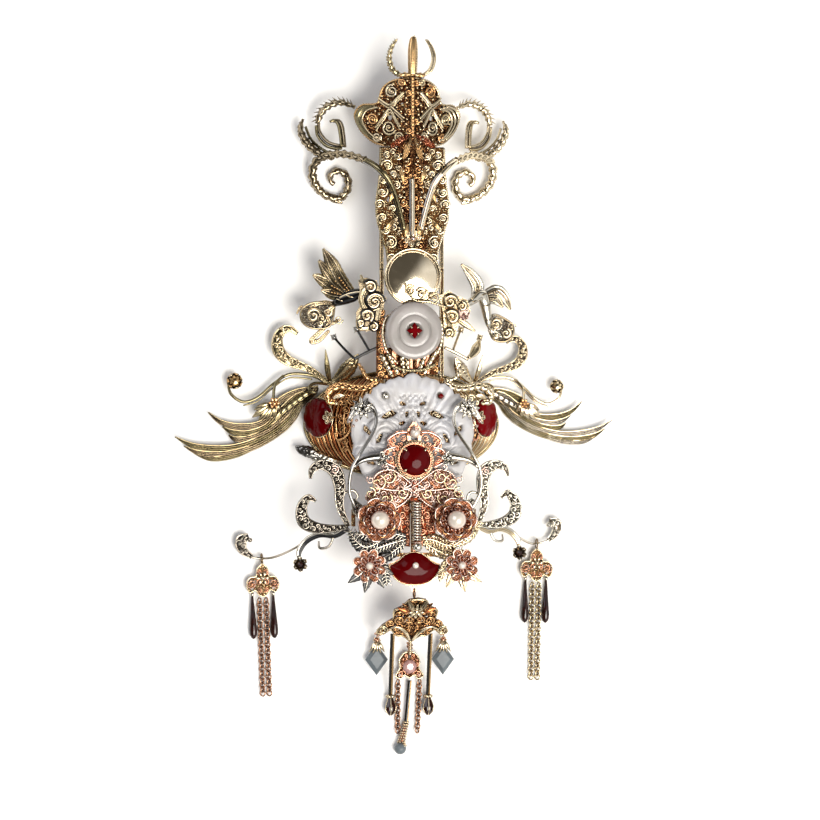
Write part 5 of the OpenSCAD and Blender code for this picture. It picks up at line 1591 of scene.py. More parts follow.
@dataclass
class Birds:
    """Two birds with raised wings, and the thin brackets that hold them up."""

    left_wing: tuple = (((-26, 56.6, 21.6, 2.6), (-30.6, 63, 20, 3.4), (-34, 69.6, 20, 3),
        (-37.6, 75.6, 20, 0.5)),
        ((-26.6, 56.4, 20.8, 2.4), (-32, 61.6, 19, 3.4), (-36.4, 67, 19, 2.6), (-39.4, 70.6, 19, 0.5)),
        ((-27.2, 56, 20, 2.4), (-33.6, 59.6, 18.2, 3.2), (-38.4, 62.6, 18, 2.4), (-41.8, 64.4, 18, 0.5)),
        ((-27.8, 55.4, 19.6, 2.4), (-33.6, 56.8, 18, 3.2), (-38.2, 57.8, 18, 0.5)))
    right_wing: tuple = (((28.6, 54.6, 22, 2), (29.6, 60, 22, 3.2), (26, 65.4, 23, 2.4), (22, 69, 24, 0.5)),
        ((32.6, 55.4, 20.6, 2.2), (38.4, 57.6, 19, 3.2), (42.4, 54.4, 18.4, 2.8), (44.8, 49.6, 18, 0.5)),
        ((33.2, 54.4, 20, 2), (38, 54.2, 18.6, 2.8), (41.4, 50.6, 18.2, 0.6)))
    left_body: Rows = ((-16.8, 54.4, 26.2, 1.2), (-21, 56.4, 24, 3.2), (-25.6, 55.2, 21.4, 5.2),
        (-29.6, 53.6, 19.6, 4.4), (-33, 51.6, 18.6, 2))
    right_body: Rows = ((21.8, 50.4, 26.2, 1.4), (27, 53.2, 24, 3), (31.2, 56.2, 21.6, 4.6),
        (33.4, 51.6, 20, 4.2),
        (34.8, 45.4, 18.6, 3.2), (35.8, 41.4, 18, 1.5))
    left_tail: tuple = (((-32, 51.6, 18.6, 1.8), (-36.4, 52.4, 17.6, 1.8), (-41.2, 51, 17, 1.8),
        (-43.4, 46.4, 16.8, 1.8), (-40.6, 43, 16.8, 1.6), (-37.8, 45.6, 16.8, 1.2)),
        ((-32.4, 51, 18.2, 1.8), (-35.4, 47.6, 17.4, 1.8), (-33.6, 43.6, 17, 1.6), (-30.4, 45, 17, 1.2)),
        ((-34, 43.8, 17, 1.6), (-38.4, 39.8, 16.6, 1.6), (-42.2, 35.8, 16.4, 1.9), (-38.6, 36.2, 16.4, 1.6),
        (-34.4, 40.4, 16.8, 1.2)), ((-42.4, 49, 16.9, 1.5), (-46.4, 50.4, 16.6, 1.5),
        (-48.4, 47.6, 16.4, 0.6)))
    right_tail: tuple = (((35.2, 43.6, 18.2, 1.7), (37.6, 47, 17.6, 1.7), (41.2, 45.2, 17, 1.7),
        (40.2, 41.6, 17, 1.5), (37.8, 42, 17, 1.1)),
        ((36, 41.6, 17.8, 1.7), (40.4, 38.6, 17, 1.8), (45, 38.6, 16.6, 1.7), (45.6, 42.2, 16.6, 1.2)),
        ((35.8, 41, 17.6, 1.6), (38, 37.2, 17, 1.5), (42.4, 35.6, 16.6, 0.6)))
    left_field: Rows = ((-32, 51.4), (-40, 52.6), (-46, 50), (-46.4, 44.6), (-41.6, 41.4), (-34, 42.6))
    right_field: Rows = ((35.2, 45), (38, 47.4), (42, 46), (46, 43), (46, 38.4), (42, 35.8), (37, 37.4))

    def bird(self, pen: Pen, side: Side) -> None:
        """Draws one bird.

        Args:
            pen: draws the piece.
            side: the side that it is on.
        """
        body = side.pick(self.left_body, self.right_body)
        tail = side.pick(self.left_tail, self.right_tail)
        field_ = side.pick(self.left_field, self.right_field)
        curls = side.pick(((-41.4, 46.8, 3.7), (-35.2, 48.4, 2.6), (-38.4, 43.6, 1.6)),
            ((38.6, 43.2, 2.9), (43, 39.4, 2.7), (38.6, 38.4, 1.5)))
        for k, rows in enumerate(side.pick(self.left_wing, self.right_wing)):
            feather = shifted(rows, 0, 0, 0.25 * k, side.pick(2.0, 1.9))
            pen.use(side.pick(OLIVE, SILVER)).blade(feather, 0.5, 0.6, 3, 0.35, 0.06, 2.4, spacing=0.5)
            for shift, tone in ((-0.32, PALE), (0, BROWN_GILT), (0.32, BROWN_GILT if k % 2 else PALE)):
                pen.use(tone)
                pen.wire([(x + shift * w, y + shift * w, z + 0.8 + 0.25 * k, 0.7) for x, y, z, w in rows],
                    sides=5)
            pen.use(side.pick(BRONZE, PALE)).grains_along(shifted(rows[:2], 0, 0, 1.1 + 0.25 * k), 1.1, 1.3)
        pen.use(side.pick(JET, SILVER)).wire(shifted(body, wide=1.15), sides=14, flat=0.85)
        pen.use(side.pick(POLISH, BROWN_GILT))
        for x, y, z, w in body[1:-1]:
            pen.wire([(x - 0.5 * w, y + 0.1 * w, z + 0.3 * w, 0.6), (x, y - 0.1 * w, z + 0.46 * w, 0.7),
                (x + 0.5 * w, y + 0.1 * w, z + 0.3 * w, 0.6)], sides=5)
        # a bright wire along the body's upper left is a painted highlight
        pen.use(side.pick(POLISH, PALE))
        pen.wire([(x - 0.2 * w, y + 0.2 * w, z + 0.4 * w, 0.9) for x, y, z, w in body[1:4]])
        pen.use(SHOT_SILVER).relief(field_, [], 16.6, 17.3, 1.2)
        pen.use(BROWN_GILT).wire(flat(field_, 17.5, 1.0), join=True)
        for k, (x, y, r) in enumerate(curls):
            for tone, share, wide in ((BROWN_GILT, 1.0, 0.9), (PALE, 0.8, 1.0)):
                pen.use(tone).wire(spiral(x, y, 17.9, r * share, 1.5 * (-1) ** k, 80 * k, wide))
            pen.grains([(x, y, 18.1)], 1.4)
        pen.use(side.pick(CHAMPAGNE, SILVER))
        for rows in tail:
            pen.blade(shifted(rows, wide=1.25), 0.6, 0.3, 1, 0.2, 0.15, 1.2, 0.1, 0.4)
        pen.use(PALE)
        for x, y, z, _ in (tail[0][-1], tail[1][-1]):
            pen.wire(spiral(x, y, z + 0.9, 1.9, 1.6 * side.value, 0, 0.7))
            pen.grains([(x, y, z + 1.2)], 1.3)
        for rows in tail:
            pen.grains_along(shifted(rows, 0, 0, 0.7), 0.7, 1.0)

    def bracket(self, pen: Pen, side: Side) -> None:
        """Draws one bracket with its two buds.

        Args:
            pen: draws the piece.
            side: the side that it is on.
        """
        pen.use(side.pick(JET, PALE))
        with pen.at(on_side(side)):
            for arm in (((14.5, 33.2, 26, 1.3), (20, 30.6, 25.4, 1.3), (25, 28, 24.6, 1.3)),
                ((24.6, 28.2, 24.4, 1.2), (28.4, 32.6, 20, 1.1), (32, 37.6, 15, 1.1)),
                ((18.2, 31.6, 25.2, 1.1), (20.6, 36.6, 22, 1.1), (22.8, 41, 19.6, 1.1))):
                pen.wire(arm, sides=8)
            if side is Side.RIGHT:
                leaf = [(25.6, 28.6, 24.8, 1.4), (29.2, 32.4, 20.8, 4.4), (31.6, 36.6, 17, 1.2)]
                pen.blade(leaf, 0.5, 0.7, 1, 0.3)
            for x, y, z, d in ((32, 37.6, 15, 2.6), (22.8, 41, 19.6, 2.8)):
                bud = [(0.1, 0), (d * 0.35, 0.1), (d * 0.5, d * 0.35), (d * 0.42, d * 0.8), (0.3, d)]
                with pen.at(move(x, y, z - d * 0.4)):
                    pen.use(side.pick(BLACK, CHAMPAGNE)).turned(bud, 8)
                for _ in pen.ring(4, move(x, y, z - 0.6), start=30):
                    claw = [(d * 0.3, 0, 0, 0.6), (d * 0.62, 0, 0.8, 0.5), (d * 0.5, 0, 1.6, 0.2)]
                    pen.use(SILVER).wire(claw, sides=5)

    def build(self, shop: Workshop) -> None:
        """Builds both birds and brackets.

        Args:
            shop: makes the pieces.
        """
        for side in Side:
            word = side.word
            shop.draw(partial(self.bird, side=side), f"bird_{word}_feathered", "silver_gold", f"bird_{word}")
            shop.draw(partial(self.bracket, side=side), f"bracket_{word}_drawn", "dark_metal",
                f"bracket_{word}")


@dataclass
class Plaque:
    """The white carved plaque with a scalloped top, two volutes and pierced openings."""

    base: float = 27.3
    thick: float = 2.6
    volute: tuple[float, float, float] = (12.4, -5.2, 9.4)
    pins: tuple[tuple[float, float], ...] = ((12.0, 12.2), (-12.0, 12.2))
    half: Rows = ((0, 22.2), (2, 21.6), (4, 19.8), (6, 20.6), (8, 19.6), (10.4, 19.2), (12, 17.4),
        (14.2, 17.6),
        (15.4, 16.4), (17.2, 15.6), (18, 13), (20.2, 13.2), (21, 12), (22.6, 8.4), (25, 5.4), (26.4, 0),
        (26.6, -4.6), (25.6, -8.4), (26, -12.4), (23.4, -16.6), (21.8, -21), (18.4, -24.6), (14, -25),
        (11, -21.4), (6, -18.8), (0, -18))
    slots: Rows = ((10.4, 4.2, 7.6, 2.8, 160, 3.2), (19.8, -2.8, 6, 2.2, 50, 2.6),
        (14.4, -6, 5.4, 2, -60, 2.4),
        (18.2, -16.4, 5, 1.8, 20, 2.2), (4.4, 8.8, 3.4, 1.8, 20, 1.6), (2.6, 4.4, 3.2, 1.6, 100, 1.5),
        (4.6, 0.4, 3.4, 1.8, -20, 1.6))

    def openings(self) -> list[Rows]:
        """The openings, both sides, from each slot's place, length, width and lean.

        Returns:
            The outlines.
        """
        shape = np.array([(-0.5, 0), (-0.25, 0.5), (0.25, 0.5), (0.5, 0.2), (0.25, -0.5), (-0.25, -0.33)])
        found = []
        for x, y, length, width, degrees, _ in self.slots:
            c, s = math.cos(math.radians(degrees)), math.sin(math.radians(degrees))
            placed = shape * (length, width) @ [(c, s), (-s, c)] + (x, y)
            found += [placed, placed * (-1, 1)]
        return found + [circle(1.2, 16, x=x, y=y, end=5.9, last=True) for x, y in self.pins]

    def face(self, at: np.ndarray, near: np.ndarray) -> np.ndarray:
        """The carved face: flutes at the top, a spiral groove in each volute and a raised border.

        Args:
            at: places across and up.
            near: how far each place is from an edge.

        Returns:
            The height at each place.
        """

        def groove(off: np.ndarray, width: float) -> np.ndarray:
            """A rounded groove's share of its depth, by the distance from its middle."""
            return np.exp(-((off / width) ** 2))

        x, y = np.abs(at[:, 0]), at[:, 1]
        height = self.base + self.thick + 0.35 * np.sqrt(np.clip(near / 0.9, 0, 1)) - 0.35
        angle = np.degrees(np.arctan2(y + 9.0, x))
        upper = np.clip((angle - 28) / 8, 0, 1)
        flutes = 0.5 - 0.5 * np.cos(np.radians((angle - 90) * 360 / 8.3))
        height -= upper * (0.24 * groove(near, 3.0) * flutes + 0.3 * groove(np.hypot(x, y + 9.0) - 17.0, 0.5))
        cx, cy, r = self.volute
        out = np.hypot(x - cx, y - cy)
        coil = np.abs(((out / 2.5 - np.arctan2(y - cy, x - cx) / FULL) % 1.0) - 0.5) * 2.5
        height -= 0.27 * groove(coil, 0.35) * np.clip((r + 0.6 - out) * 2, 0, 1)
        height += 0.35 * np.clip((r - out) * 1.5, 0, 1)
        lattice = np.minimum(np.abs(((x + y) % 2.6) - 1.3), np.abs(((x - y) % 2.6) - 1.3))
        height -= 0.28 * groove(lattice, 0.35) * ((x < 5.6) & (y < 13) & (y > -3))
        return height - 0.3 * groove(np.hypot(x - 21, y + 15) - 6.2, 0.45) * (y < -9)

    def build(self, shop: Workshop) -> None:
        """Builds the plaque.

        Args:
            shop: makes the pieces.
        """
        pen, pins = Pen(), Pen()
        pen.use(JADE).relief(whole(self.half), self.openings(), self.base, self.face, 0.4)
        shop.make("jade_plaque_carved", pen, "jade", "jade_plaque")
        for (x, y), finish, sides in zip(self.pins, (CRIMSON, SILVER), (4, 20)):
            with pins.at(move(x, y, 30.9)):
                pins.use(finish, soft=finish is SILVER)
                pins.turned([(0.1, 0), (1.3, 0), (1.4, 0.5), (0.9, 1.1), (0.1, 1.2)], sides)
        pins.use(PALE)
        for x, y, *_, r in self.slots:
            for _ in pins.both():
                pins.scrolls([(x, y, r), (x + 1, y + 0.6, r * 0.6)], 27.1, 0.7, 1.0)
        shop.make("plaque_pin_heads", pins, "silver_gold")


@dataclass
class Wing:
    """A wing of grooved feathers in two plumes, low beside the cage."""

    side: Side
    at: tuple[float, float]
    reach: float
    turned: float
    lift: float = 2.0
    feathers: tuple = (((0.6, 0.4, 1.6), (10, -1.4, 2.6), (17.6, -5.4, 3), (21.6, -11.6, 3), (27, -15.6, 3),
        (35.6, -16.4, 2.8), (43.4, -14.6, 2.2), (49, -10.4, 0.4)),
        ((0.8, -0.2, 1.6), (10, -3.4, 2.8), (17, -9.8, 3.2), (23.2, -16.4, 3.2), (31.4, -19.4, 3),
        (38.4, -18.8, 2.4), (42.8, -16.6, 0.4)), ((1, -0.8, 1.6), (9, -5, 2.8), (15.4, -12.2, 3.2),
        (22.4, -18, 3.2), (30.4, -21.4, 3), (36.8, -21.9, 2.4), (40, -20.2, 0.4)),
        ((1.2, -1.4, 1.6), (8.4, -6.4, 2.8), (13.4, -13, 3.2), (21, -19.2, 3.4), (31.4, -24, 3.4),
        (42.2, -26, 3.2), (55, -24.8, 2.4), (63.4, -21, 0.4)),
        ((1.4, -1.8, 1.6), (7.8, -7, 2.4), (11.8, -13.4, 2.8), (19.6, -20.2, 3), (30.6, -25.8, 3.2),
        (42.2, -28.4, 3), (52.8, -27.8, 2.4), (59.4, -25, 0.4)),
        ((6.6, -5, 1.6), (10.4, -11.4, 2.4), (14.6, -16.6, 2.8), (21, -20.8, 3), (28.6, -25, 3),
        (37.8, -29, 2.8), (47.6, -30.4, 2.2), (55, -28.2, 0.4)))

    def build(self, shop: Workshop) -> None:
        """Builds the wing.

        Args:
            shop: makes the pieces.
        """
        pen, word = Pen(), self.side.word
        # the left wing's darker finishes are painted shade and the right wing's paler ones painted light
        gold, deep, bright = self.side.pick((GREY_GILT, BROWN_GILT, OLIVE), (GREY_SILVER, GREY_GILT, POLISH))
        place = (on_side(self.side), move(*self.at, 0.7), turn(self.turned), turn(-self.lift, "Y"))
        with pen.at(*place, Matrix.Scale(self.reach, 4)):
            for k, rows in enumerate(self.feathers):
                path = np.array([(x, y, 1.25 - 0.16 * k, w) for x, y, w in rows])
                pen.use((deep, gold)[k % 2]).blade(shifted(path, wide=1.1), 0.7, 1.0, 3, 0.7, spacing=0.7)
                across, _ = frames_of(path[:, :3])
                # a wire in the wing's brightest finish along each feather's edge paints its highlight
                pen.use(bright).wire([(x - a * w * 0.4, y - b * w * 0.4, z + 0.5, 0.35 + 0.17 * w)
                    for (x, y, z, w), (a, b, _) in zip(path, across)])
            pen.use(gold)
            for k in range(6):
                with pen.at(move(3.4 + 2.6 * k, -1.2 - 1.5 * k, 2.0), turn(-32 - 5 * k)):
                    pen.blade([(0, 0, 0, 1), (2.6, 0, 0.4, 2.6), (6.4, 0, 0.1, 0.3)], 0.4, 0.4, 1, 0.2)
        slot = self.side.pick("olive_gold", "pale_gold")
        shop.make(f"wing_{word}_feathered", pen, slot, f"wing_{word}")


@dataclass
class UpperSpray:
    """An engraved curl, a long wire with a ball flower, a lily and small leaves."""

    side: Side
    reach: float
    turned: float
    root: tuple[float, float] = (31.2, 17.1)

    def ball_flower(self, pen: Pen, x: float, y: float, z: float, tone: Finish) -> None:
        """Draws the closed ball of cut scales at the wire's end.

        Args:
            pen: draws the piece.
            x: its place across.
            y: its place up.
            z: its height.
            tone: its finish.
        """
        pen.use(tone, soft=False).ball(x, y, z + 0.4, 5.2, 10)
        for k in pen.ring(7, move(x, y, z - 1.2)):
            pen.use(PALE if k % 2 else tone)
            pen.blade([(1.2, 0, 0, 1.6), (3.0, 0, 1.4, 2.6), (2.6, 0, 3.6, 0.5)], 0.4, 0.3, 1)

    def lily(self, pen: Pen) -> None:
        """Draws the lily: long petals that point down and out, and a copper bud.

        Args:
            pen: draws the piece.
        """
        petal = np.array([(0.2, 0, 0, 1.2), (0.4, 0, 0.4, 2.6), (0.72, 0, -0.2, 2.6), (1, 0, -1.2, 0.3)])
        with pen.at(move(24.2, -7.6, 7)):
            pen.use(self.side.pick(OLIVE, PALE))
            lengths = (8.4, 10.6, 9.8, 8, 6.4, 5)
            for k in pen.fan((-22, -36, -52, -70, -96, -128)):
                pen.blade(petal * (lengths[k], 1, 1, 1), 0.4, 0.5, 1, 0.25)
            pen.use(WARM)
            for _ in pen.ring(6, move(0, -0.2, 0.6)):
                pen.blade([(0.2, 0, 0, 0.9), (1.3, 0, 0.6, 1.6), (2.4, 0, 0.8, 0.3)], 0.3, 0.3, 0)
            pen.ball(0, -0.4, 1.4, 2.0, 12, 0.8)

    def build(self, shop: Workshop) -> None:
        """Builds the spray.

        Args:
            shop: makes the pieces.
        """
        pen, word = Pen(), self.side.word
        wire, ground, edge, small, tone = self.side.pick((GREY_GILT, GREY_GILT, CHAMPAGNE, OLIVE, BRONZE),
            (POLISH, SHOT_SILVER, PALE, PALE, CHAMPAGNE))
        curl = [(0, 0, 3, 1.6), (9, 6, 5, 2.4), (18.2, 9.4, 6, 4.2), (22.6, 13.8, 6, 5.0),
            (22.6, 19.6, 6, 4.0), (18.8, 22.6, 6, 3.0), (14.8, 20.6, 6, 1.4)]
        stem = [(1.4, 0.6, 3, 1.6), (8, 3.6, 4, 1.3), (17.4, 4, 4.4, 1.3), (24, 0, 4.6, 1.3),
            (30.4, -5.6, 5, 1.3), (36.4, -7.6, 5, 1.3), (41.6, -4.4, 5, 1.3), (42.8, 1, 4.8, 1.1)]
        leaf = [(0.8, 0.4, 3.1, 1.8), (-1.6, 2, 4, 3.4), (-5.0, 5, 6, 6.6), (-7.8, 9, 8, 5.6),
            (-10, 12.8, 9.4, 0.5)]
        with pen.at(on_side(self.side), move(*self.root, -0.4), turn(self.turned),
            Matrix.Scale(self.reach, 4)):
            pen.acanthus(curl, ground, edge)
            pen.use(wire).wire(stem, sides=8)
            pen.wire([(x, y - 1.5, z - 0.2, 0.7) for x, y, z, _ in stem[1:6]])
            pen.wire([(20, 3.4, 5, 1.4), (23.6, -0.6, 5.8, 1.3), (24.4, -7, 6.9, 1.2)], sides=8)
            pen.wire([(1, 0.4, 3, 1.5), (7.6, 0.4, 5, 1.3), (9.6, -2, 6, 1.3), (6.6, -3.6, 6.4, 0.9)],
                sides=8)
            pen.blade([(0.6, 0.6, 3.1, 1.4), (2.2, 7, 6, 2.4), (3.4, 14.4, 8, 0.3)], 0.4, 0.5, 1)
            pen.use(small).blade(leaf, 0.4, 0.5, 1, 0.3, 0.12, 2.0, 0.25)
            self.lily(pen)
            self.ball_flower(pen, 40.2, 0.8, 4.8, tone)
        slot = self.side.pick("olive_gold", "pale_gold")
        shop.make(f"upper_spray_{word}_chased", pen, slot, f"upper_spray_{word}")


@dataclass
class Horn:
    """A beaded curl beside the plaque."""

    side: Side

    def build(self, shop: Workshop) -> None:
        """Builds the horn.

        Args:
            shop: makes the pieces.
        """
        pen, word = Pen(), self.side.word
        curl = [(14.6, 18.6, 26.2, 1.8), (18.6, 15.6, 25.4, 2.1), (24, 15.4, 24, 2.4),
            (30.4, 16.4, 22.4, 2.6),
            (35.2, 13.8, 21.4, 2.4), (35.4, 10, 21, 2.1), (32, 9, 21, 1.4)]
        stalk = [(15, 18.8, 26.2, 1.2), (19.4, 20.2, 25.6, 1.3), (21.2, 23.4, 25, 1.2),
            (22.8, 26.2, 24.4, 0.8)]
        web = [(14, 14), (20, 13), (30, 13.6), (31, 8), (24, 9.6), (15, 11)]
        with pen.at(on_side(self.side)):
            pen.use(self.side.pick(WARM, PALE)).wire(shifted(curl, wide=1.15), Wire.ROPE, sides=8)
            pen.wire(shifted(curl, 0.4, 1.2, 0.5, 0.6), Wire.BEADED, sides=7)
            pen.wire(shifted(stalk, wide=1.4), Wire.ROPE, sides=8)
            for k, (x, y, r) in enumerate(packed(web, 2.2, 1, 2)):
                pen.wire(spiral(x, y, 24.6 - 0.16 * x, r, 1.5 * (-1) ** k, 60 * k, 0.8))
            leaf = [(33.6, 11, 21.6, 1), (31, 12.4, 22.4, 2.4), (28.4, 12.2, 22.8, 0.4)]
            pen.use(PALE).blade(leaf, 0.4, 0.4, 1)
            pen.grains([(32, 9, 21.6)], 1.9)
        shop.make(f"horn_{word}_beaded", pen, self.side.pick("rose_gold", "pale_gold"), f"horn_{word}")


@dataclass
class LowerSpray:
    """Two engraved curls, a bud branch and the long wire that holds a pendant."""

    side: Side
    root: tuple[float, float]
    reach: float
    turned: float

    def scaled(self, rows: Rows, wide: float = 1.0) -> np.ndarray:
        """Rows spread by the spray's reach, their widths by wide."""
        return np.array(rows, float) * (self.reach, self.reach, 1, wide)

    def build(self, shop: Workshop) -> None:
        """Builds the spray.

        Args:
            shop: makes the pieces.
        """
        pen, word, r = Pen(), self.side.word, self.reach
        tall = [(0.3, -2, 29.6, 2), (3.6, 7, 31.4, 3.4), (3.2, 16, 32, 5.2), (5, 22.6, 32, 6.0),
            (10, 25.2, 32, 4.4), (14.4, 23.6, 32, 3.0), (15.6, 19.6, 32, 1.0)]
        low = [(0.3, -2.1, 29.5, 2), (6, -2.4, 28.4, 2.8), (13.4, -1.8, 27, 4.6), (18.8, 1.4, 26, 5.6),
            (19.2, 7.6, 26, 4.6), (16, 11.4, 26, 3.0), (13.0, 9.6, 26, 1.0)]
        bud = [(0.3, -2.4, 29.4, 1.8), (6, -5.4, 27, 1.9), (12, -4.8, 24, 1.8), (17.4, -7, 21.6, 1.8),
            (20.8, -11.4, 20.4, 1.7), (21, -16, 20, 1.3)]
        hang = [(16.6, -6.6, 22, 1.2), (23, -10.6, 16, 1.1), (29, -13.4, 7.6, 1.1), (33.6, -14, 3.7, 1.0),
            (39, -13, 3.2, 1.1), (43, -9.4, 3.2, 1.2), (43, -5.4, 3.4, 1.1), (39.8, -4, 3.9, 0.9)]
        scroll = [(6.2, -5.4, 26.8, 1.2), (8.6, -10, 25.6, 1.2), (12.4, -10.6, 24.6, 1.2),
            (12.6, -7.6, 24.4, 0.7)]
        inner = [(2.0, 12, 31.6, 1.2), (-2.2, 13.4, 31.8, 1.2), (-4.4, 10.6, 31.8, 1.1),
            (-2.4, 8.6, 31.8, 0.8)]
        ground, edge, metal, dark, light = self.side.pick((GREY_SHOT_SILVER, GREY_SILVER, GREY_SILVER, JET, JET),
            (SHOT_SILVER, SILVER, SILVER, PALE, CHAMPAGNE))
        with pen.at(on_side(self.side), move(*self.root), turn(self.turned)):
            for rows in (self.scaled(tall), self.scaled(low),
                [(-7.6, 1, 31.8, 2.4), (-4.4, 4.4, 33, 5.2), (-1.8, 9.4, 32.8, 1.2)]):
                pen.acanthus(rows, ground, edge)
            pen.use(BLUSH).wire(spiral(5 * r, 22.6 * r, 33.3, 1.9, 1.5, 60, 0.9), Wire.ROPE)
            # the three wires side by side paint the polished arm's light and shade: on the left, two black
            # wires for its shade and a silver one for its highlight
            for shift, tone in ((-0.65, dark), (0.65, SILVER), (0, light)):
                pen.use(tone).wire(shifted(self.scaled(bud, 0.8), shift * 0.6, shift), sides=8)
            pen.use(metal).wire(self.scaled(hang), sides=8)
            curled = [(x, y, z, w * k) for (x, y, z, w), k in zip(hang[4:], (1.6, 3.4, 4.8, 2.8))]
            pen.acanthus(self.scaled(curled), ground, edge)
            pen.ball(39.4 * r, -5.6 * r, 4.4, 2.2, 10)
            pen.use(metal)
            for rows in (scroll, inner):
                pen.wire(self.scaled(rows), sides=8)
            for _ in pen.ring(6, move(20.9 * r, -17 * r, 19.6), start=-30):
                pen.petal(3.1, 2.1, 2.0, BRONZE, SILVER, 0.3)
            pen.use(GARNET, soft=False).ball(20.9 * r, -17 * r, 21.0, 3.0, 6)
        shop.make(f"lower_spray_{word}_chased", pen, "silver_gold", f"lower_spray_{word}")


@dataclass
class Crane:
    """A crane: a long polished neck, a crested head, and a bud on a side branch."""

    side: Side

    def build(self, shop: Workshop) -> None:
        """Builds the crane.

        Args:
            shop: makes the pieces.
        """
        pen, word, metal = Pen(), self.side.word, self.side.pick(BLACK, SILVER)
        neck = [(25, -36.4, 33.2, 1.5), (28.4, -29, 34.6, 1.5), (28, -19.6, 37, 1.5),
            (24.4, -12.6, 37.4, 1.5),
            (18.6, -3.6, 36, 1.5), (16.8, 2.2, 35, 1.6), (18, 7, 34.6, 1.9), (21, 9, 34.4, 2.6)]
        head = [(20.4, 9, 34.4, 2.6), (24, 7.4, 34.2, 4.4), (27.2, 4, 34, 2.6), (29.4, 0.4, 34, 0.5)]
        twig = [(27.6, -18.6, 37, 1.4), (23.4, -15.4, 36, 2.2), (18.4, -14.2, 35.4, 3.2),
            (14.6, -13.8, 35, 3.8)]
        with pen.at(on_side(self.side)):
            pen.use(metal).wire(neck, sides=12)
            pen.blade(head, 0.8, 0.9, 2, 0.3, 0.15, 1.6, 0.2, 0.4)
            pen.wire(twig, sides=8)
            for tier, (count, length) in enumerate(((9, 5.2), (7, 3.8), (5, 2.6))):
                for k in pen.ring(count, move(23, 7, 35 + 0.5 * tier), start=25 * tier):
                    pen.use(metal if (k + tier) % 2 else SILVER)
                    plume = [(0.4, 0, 0, 0.8), (length * 0.55, 0, 0.8, 1.9), (length, 0, 0.2, 0.2)]
                    pen.blade(plume, 0.3, 0.4, 1)
            pen.use(BLUSH)
            for x, y in ((25.4, 1.8), (28.4, 1.4), (26.8, -0.6)):
                pen.ball(x, y, 35, 1.5, 10)
            for _ in pen.ring(5, move(14.4, -14.6, 35), start=20):
                pen.petal(2.9, 1.9, 0.7, metal, SILVER, 0.3)
            pen.use(SILVER, soft=False).ball(14.4, -14.6, 35.9, 2, 6)
        shop.make(f"crane_{word}_polished", pen, "dark_metal", f"crane_{word}")


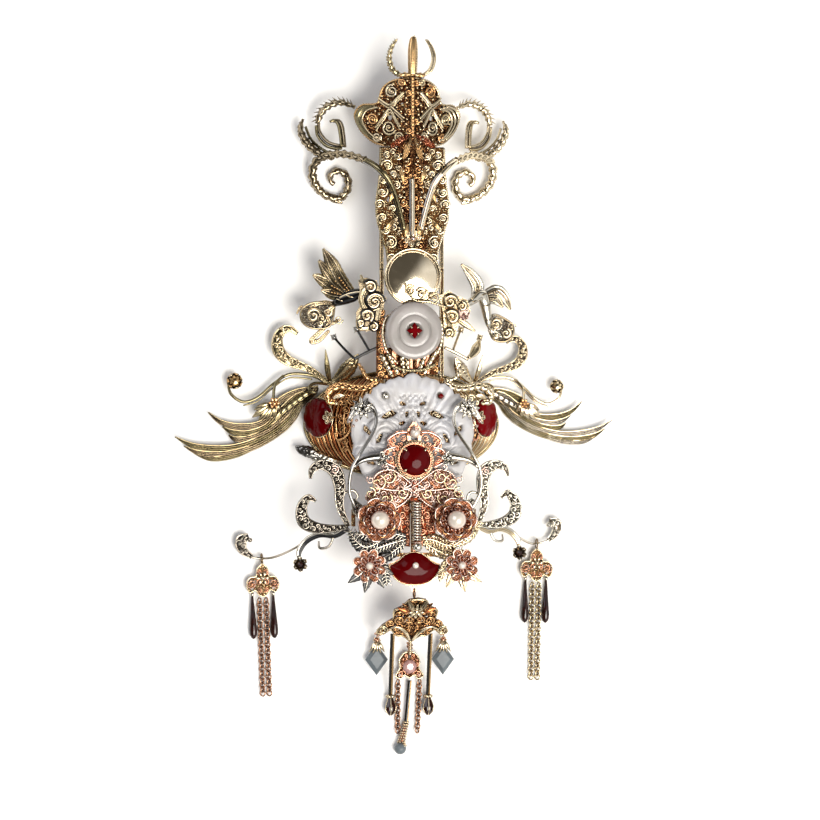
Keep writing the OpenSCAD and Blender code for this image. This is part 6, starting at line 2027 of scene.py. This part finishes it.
@dataclass
class Centre:
    """The centre stone in its beaded setting, the butterfly of filigree below it and the body bar."""

    at_y: float = -15.2
    z: float = 32.3
    stone_r: float = 6.6
    bar_z: float = 38.0

    def setting(self, pen: Pen) -> None:
        """Draws the milled bezel, the claws and the filigree wings beside the stone.

        Args:
            pen: draws the piece.
        """
        with pen.at(move(0, self.at_y, self.z)):
            pen.use(PALE).grains(circle(self.stone_r + 0.9, 40, 2.7), 1.05)
            pen.wire(circle(8.1, 30, 0.9, 1.0, end=6.1, last=True), Wire.ROPE, join=True)
            for _ in pen.ring(4, start=45):
                pen.wire([(7.4, 0, 0.6, 1.2), (7.3, 0, 3, 1.2), (6.2, 0, 4.3, 1.0), (5.4, 0, 4.5, 0.5)],
                    sides=8)
        edge = [(1.6, -2.6), (6, -2.4), (11.4, -5), (13.6, -9), (13.2, -15.6), (9, -19.6), (7.8, -22),
            (7.6, -12),
            (3, -7)]
        sites = packed(edge, 2.2, 0.8, 4)
        for _ in pen.both():
            pen.use(ROSE).scrolls(sites, self.z + 1.4, 0.6, 0.9)
            pen.use(BLUSH).wire([(2.4, -3.4, 33.6, 0.9), (7.4, -3.6, 33.6, 1), (11.6, -7, 33.6, 1),
                (8.6, -11.4, 33.6, 0.9)])
            pen.wire([(8, -9.6, 33.6, 0.9), (12.4, -11, 33.6, 1), (13.4, -15.4, 33.6, 1),
                (8.4, -18.4, 33.6, 0.9)])

    def stone(self, pen: Pen) -> None:
        """Draws the domed stone.

        Args:
            pen: draws the piece.
        """
        r = self.stone_r
        dome = [(r * math.cos(a), 1 + 3.4 * math.sin(a)) for a in np.linspace(0, math.pi / 2, 14)]
        with pen.at(move(0, self.at_y, self.z + 1.2)):
            pen.use(RED).turned([(0.1, 0), (r - 0.2, 0)] + dome, 72)

    def pearl(self, pen: Pen) -> None:
        """Draws the small pearl over the stone, with its claws.

        Args:
            pen: draws the piece.
        """
        pen.use(CREAM).ball(0, -3.6, self.z + 3.4, 4.3, 28)
        pen.use(BLUSH)
        for _ in pen.ring(6, move(0, -1.7, self.z + 3.6)):
            pen.wire([(0, 0, 1.6, 0.6), (1.3, 0, 1.2, 0.6), (1.6, 0, 0.2, 0.5)], sides=5)

    def butterfly(self, pen: Pen) -> None:
        """Draws the gauze wings with their wire loops.

        Args:
            pen: draws the piece.
        """
        z = self.z
        loops = [[(1.2, -25.6), (5, -22.4), (10, -19.4), (15.6, -20.6), (17.6, -24.4), (13, -27.6),
            (6, -27.8)],
            [(1.4, -27.4), (8, -28.2), (15, -27.6), (20, -30), (19.4, -34), (14, -36.4), (7, -35), (2, -31)]]
        below = [(1.8, -33.6), (12, -34), (13, -38), (9.6, -44), (8.6, -51.6), (1.8, -52.4)]
        seeds = ((8.6, -22.6, 1.9), (12.8, -22.4, 1.5), (9, -31.6, 2.1), (14.2, -31.8, 1.8),
            (4.6, -25.4, 1.2))
        tips = ((16.4, -27.6, 2.0), (19.2, -23.6, 1.8), (12.6, -18.4, 1.6), (4.4, -30.6, 1.6),
            (19.8, -31.2, 1.7))
        curls = ((16.0, -25.0, 3.6), (11.4, -22.6, 3.1), (19.4, -29.4, 2.6), (5.4, -29.4, 2.5),
            (12.4, -31.8, 2.8))
        for _ in pen.both():
            for k, loop in enumerate(loops):
                pen.use(GAUZE)
                pen.relief(loop, [], z + 0.1, lambda at, near: z + 0.7 + 0.5 * np.clip(near / 3, 0, 1), 0.9)
                pen.use(BLUSH).wire(flat(loop, z + 1.3, 1.0), Wire.ROPE, join=True)
                pen.scrolls(packed(loop, 1.9, 0.75, 3 + k), z + 1.5, 0.6, 0.9)
            pen.use(SHOT_ROSE).relief(below, [], 32.5, 33.0, 1.4)
            pen.use(ROSE).scrolls(packed(below, 2.2, 0.8, 12), 33.5, 0.7, 1.1)
            pen.use(BLUSH)
            for x, y, r in seeds:
                pen.wire(spiral(x, y, z + 1.6, r, 1.5, 120, 0.6))
                pen.grains([(x, y, z + 1.8)], 0.9)
            for x, y, r in tips:
                pen.wire(spiral(x, y, z + 1.8, r, -1.4, 60, 0.75))
            pen.use(CHAMPAGNE)
            for x, y, r in curls:
                pen.wire(spiral(x, y, z + 2.1, r, 1.25, 200 - 6 * x, 0.9), sides=7)
            pen.use(PALE)
            for _ in pen.fan(range(50, 160, 22), move(3.4, -21.4, z + 1.6)):
                pen.blade([(0, 0, 0, 0.6), (2.6, 0, 0.5, 1.2), (4.6, 0, 0.2, 0.2)], 0.3, 0.3, 0)
        pen.use(SHOT_ROSE).relief([(-1.7, -33), (1.7, -33), (1.7, -24), (-1.7, -24)], [], z, z + 1.2, 2)
        pen.use(BLUSH).scrolls([(0, -24.6, 1.6), (0, -27.6, 1.5), (0, -30.4, 1.4)], z + 1.6, 0.6, 1.0)

    def body_bar(self, pen: Pen) -> None:
        """Draws the ribbed bar that runs down from the butterfly, with a rose bead at its end.

        Args:
            pen: draws the piece.
        """
        z = self.bar_z
        pen.use(ROSE).relief([(-1.5, -54), (1.5, -54), (1.5, -33), (-1.5, -33)], [], z,
            lambda at, near: z + 1.2 + 0.4 * np.clip(near, 0, 1), 0.8)
        pen.use(SILVER)
        for k in range(14):
            y = -33.6 - 1.2 * k
            pen.wire([(-1.9, y, z + 0.9, 0.9), (0, y, z + 2.1, 1.1), (1.9, y, z + 0.9, 0.9)], sides=7)
        pen.use(PALE)
        for x in (-1.5, 1.5):
            pen.grains_along([(x, -33.4, z + 1.3, 1), (x, -50.4, z + 1.3, 1)], 0.8, 0.9)
        pen.use(SILVER).ball(0, -52.2, z + 3, 4.2, 20)
        pen.use(BLUSH).grains([(c, -50.4, z + 3 + s) for c, s in circle(1.4, 16, end=6, last=True)], 0.8)

    def build(self, shop: Workshop) -> None:
        """Builds the centre.

        Args:
            shop: makes the pieces.
        """
        shop.dress(ROSE, "stone_setting")
        shop.draw(self.setting, "stone_setting_milled", "rose_gold")
        shop.draw(self.stone, "centre_stone_domed", "red_stone", "centre_stone")
        shop.draw(self.pearl, "top_pearl_capped", "pearl", "top_pearl")
        shop.draw(self.butterfly, "butterfly_gauze", "rose_gold", "butterfly")
        shop.draw(self.body_bar, "body_bar_ribbed", "rose_gold", "body_bar")


@dataclass
class Flowers:
    """The pearl flowers, the leaves under them and the small flowers at the foot."""

    pearl_at: tuple[float, float] = (16.6, -40.7)
    pearl_z: float = 43.6
    pearl_d: float = 8.0
    small_at: tuple[float, float] = (20.1, -60.4)
    small_z: float = 35.6
    leaf_z: float = 32.6
    left_leaves: tuple = (((-3.4, -49, 1.6), (-10.6, -51, 4.6), (-17.6, -53, 4), (-24.6, -51.4, 0.4)),
        ((-3.8, -50.2, 1.6), (-11.4, -55.6, 4.2), (-18, -58, 3.2), (-22.6, -57.4, 0.4)),
        ((-3.8, -48, 1.6), (-11, -46.6, 3.4), (-20, -47.4, 3.2), (-26.6, -46.4, 0.4)),
        ((-15, -50, 1.6), (-21.4, -52.4, 4.2), (-26, -49.4, 3.2), (-28.8, -44.6, 0.4)),
        ((-15.4, -56.4, 1.6), (-13.8, -61.2, 3.4), (-12.6, -66, 2.6), (-12.2, -69, 0.4)))
    right_leaves: tuple = (((3.4, -49, 1.6), (8.4, -49.6, 4.2), (13.4, -51.6, 3.6), (18, -51.8, 0.5)),
        ((4, -50.4, 1.6), (10.6, -54.4, 3.8), (17, -55.4, 3.2), (21.6, -54, 0.6)),
        ((16.4, -52, 2), (22.4, -48.4, 4), (26, -44.4, 3.2), (28.6, -41, 0.4)),
        ((13, -49, 1.6), (17, -46.8, 4.4), (22.6, -45, 3.4), (26.6, -47.4, 0.4)),
        ((14.4, -57.4, 1.6), (13, -61.2, 3), (11.6, -64.6, 2.2), (10.8, -67.4, 0.4)))

    def pearl_flower(self, pen: Pen, side: Side) -> None:
        """Draws two rings of gauze petals and the grains round the pearl's seat.

        Args:
            pen: draws the piece.
            side: the side that it is on.
        """
        x, y = self.pearl_at
        with pen.at(move(side.value * x, y, self.pearl_z - 5.8)):
            for tier, (length, width, lift, fill) in enumerate(((8.2, 7.0, 2.0, GAUZE),
                (5.8, 4.6, 3.0, SHOT_ROSE))):
                for _ in pen.ring(7, start=30 * tier):
                    with pen.at(move(1.0, 0, 0.4 + 0.8 * tier)):
                        pen.petal(length, width, lift, fill, BLUSH, 0.4)
            pen.use(ROSE).turned([(0.1, -0.8), (3, -0.8), (4.2, 0.8), (4.4, 1.6), (3.2, 1.4), (0.1, 1)], 32)
            pen.use(WARM)
            for k in pen.ring(7, start=25.7):
                with pen.at(move(6.4, 0, 1.6)):
                    pen.wire(spiral(0, 0, 0.6, 1.7, 1.5 * (-1) ** k, 180, 0.7))
            pen.use(BLUSH).grains(circle(4.5, 16, 2.5), 1.2)

    def small_flower(self, pen: Pen, side: Side) -> None:
        """Draws a small flower with a tiny pearl and a leaf.

        Args:
            pen: draws the piece.
            side: the side that it is on.
        """
        ground, rib = side.pick((JET, SILVER), (PALE, POLISH))
        with pen.at(on_side(side), move(*self.small_at, self.small_z)):
            for count, start, z, *size, fill in ((8, 20, 0, 6.8, 3.9, 0.9, GAUZE),
                (6, 46, 0.5, 4.4, 3.2, 1.7, SHOT_ROSE)):
                for _ in pen.ring(count, start=start):
                    with pen.at(move(0.4, 0, z)):
                        pen.petal(*size, fill, BLUSH, 0.4)
            for _ in pen.fan((232, 196, 276, 318, 150)):
                leaf = [(1, 0, -0.1, 2.6), (6.6, 0, -0.6, 4.8), (11.6, 0.6, -1, 0.4)]
                pen.use(ground).blade(leaf, 0.5, 0.6, 2, 0.3, 0.2, 1.8, 0.2)
                pen.use(rib).wire([(2, 0, 0.9, 0.7), (6.6, 0, 0.6, 0.7), (11, 0.5, -0.4, 0.3)], sides=5)
            pen.use(CREAM).ball(0, 0, 1.6, 3.4, 20)
            pen.use(BLUSH).grains(circle(2, 10, 1.3), 0.8)

    def pearl(self, pen: Pen, side: Side) -> None:
        """Draws a large pearl."""
        pen.use(CREAM).ball(side.value * self.pearl_at[0], self.pearl_at[1], self.pearl_z, self.pearl_d, 48)

    def leaf(self, pen: Pen, side: Side) -> None:
        """Draws the veined leaves under a pearl flower.

        Args:
            pen: draws the piece.
            side: the side that it is on.
        """
        leaves = [np.array([(x, y, self.leaf_z + 0.3 * k, w) for x, y, w in rows])
            for k, rows in enumerate(side.pick(self.left_leaves, self.right_leaves))]
        pen.use(side.pick(JET, PALE))
        for rows in leaves:
            pen.blade(shifted(rows, 0, 0, 0.5, 1.6), 0.6, 0.9, 2, 0.35, 0.2, 2.2, 0.2, 0.3)
        pen.use(side.pick(SILVER, POLISH))
        for rows in leaves:
            rib = rows * (1, 1, 1, 0.1) + (0, 0, 1.5, 0.3)
            pen.wire(rib)
            for way in (-1, 1):
                pen.barbs(rib, 1.5, 2.2, 0.7, way)

    def build(self, shop: Workshop) -> None:
        """Builds the flowers, pearls and leaves.

        Args:
            shop: makes the pieces.
        """
        for side in Side:
            for draw, name, how, slot in ((self.pearl_flower, "pearl_flower", "gauze", "rose_gold"),
                (self.pearl, "pearl", "large", "pearl"),
                (self.leaf, "leaf", "veined", side.pick("dark_metal", "pale_gold")),
                (self.small_flower, "small_flower", "gauze", "rose_gold")):
                shop.draw(partial(draw, side=side), f"{name}_{side.word}_{how}", slot, f"{name}_{side.word}")


@dataclass
class Crescent:
    """The red crescent stone in its toothed setting."""

    y: float = -60.5
    z: float = 32.3
    half: Rows = ((0, 5.6), (1.8, 5.3), (3.6, 4.6), (5.4, 3.3), (7, 1.8), (8.8, 0.8), (10.4, 0.2),
        (10.2, -1.6),
        (9.4, -3.4), (8.1, -5.1), (6.4, -6.4), (4.8, -7.2), (3, -7.6), (0, -7.8))

    def build(self, shop: Workshop) -> None:
        """Builds the stone and its teeth.

        Args:
            shop: makes the pieces.
        """
        shop.dress(ROSE, "crescent_setting")
        gem, teeth = Pen(), Pen()
        base, outline = self.z + 1.2, whole(self.half)
        with gem.at(move(0, self.y, 0)):
            gem.use(RED).relief(outline, [], base,
                lambda at, near: base + 0.8 + 2.4 * np.sin(np.clip(near / 5.2, 0, 1) * math.pi / 2), 0.5)
        shop.make("crescent_stone_domed", gem, "red_stone", "crescent_stone")
        with teeth.at(move(0, self.y, 0)):
            teeth.use(PALE)
            for _ in teeth.both():
                teeth.barbs(flat(self.half[6:], self.z + 1.0, 1.0), 1.15, 1.9, 0.0, 1)
            teeth.wire([(x * 1.04, y * 1.05, self.z + 1.1, 0.7) for x, y in outline], Wire.ROPE, join=True)
            teeth.use(CREAM).ball(0, 0.2, base + 3.2, 2.8, 16, 0.7)
        shop.make("crescent_teeth", teeth, "rose_gold")


@dataclass
class Tassel:
    """The middle tassel: medallions, chains, rods with garnet drops, glass rhombs, and a ball on a tube."""

    hang: tuple[float, float, float] = (1.6, -72.1, 34.0)
    tilt: float = 45.0
    x: float = 3.1
    foot_z: float = 2.4

    def medallion(self, pen: Pen) -> None:
        """Draws the filigree on the upper medallion.

        Args:
            pen: draws the piece.
        """
        half = [(0, -2.8), (3.6, -3.6), (6, -7.6), (9.4, -10), (9.2, -15.4), (13.2, -19.4), (15.4, -23.2),
            (12.6, -24.4), (9.6, -21.8), (6.6, -25.4), (3.4, -26), (0, -29.6)]
        sites = packed([(0.4, -2.8)] + half[1:-1] + [(0.4, -29)], 2.2, 0.75, 6)
        with pen.at(move(*self.hang), turn(self.tilt, "X")):
            for _ in pen.both():
                pen.use(WARM).scrolls(sites, 1.5, 0.7, 1.1)
                for k in pen.fan((70, 46, 20), move(1.4, -9.6, 1.7)):
                    pen.use((BROWN_GILT, UMBER, COPPER)[k])
                    pen.blade([(0, 0, 0, 1.6), (3.4, 0, 0.8, 3.8), (7.4, 0, 0.5, 0.5)], 0.4, 0.8, 2, 0.3, 0.2)
                for x, y, r in ((2.4, -14.2, 2.1), (6.6, -14.8, 2.1), (10.4, -16.8, 1.8)):
                    pen.use(COPPER).ball(x, y, 1.3, r * 1.4, 12, 0.6)
                    pen.use(WARM).wire(spiral(x, y, 2.3, r, 1.6, 100 * x, 0.8), Wire.ROPE)
                pen.use(CHAMPAGNE).wire(flat(half, 1.3, 0.9), Wire.ROPE)
                pen.wire(spiral(12.8, -21.2, 2.0, 2.2, 1.6, 40, 0.9), Wire.ROPE)
                bow = [(0.6, -27.4, 2.2, 1.2), (3.4, -21.4, 2.6, 1.7), (7.4, -18.8, 2.4, 1.2),
                    (10.6, -20.4, 2.2, 0.8)]
                pen.use(PALE).wire(bow, sides=8)
            pen.use(CHAMPAGNE).ball(0, -9.4, 2.0, 3.0, 14)
            pen.use(PALE)
            for _ in pen.ring(8, move(0, -9.4, 1.9)):
                pen.blade([(0.8, 0, 0.4, 0.8), (2.6, 0, 0.9, 1.6), (4.6, 0, 0.4, 0.3)], 0.3, 0.4, 1)

    def lower_medallion(self, pen: Pen) -> None:
        """Draws the lower medallion's cut stone and filigree.

        Args:
            pen: draws the piece.
        """
        half = [(0, 1), (2.4, 0.4), (4.4, -2.6), (4.2, -6), (6, -9.4), (3.6, -10.6), (2.4, -9), (0, -10.4)]
        with pen.at(move(self.x, -99.8, self.foot_z)):
            for _ in pen.both():
                pen.use(PALE).wire(flat(half, 1.2, 0.7), Wire.ROPE)
                pen.use(ROSE)
                pen.scrolls(packed([(0.3, 0.6)] + half[1:-1] + [(0.3, -10)], 1.3, 0.6, 2), 1.5, 0.5, 0.8)
            with pen.use(SMOKY_ROSE, soft=False).at(move(0, -5.4, 1.2)):
                pen.turned([(0.1, 0), (2.8, 0), (3.2, 0.5), (2.6, 1.4), (1.5, 2.1), (0.1, 2.1)], 7)

    def rod_drops(self, pen: Pen) -> None:
        """Draws the two dark rods with a capped garnet drop on each.

        Args:
            pen: draws the piece.
        """
        for side in Side:
            x0, x1 = self.hang[0] + side.value * 8.3, self.x + side.value * 8.3
            rod = [(x0, -90.4, 17.4, 1.1), ((x0 + x1) / 2, -104.5, 10, 1.1), (x1, -118.4, 2.7, 1)]
            # the bronze wire on the right of each dark rod paints its lit side
            for shift, tone in ((-0.45, JET), (0.45, BRONZE)):
                pen.use(tone).wire(shifted(rod, shift), sides=8)
            cut_drop(pen, x1, -117.6, 2.7, 8.8, 4.9)
            pen.use(PALE)
            for degrees in (-62, 0, 62):
                lean, rise = math.sin(math.radians(degrees)), math.cos(math.radians(degrees))
                bulge = ((-118, 0.7), (-120, 1.6), (-122.6, 2.5), (-124.4, 2.3), (-126.4, 0.5))
                pen.wire([(x1 + r * lean, y, 2.7 + r * rise, 0.45) for y, r in bulge], sides=5)

    def chain_caps(self, pen: Pen) -> None:
        """Draws the gold caps of the glass rhombs and the beads between the medallions.

        Args:
            pen: draws the piece.
        """
        beads = [(1.6, -93.9, 14.4, 1), (2.4, -96.6, 9, 1), (3.1, -99.6, 4.6, 1)]
        pen.use(PALE).grains_along(beads, 1.6, 1.5)
        for side in Side:
            x = self.x + side.value * 14.6
            for _ in pen.fan(range(-122, -42, 16), move(x, -93.4, 4.2)):
                pen.blade([(0, 0, 0.8, 1.2), (3.0, 0, 1.4, 1.5), (6.2, 0, 0.6, 0.3)], 0.4, 0.4, 0)
            pen.use(ROSE).ball(x, -93.6, 4.5, 2.6, 12)
            pen.use(PALE).grains(circle(1.4, 8, 4.9, x=x, y=-93.6, end=6.28), 0.9)

    def tube(self, pen: Pen) -> None:
        """Draws the tube, its gold cap and the glass ball.

        Args:
            pen: draws the piece.
        """
        rod = [(3.4, -111.2, 2.2, 1.8), (2.6, -120.8, 2.2, 1.8), (1.75, -130.2, 2.2, 1.8)]
        pen.use(JET).wire(rod, sides=12)
        # the bronze wire along the black tube's upper right is a painted highlight
        pen.use(BRONZE).wire([(x + 0.5, y, 2.7, 0.7) for x, y, _, _ in rod])
        pen.use(PALE)
        for part in np.linspace(0, 1, 9):
            around = circle(1.0 + 0.55 * part, 9, end=6.28)
            pen.grains([(1.9 - 2.2 * part + c, -129.4 - 8.6 * part, 2.2 + s) for c, s in around], 1.0)
        pen.use(ROSE).wire([(1.8, -129.8, 2.2, 1.6), (0.6, -134.2, 2.3, 2.0), (-0.3, -138.3, 2.4, 2.6)],
            sides=10)
        pen.use(MIST).ball(-0.8, -140.8, 2.6, 5.2, 32)
        pen.use(PALE)
        for _ in pen.ring(6, move(-0.5, -138.9, 2.5), turn(14), turn(90, "X")):
            pen.wire([(0.3, 0, 0.2, 0.8), (1.8, 0, 0.3, 0.8), (2.2, 0, 1.6, 0.4)], sides=5)

    def build(self, shop: Workshop) -> None:
        """Builds the tassel.

        Args:
            shop: makes the pieces.
        """
        shop.dress(UMBER, "medallion", "tassel_medallion")
        shop.dress(RUSSET, "tassel_chains")
        shop.dress(MIST, "rhombus_left", "rhombus_right")
        shop.draw(self.medallion, "medallion_filigree", "rose_gold")
        shop.draw(self.lower_medallion, "tassel_medallion_filigree", "rose_gold")
        shop.draw(self.rod_drops, "rod_drops_capped", "garnet", "rod_drops")
        shop.draw(self.chain_caps, "rhombus_caps", "pale_gold")
        shop.draw(self.tube, "tassel_tube_beaded", "pale_gold", "tassel_tube")


def cut_drop(pen: Pen, x: float, y: float, z: float, length: float, width: float) -> None:
    """Draws a cut drop that hangs down from a place, with a gold cap.

    Args:
        pen: draws the piece.
        x: its place across.
        y: its place up.
        z: its height.
        length: from its root to its tip.
        width: at its widest.
    """
    r = width / 2
    shape = [(0.1, 0), (r * 0.34, 0.0), (r * 0.6, length * 0.25), (r, length * 0.58),
        (r * 0.9, length * 0.76), (r * 0.5, length * 0.93), (0.05, length)]
    cap = [(0.1, -0.9), (r * 0.3, -0.7), (r * 0.5, 0.2), (r * 0.62, length * 0.14), (0.1, length * 0.16)]
    with pen.at(move(x, y, z), turn(90, "X")):
        pen.use(GARNET, soft=False).turned(shape, 10)
        pen.use(PALE).turned(cap, 12)
        pen.grains(circle(r * 0.55, 6, 0.5, end=6.28), 0.36 * width)


@dataclass
class Pendant:
    """A side pendant that lies flat: a filigree trefoil, two garnet drops and a double chain."""

    side: Side
    x: float
    y: float
    lean: float

    def build(self, shop: Workshop) -> None:
        """Builds the pendant.

        Args:
            shop: makes the pieces.
        """
        word = self.side.word
        shop.dress(SHOT, f"pendant_cluster_{word}")
        shop.dress(self.side.pick(RUSSET, CHAMPAGNE), f"pendant_chains_{word}")
        pen, drops = Pen(), Pen()
        place = (move(self.x, self.y), turn(self.lean))
        half = [(0, -2.1), (2.2, -4.2), (2.8, -7.4), (5.6, -8), (7, -11), (5.8, -14.2), (3.2, -13.4),
            (1.8, -15.4),
            (0, -16.2)]
        with pen.at(*place):
            for _ in pen.both():
                pen.use(PALE).wire(flat(half, 3.3, 0.7), Wire.ROPE)
                curls = [(4.8, -10.6, 1.9), (1.7, -5.8, 1.3), (1.5, -10, 1.4), (1.3, -13.2, 1.2)]
                pen.use(ROSE).scrolls(curls, 3.6, 0.5, 0.9)
                pen.use(BLUSH).grains(circle(1.7, 9, 3.7, x=5.0, y=-10.8, end=6.28), 0.9)
            pen.use(PALE).ball(0, -8.2, 3.8, 2.2, 12)
            for _ in pen.ring(6, move(0, -8.2, 3.5)):
                pen.blade([(0.6, 0, 0, 0.6), (2, 0, 0.3, 1.3), (3.3, 0, 0, 0.2)], 0.3, 0.3, 0)
        for x in (-4.6, 4.6):
            with drops.at(*place):
                long_drop(drops, x, -14.6, 1.8, 20.0, 3.5)
        shop.make(f"pendant_trefoil_{word}", pen, "pale_gold")
        shop.make(f"pendant_drops_{word}_cut", drops, "garnet", f"pendant_drops_{word}")


def long_drop(pen: Pen, x: float, y: float, z: float, length: float, width: float) -> None:
    """Draws a long garnet teardrop with a small ring at its top.

    Args:
        pen: draws the piece.
        x: its place across.
        y: its place up.
        z: its height.
        length: from its root to its tip.
        width: at its widest.
    """
    r = width / 2
    shape = [(0.1, 0.6), (r * 0.3, 0.8), (r * 0.42, length * 0.2), (r * 0.7, length * 0.5), (r, length * 0.8),
        (r * 0.92, length * 0.9), (r * 0.5, length * 0.97), (0.05, length)]
    with pen.at(move(x, y, z), turn(90, "X")):
        pen.use(GARNET).turned(shape, 20)
        pen.use(SILVER).turned([(0.1, -0.4), (0.7, -0.3), (0.9, 0.6), (0.6, 1.3), (0.1, 1.4)], 12)


@dataclass
class Studio:
    """The plain board under the crown, the lights and the camera."""

    target: tuple[float, float, float] = (-0.44, 6.2, 25.0)
    distance: float = 2200.0
    view: float = 352.6
    tilt: float = 10.0
    board: float = 1500.0
    gap: float = 0.15
    drop: float = 40.0
    key_power: float = 56.0
    fill_power: float = 20.0
    air: float = 0.85

    def lay_board(self, shop: Workshop) -> None:
        """Lays the board that the crown lies on, with its edges turned down.

        Args:
            shop: makes the pieces.
        """
        count, pen = 41, Pen()
        u = np.linspace(-1, 1, count) * self.board
        x, y = np.meshgrid(u, u, indexing="ij")
        edge = np.clip(np.maximum(np.abs(x), np.abs(y)) / self.board - 0.9, 0, 1) * 10
        z = -self.gap - self.drop * edge**2
        i, j = np.meshgrid(np.arange(count - 1), np.arange(count - 1), indexing="ij")
        a = i * count + j
        quads = np.stack([a, a + count, a + count + 1, a + 1], axis=-1).reshape(-1, 4).tolist()
        pen.use(BOARD).add(np.stack([x, y, z], axis=-1).reshape(-1, 3), quads)
        shop.solid("board", pen)

    def light(self, name: str, place: Row, size: float, power: float, colour: str) -> None:
        """Sets up a softbox that faces the crown.

        Args:
            name: the object's name.
            place: where it stands.
            size: its width, in metres.
            power: its power, in watts.
            colour: the hex value.
        """
        lamp = bpy.data.lights.new(name, "AREA")
        lamp.shape = "DISK"
        lamp.size = size
        lamp.energy = power
        lamp.color = linear(colour)[:3]
        made = bpy.data.objects.new(name, lamp)
        made.location = Vector(place) * MM
        aim = Vector(self.target) * MM - made.location
        made.rotation_euler = aim.to_track_quat("-Z", "Y").to_euler()
        bpy.context.scene.collection.objects.link(made)

    def surroundings(self) -> None:
        """Makes the room: bright on the right, dim on the left, so that polished metal shows both."""
        world = bpy.data.worlds.new("studio")
        bpy.context.scene.world = world
        world.use_nodes = True
        tree = world.node_tree
        tree.nodes.clear()
        where = add_node(tree, "TexCoord").outputs["Generated"]
        lean = add_node(tree, "VectorMath", {0: where}, {1: (0.78, -0.58, 0.1)}, operation="DOT_PRODUCT")
        window = add_node(tree, "MapRange", {"Value": lean.outputs["Value"]},
            {"From Min": 0.05, "From Max": 0.4}, interpolation_type="SMOOTHSTEP")
        height = add_node(tree, "SeparateXYZ", {0: where})
        horizon = add_node(tree, "MapRange", {"Value": height.outputs["Z"]},
            {"From Min": 0.12, "From Max": 0.4}, interpolation_type="SMOOTHSTEP")
        share = add_node(tree, "Math", {0: window.outputs["Result"], 1: horizon.outputs["Result"]},
            operation="MULTIPLY")
        tone = add_node(tree, "Mix", {0: share.outputs["Value"]},
            {6: linear("#5a5752"), 7: linear("#ffffff")}, data_type="RGBA")
        low = add_node(tree, "MapRange", {"Value": height.outputs["Z"]}, {"From Min": 0.02, "From Max": 0.06})
        tone = add_node(tree, "Mix", {0: low.outputs["Result"], 7: tone.outputs[2]}, {6: linear("#f2f1ee")},
            data_type="RGBA")
        light = add_node(tree, "Background", {"Color": tone.outputs[2]}, {"Strength": self.air})
        add_node(tree, "OutputWorld", {"Surface": light.outputs["Background"]})

    def camera(self) -> None:
        """Sets the camera as the photograph has it: above the crown, tilted towards its left."""
        a = math.radians(self.tilt)
        right, up = Vector((math.cos(a), 0, math.sin(a))), Vector((0, 1, 0))
        back = right.cross(up)
        data = bpy.data.cameras.new("camera")
        data.sensor_width = 36.0
        data.lens = 18.0 / (self.view / 2 / self.distance)
        data.clip_start, data.clip_end = 0.1, 20.0
        made = bpy.data.objects.new("camera", data)
        place = Vector(self.target) * MM + back * self.distance * MM
        made.matrix_world = Matrix.Translation(place) @ Matrix((right, up, back)).transposed().to_4x4()
        bpy.context.scene.collection.objects.link(made)
        bpy.context.scene.camera = made

    def build(self, shop: Workshop) -> None:
        """Sets up the studio.

        Args:
            shop: makes the pieces.
        """
        self.lay_board(shop)
        self.surroundings()
        self.light("key_softbox", (450, -680, 1950), 1.4, self.key_power, "#fffaf2")
        self.light("fill_softbox", (-1500, 900, 1500), 1.8, self.fill_power, "#f4f6ff")
        self.camera()
        bpy.context.scene.view_settings.view_transform = "Standard"


def main() -> None:
    """Builds the crown piece by piece, then the studio."""
    logging.basicConfig(level=logging.INFO, format="%(name)s %(message)s")
    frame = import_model()
    shop = Workshop(frame["nodes"])
    shop.dress(SHOT, "frame")
    parts = [Cage(), Head(), Branch(Side.LEFT), Branch(Side.RIGHT), Discs(), Clouds(), Birds(), Plaque(),
        Wing(Side.LEFT, (36.2, 15.6), 1.0, 0.0), Wing(Side.RIGHT, (35.8, 14.9), 0.88, 5.5),
        UpperSpray(Side.LEFT, 1.06, 1.0), UpperSpray(Side.RIGHT, 0.92, -2.0), Horn(Side.LEFT),
        Horn(Side.RIGHT), LowerSpray(Side.LEFT, (28.0, -41.6), 1.0, -4.0),
        LowerSpray(Side.RIGHT, (28.0, -41.2), 0.92, 4.0), Crane(Side.LEFT), Crane(Side.RIGHT), Centre(),
        Flowers(), Crescent(), Tassel(), Pendant(Side.LEFT, -61.6, -58.2, 2.0),
        Pendant(Side.RIGHT, 59.6, -52.2, -1.0)]
    for part in parts:
        part.build(shop)
        LOG.info("built %s", type(part).__name__)
    Studio().build(shop)


if __name__ == "__main__":
    main()
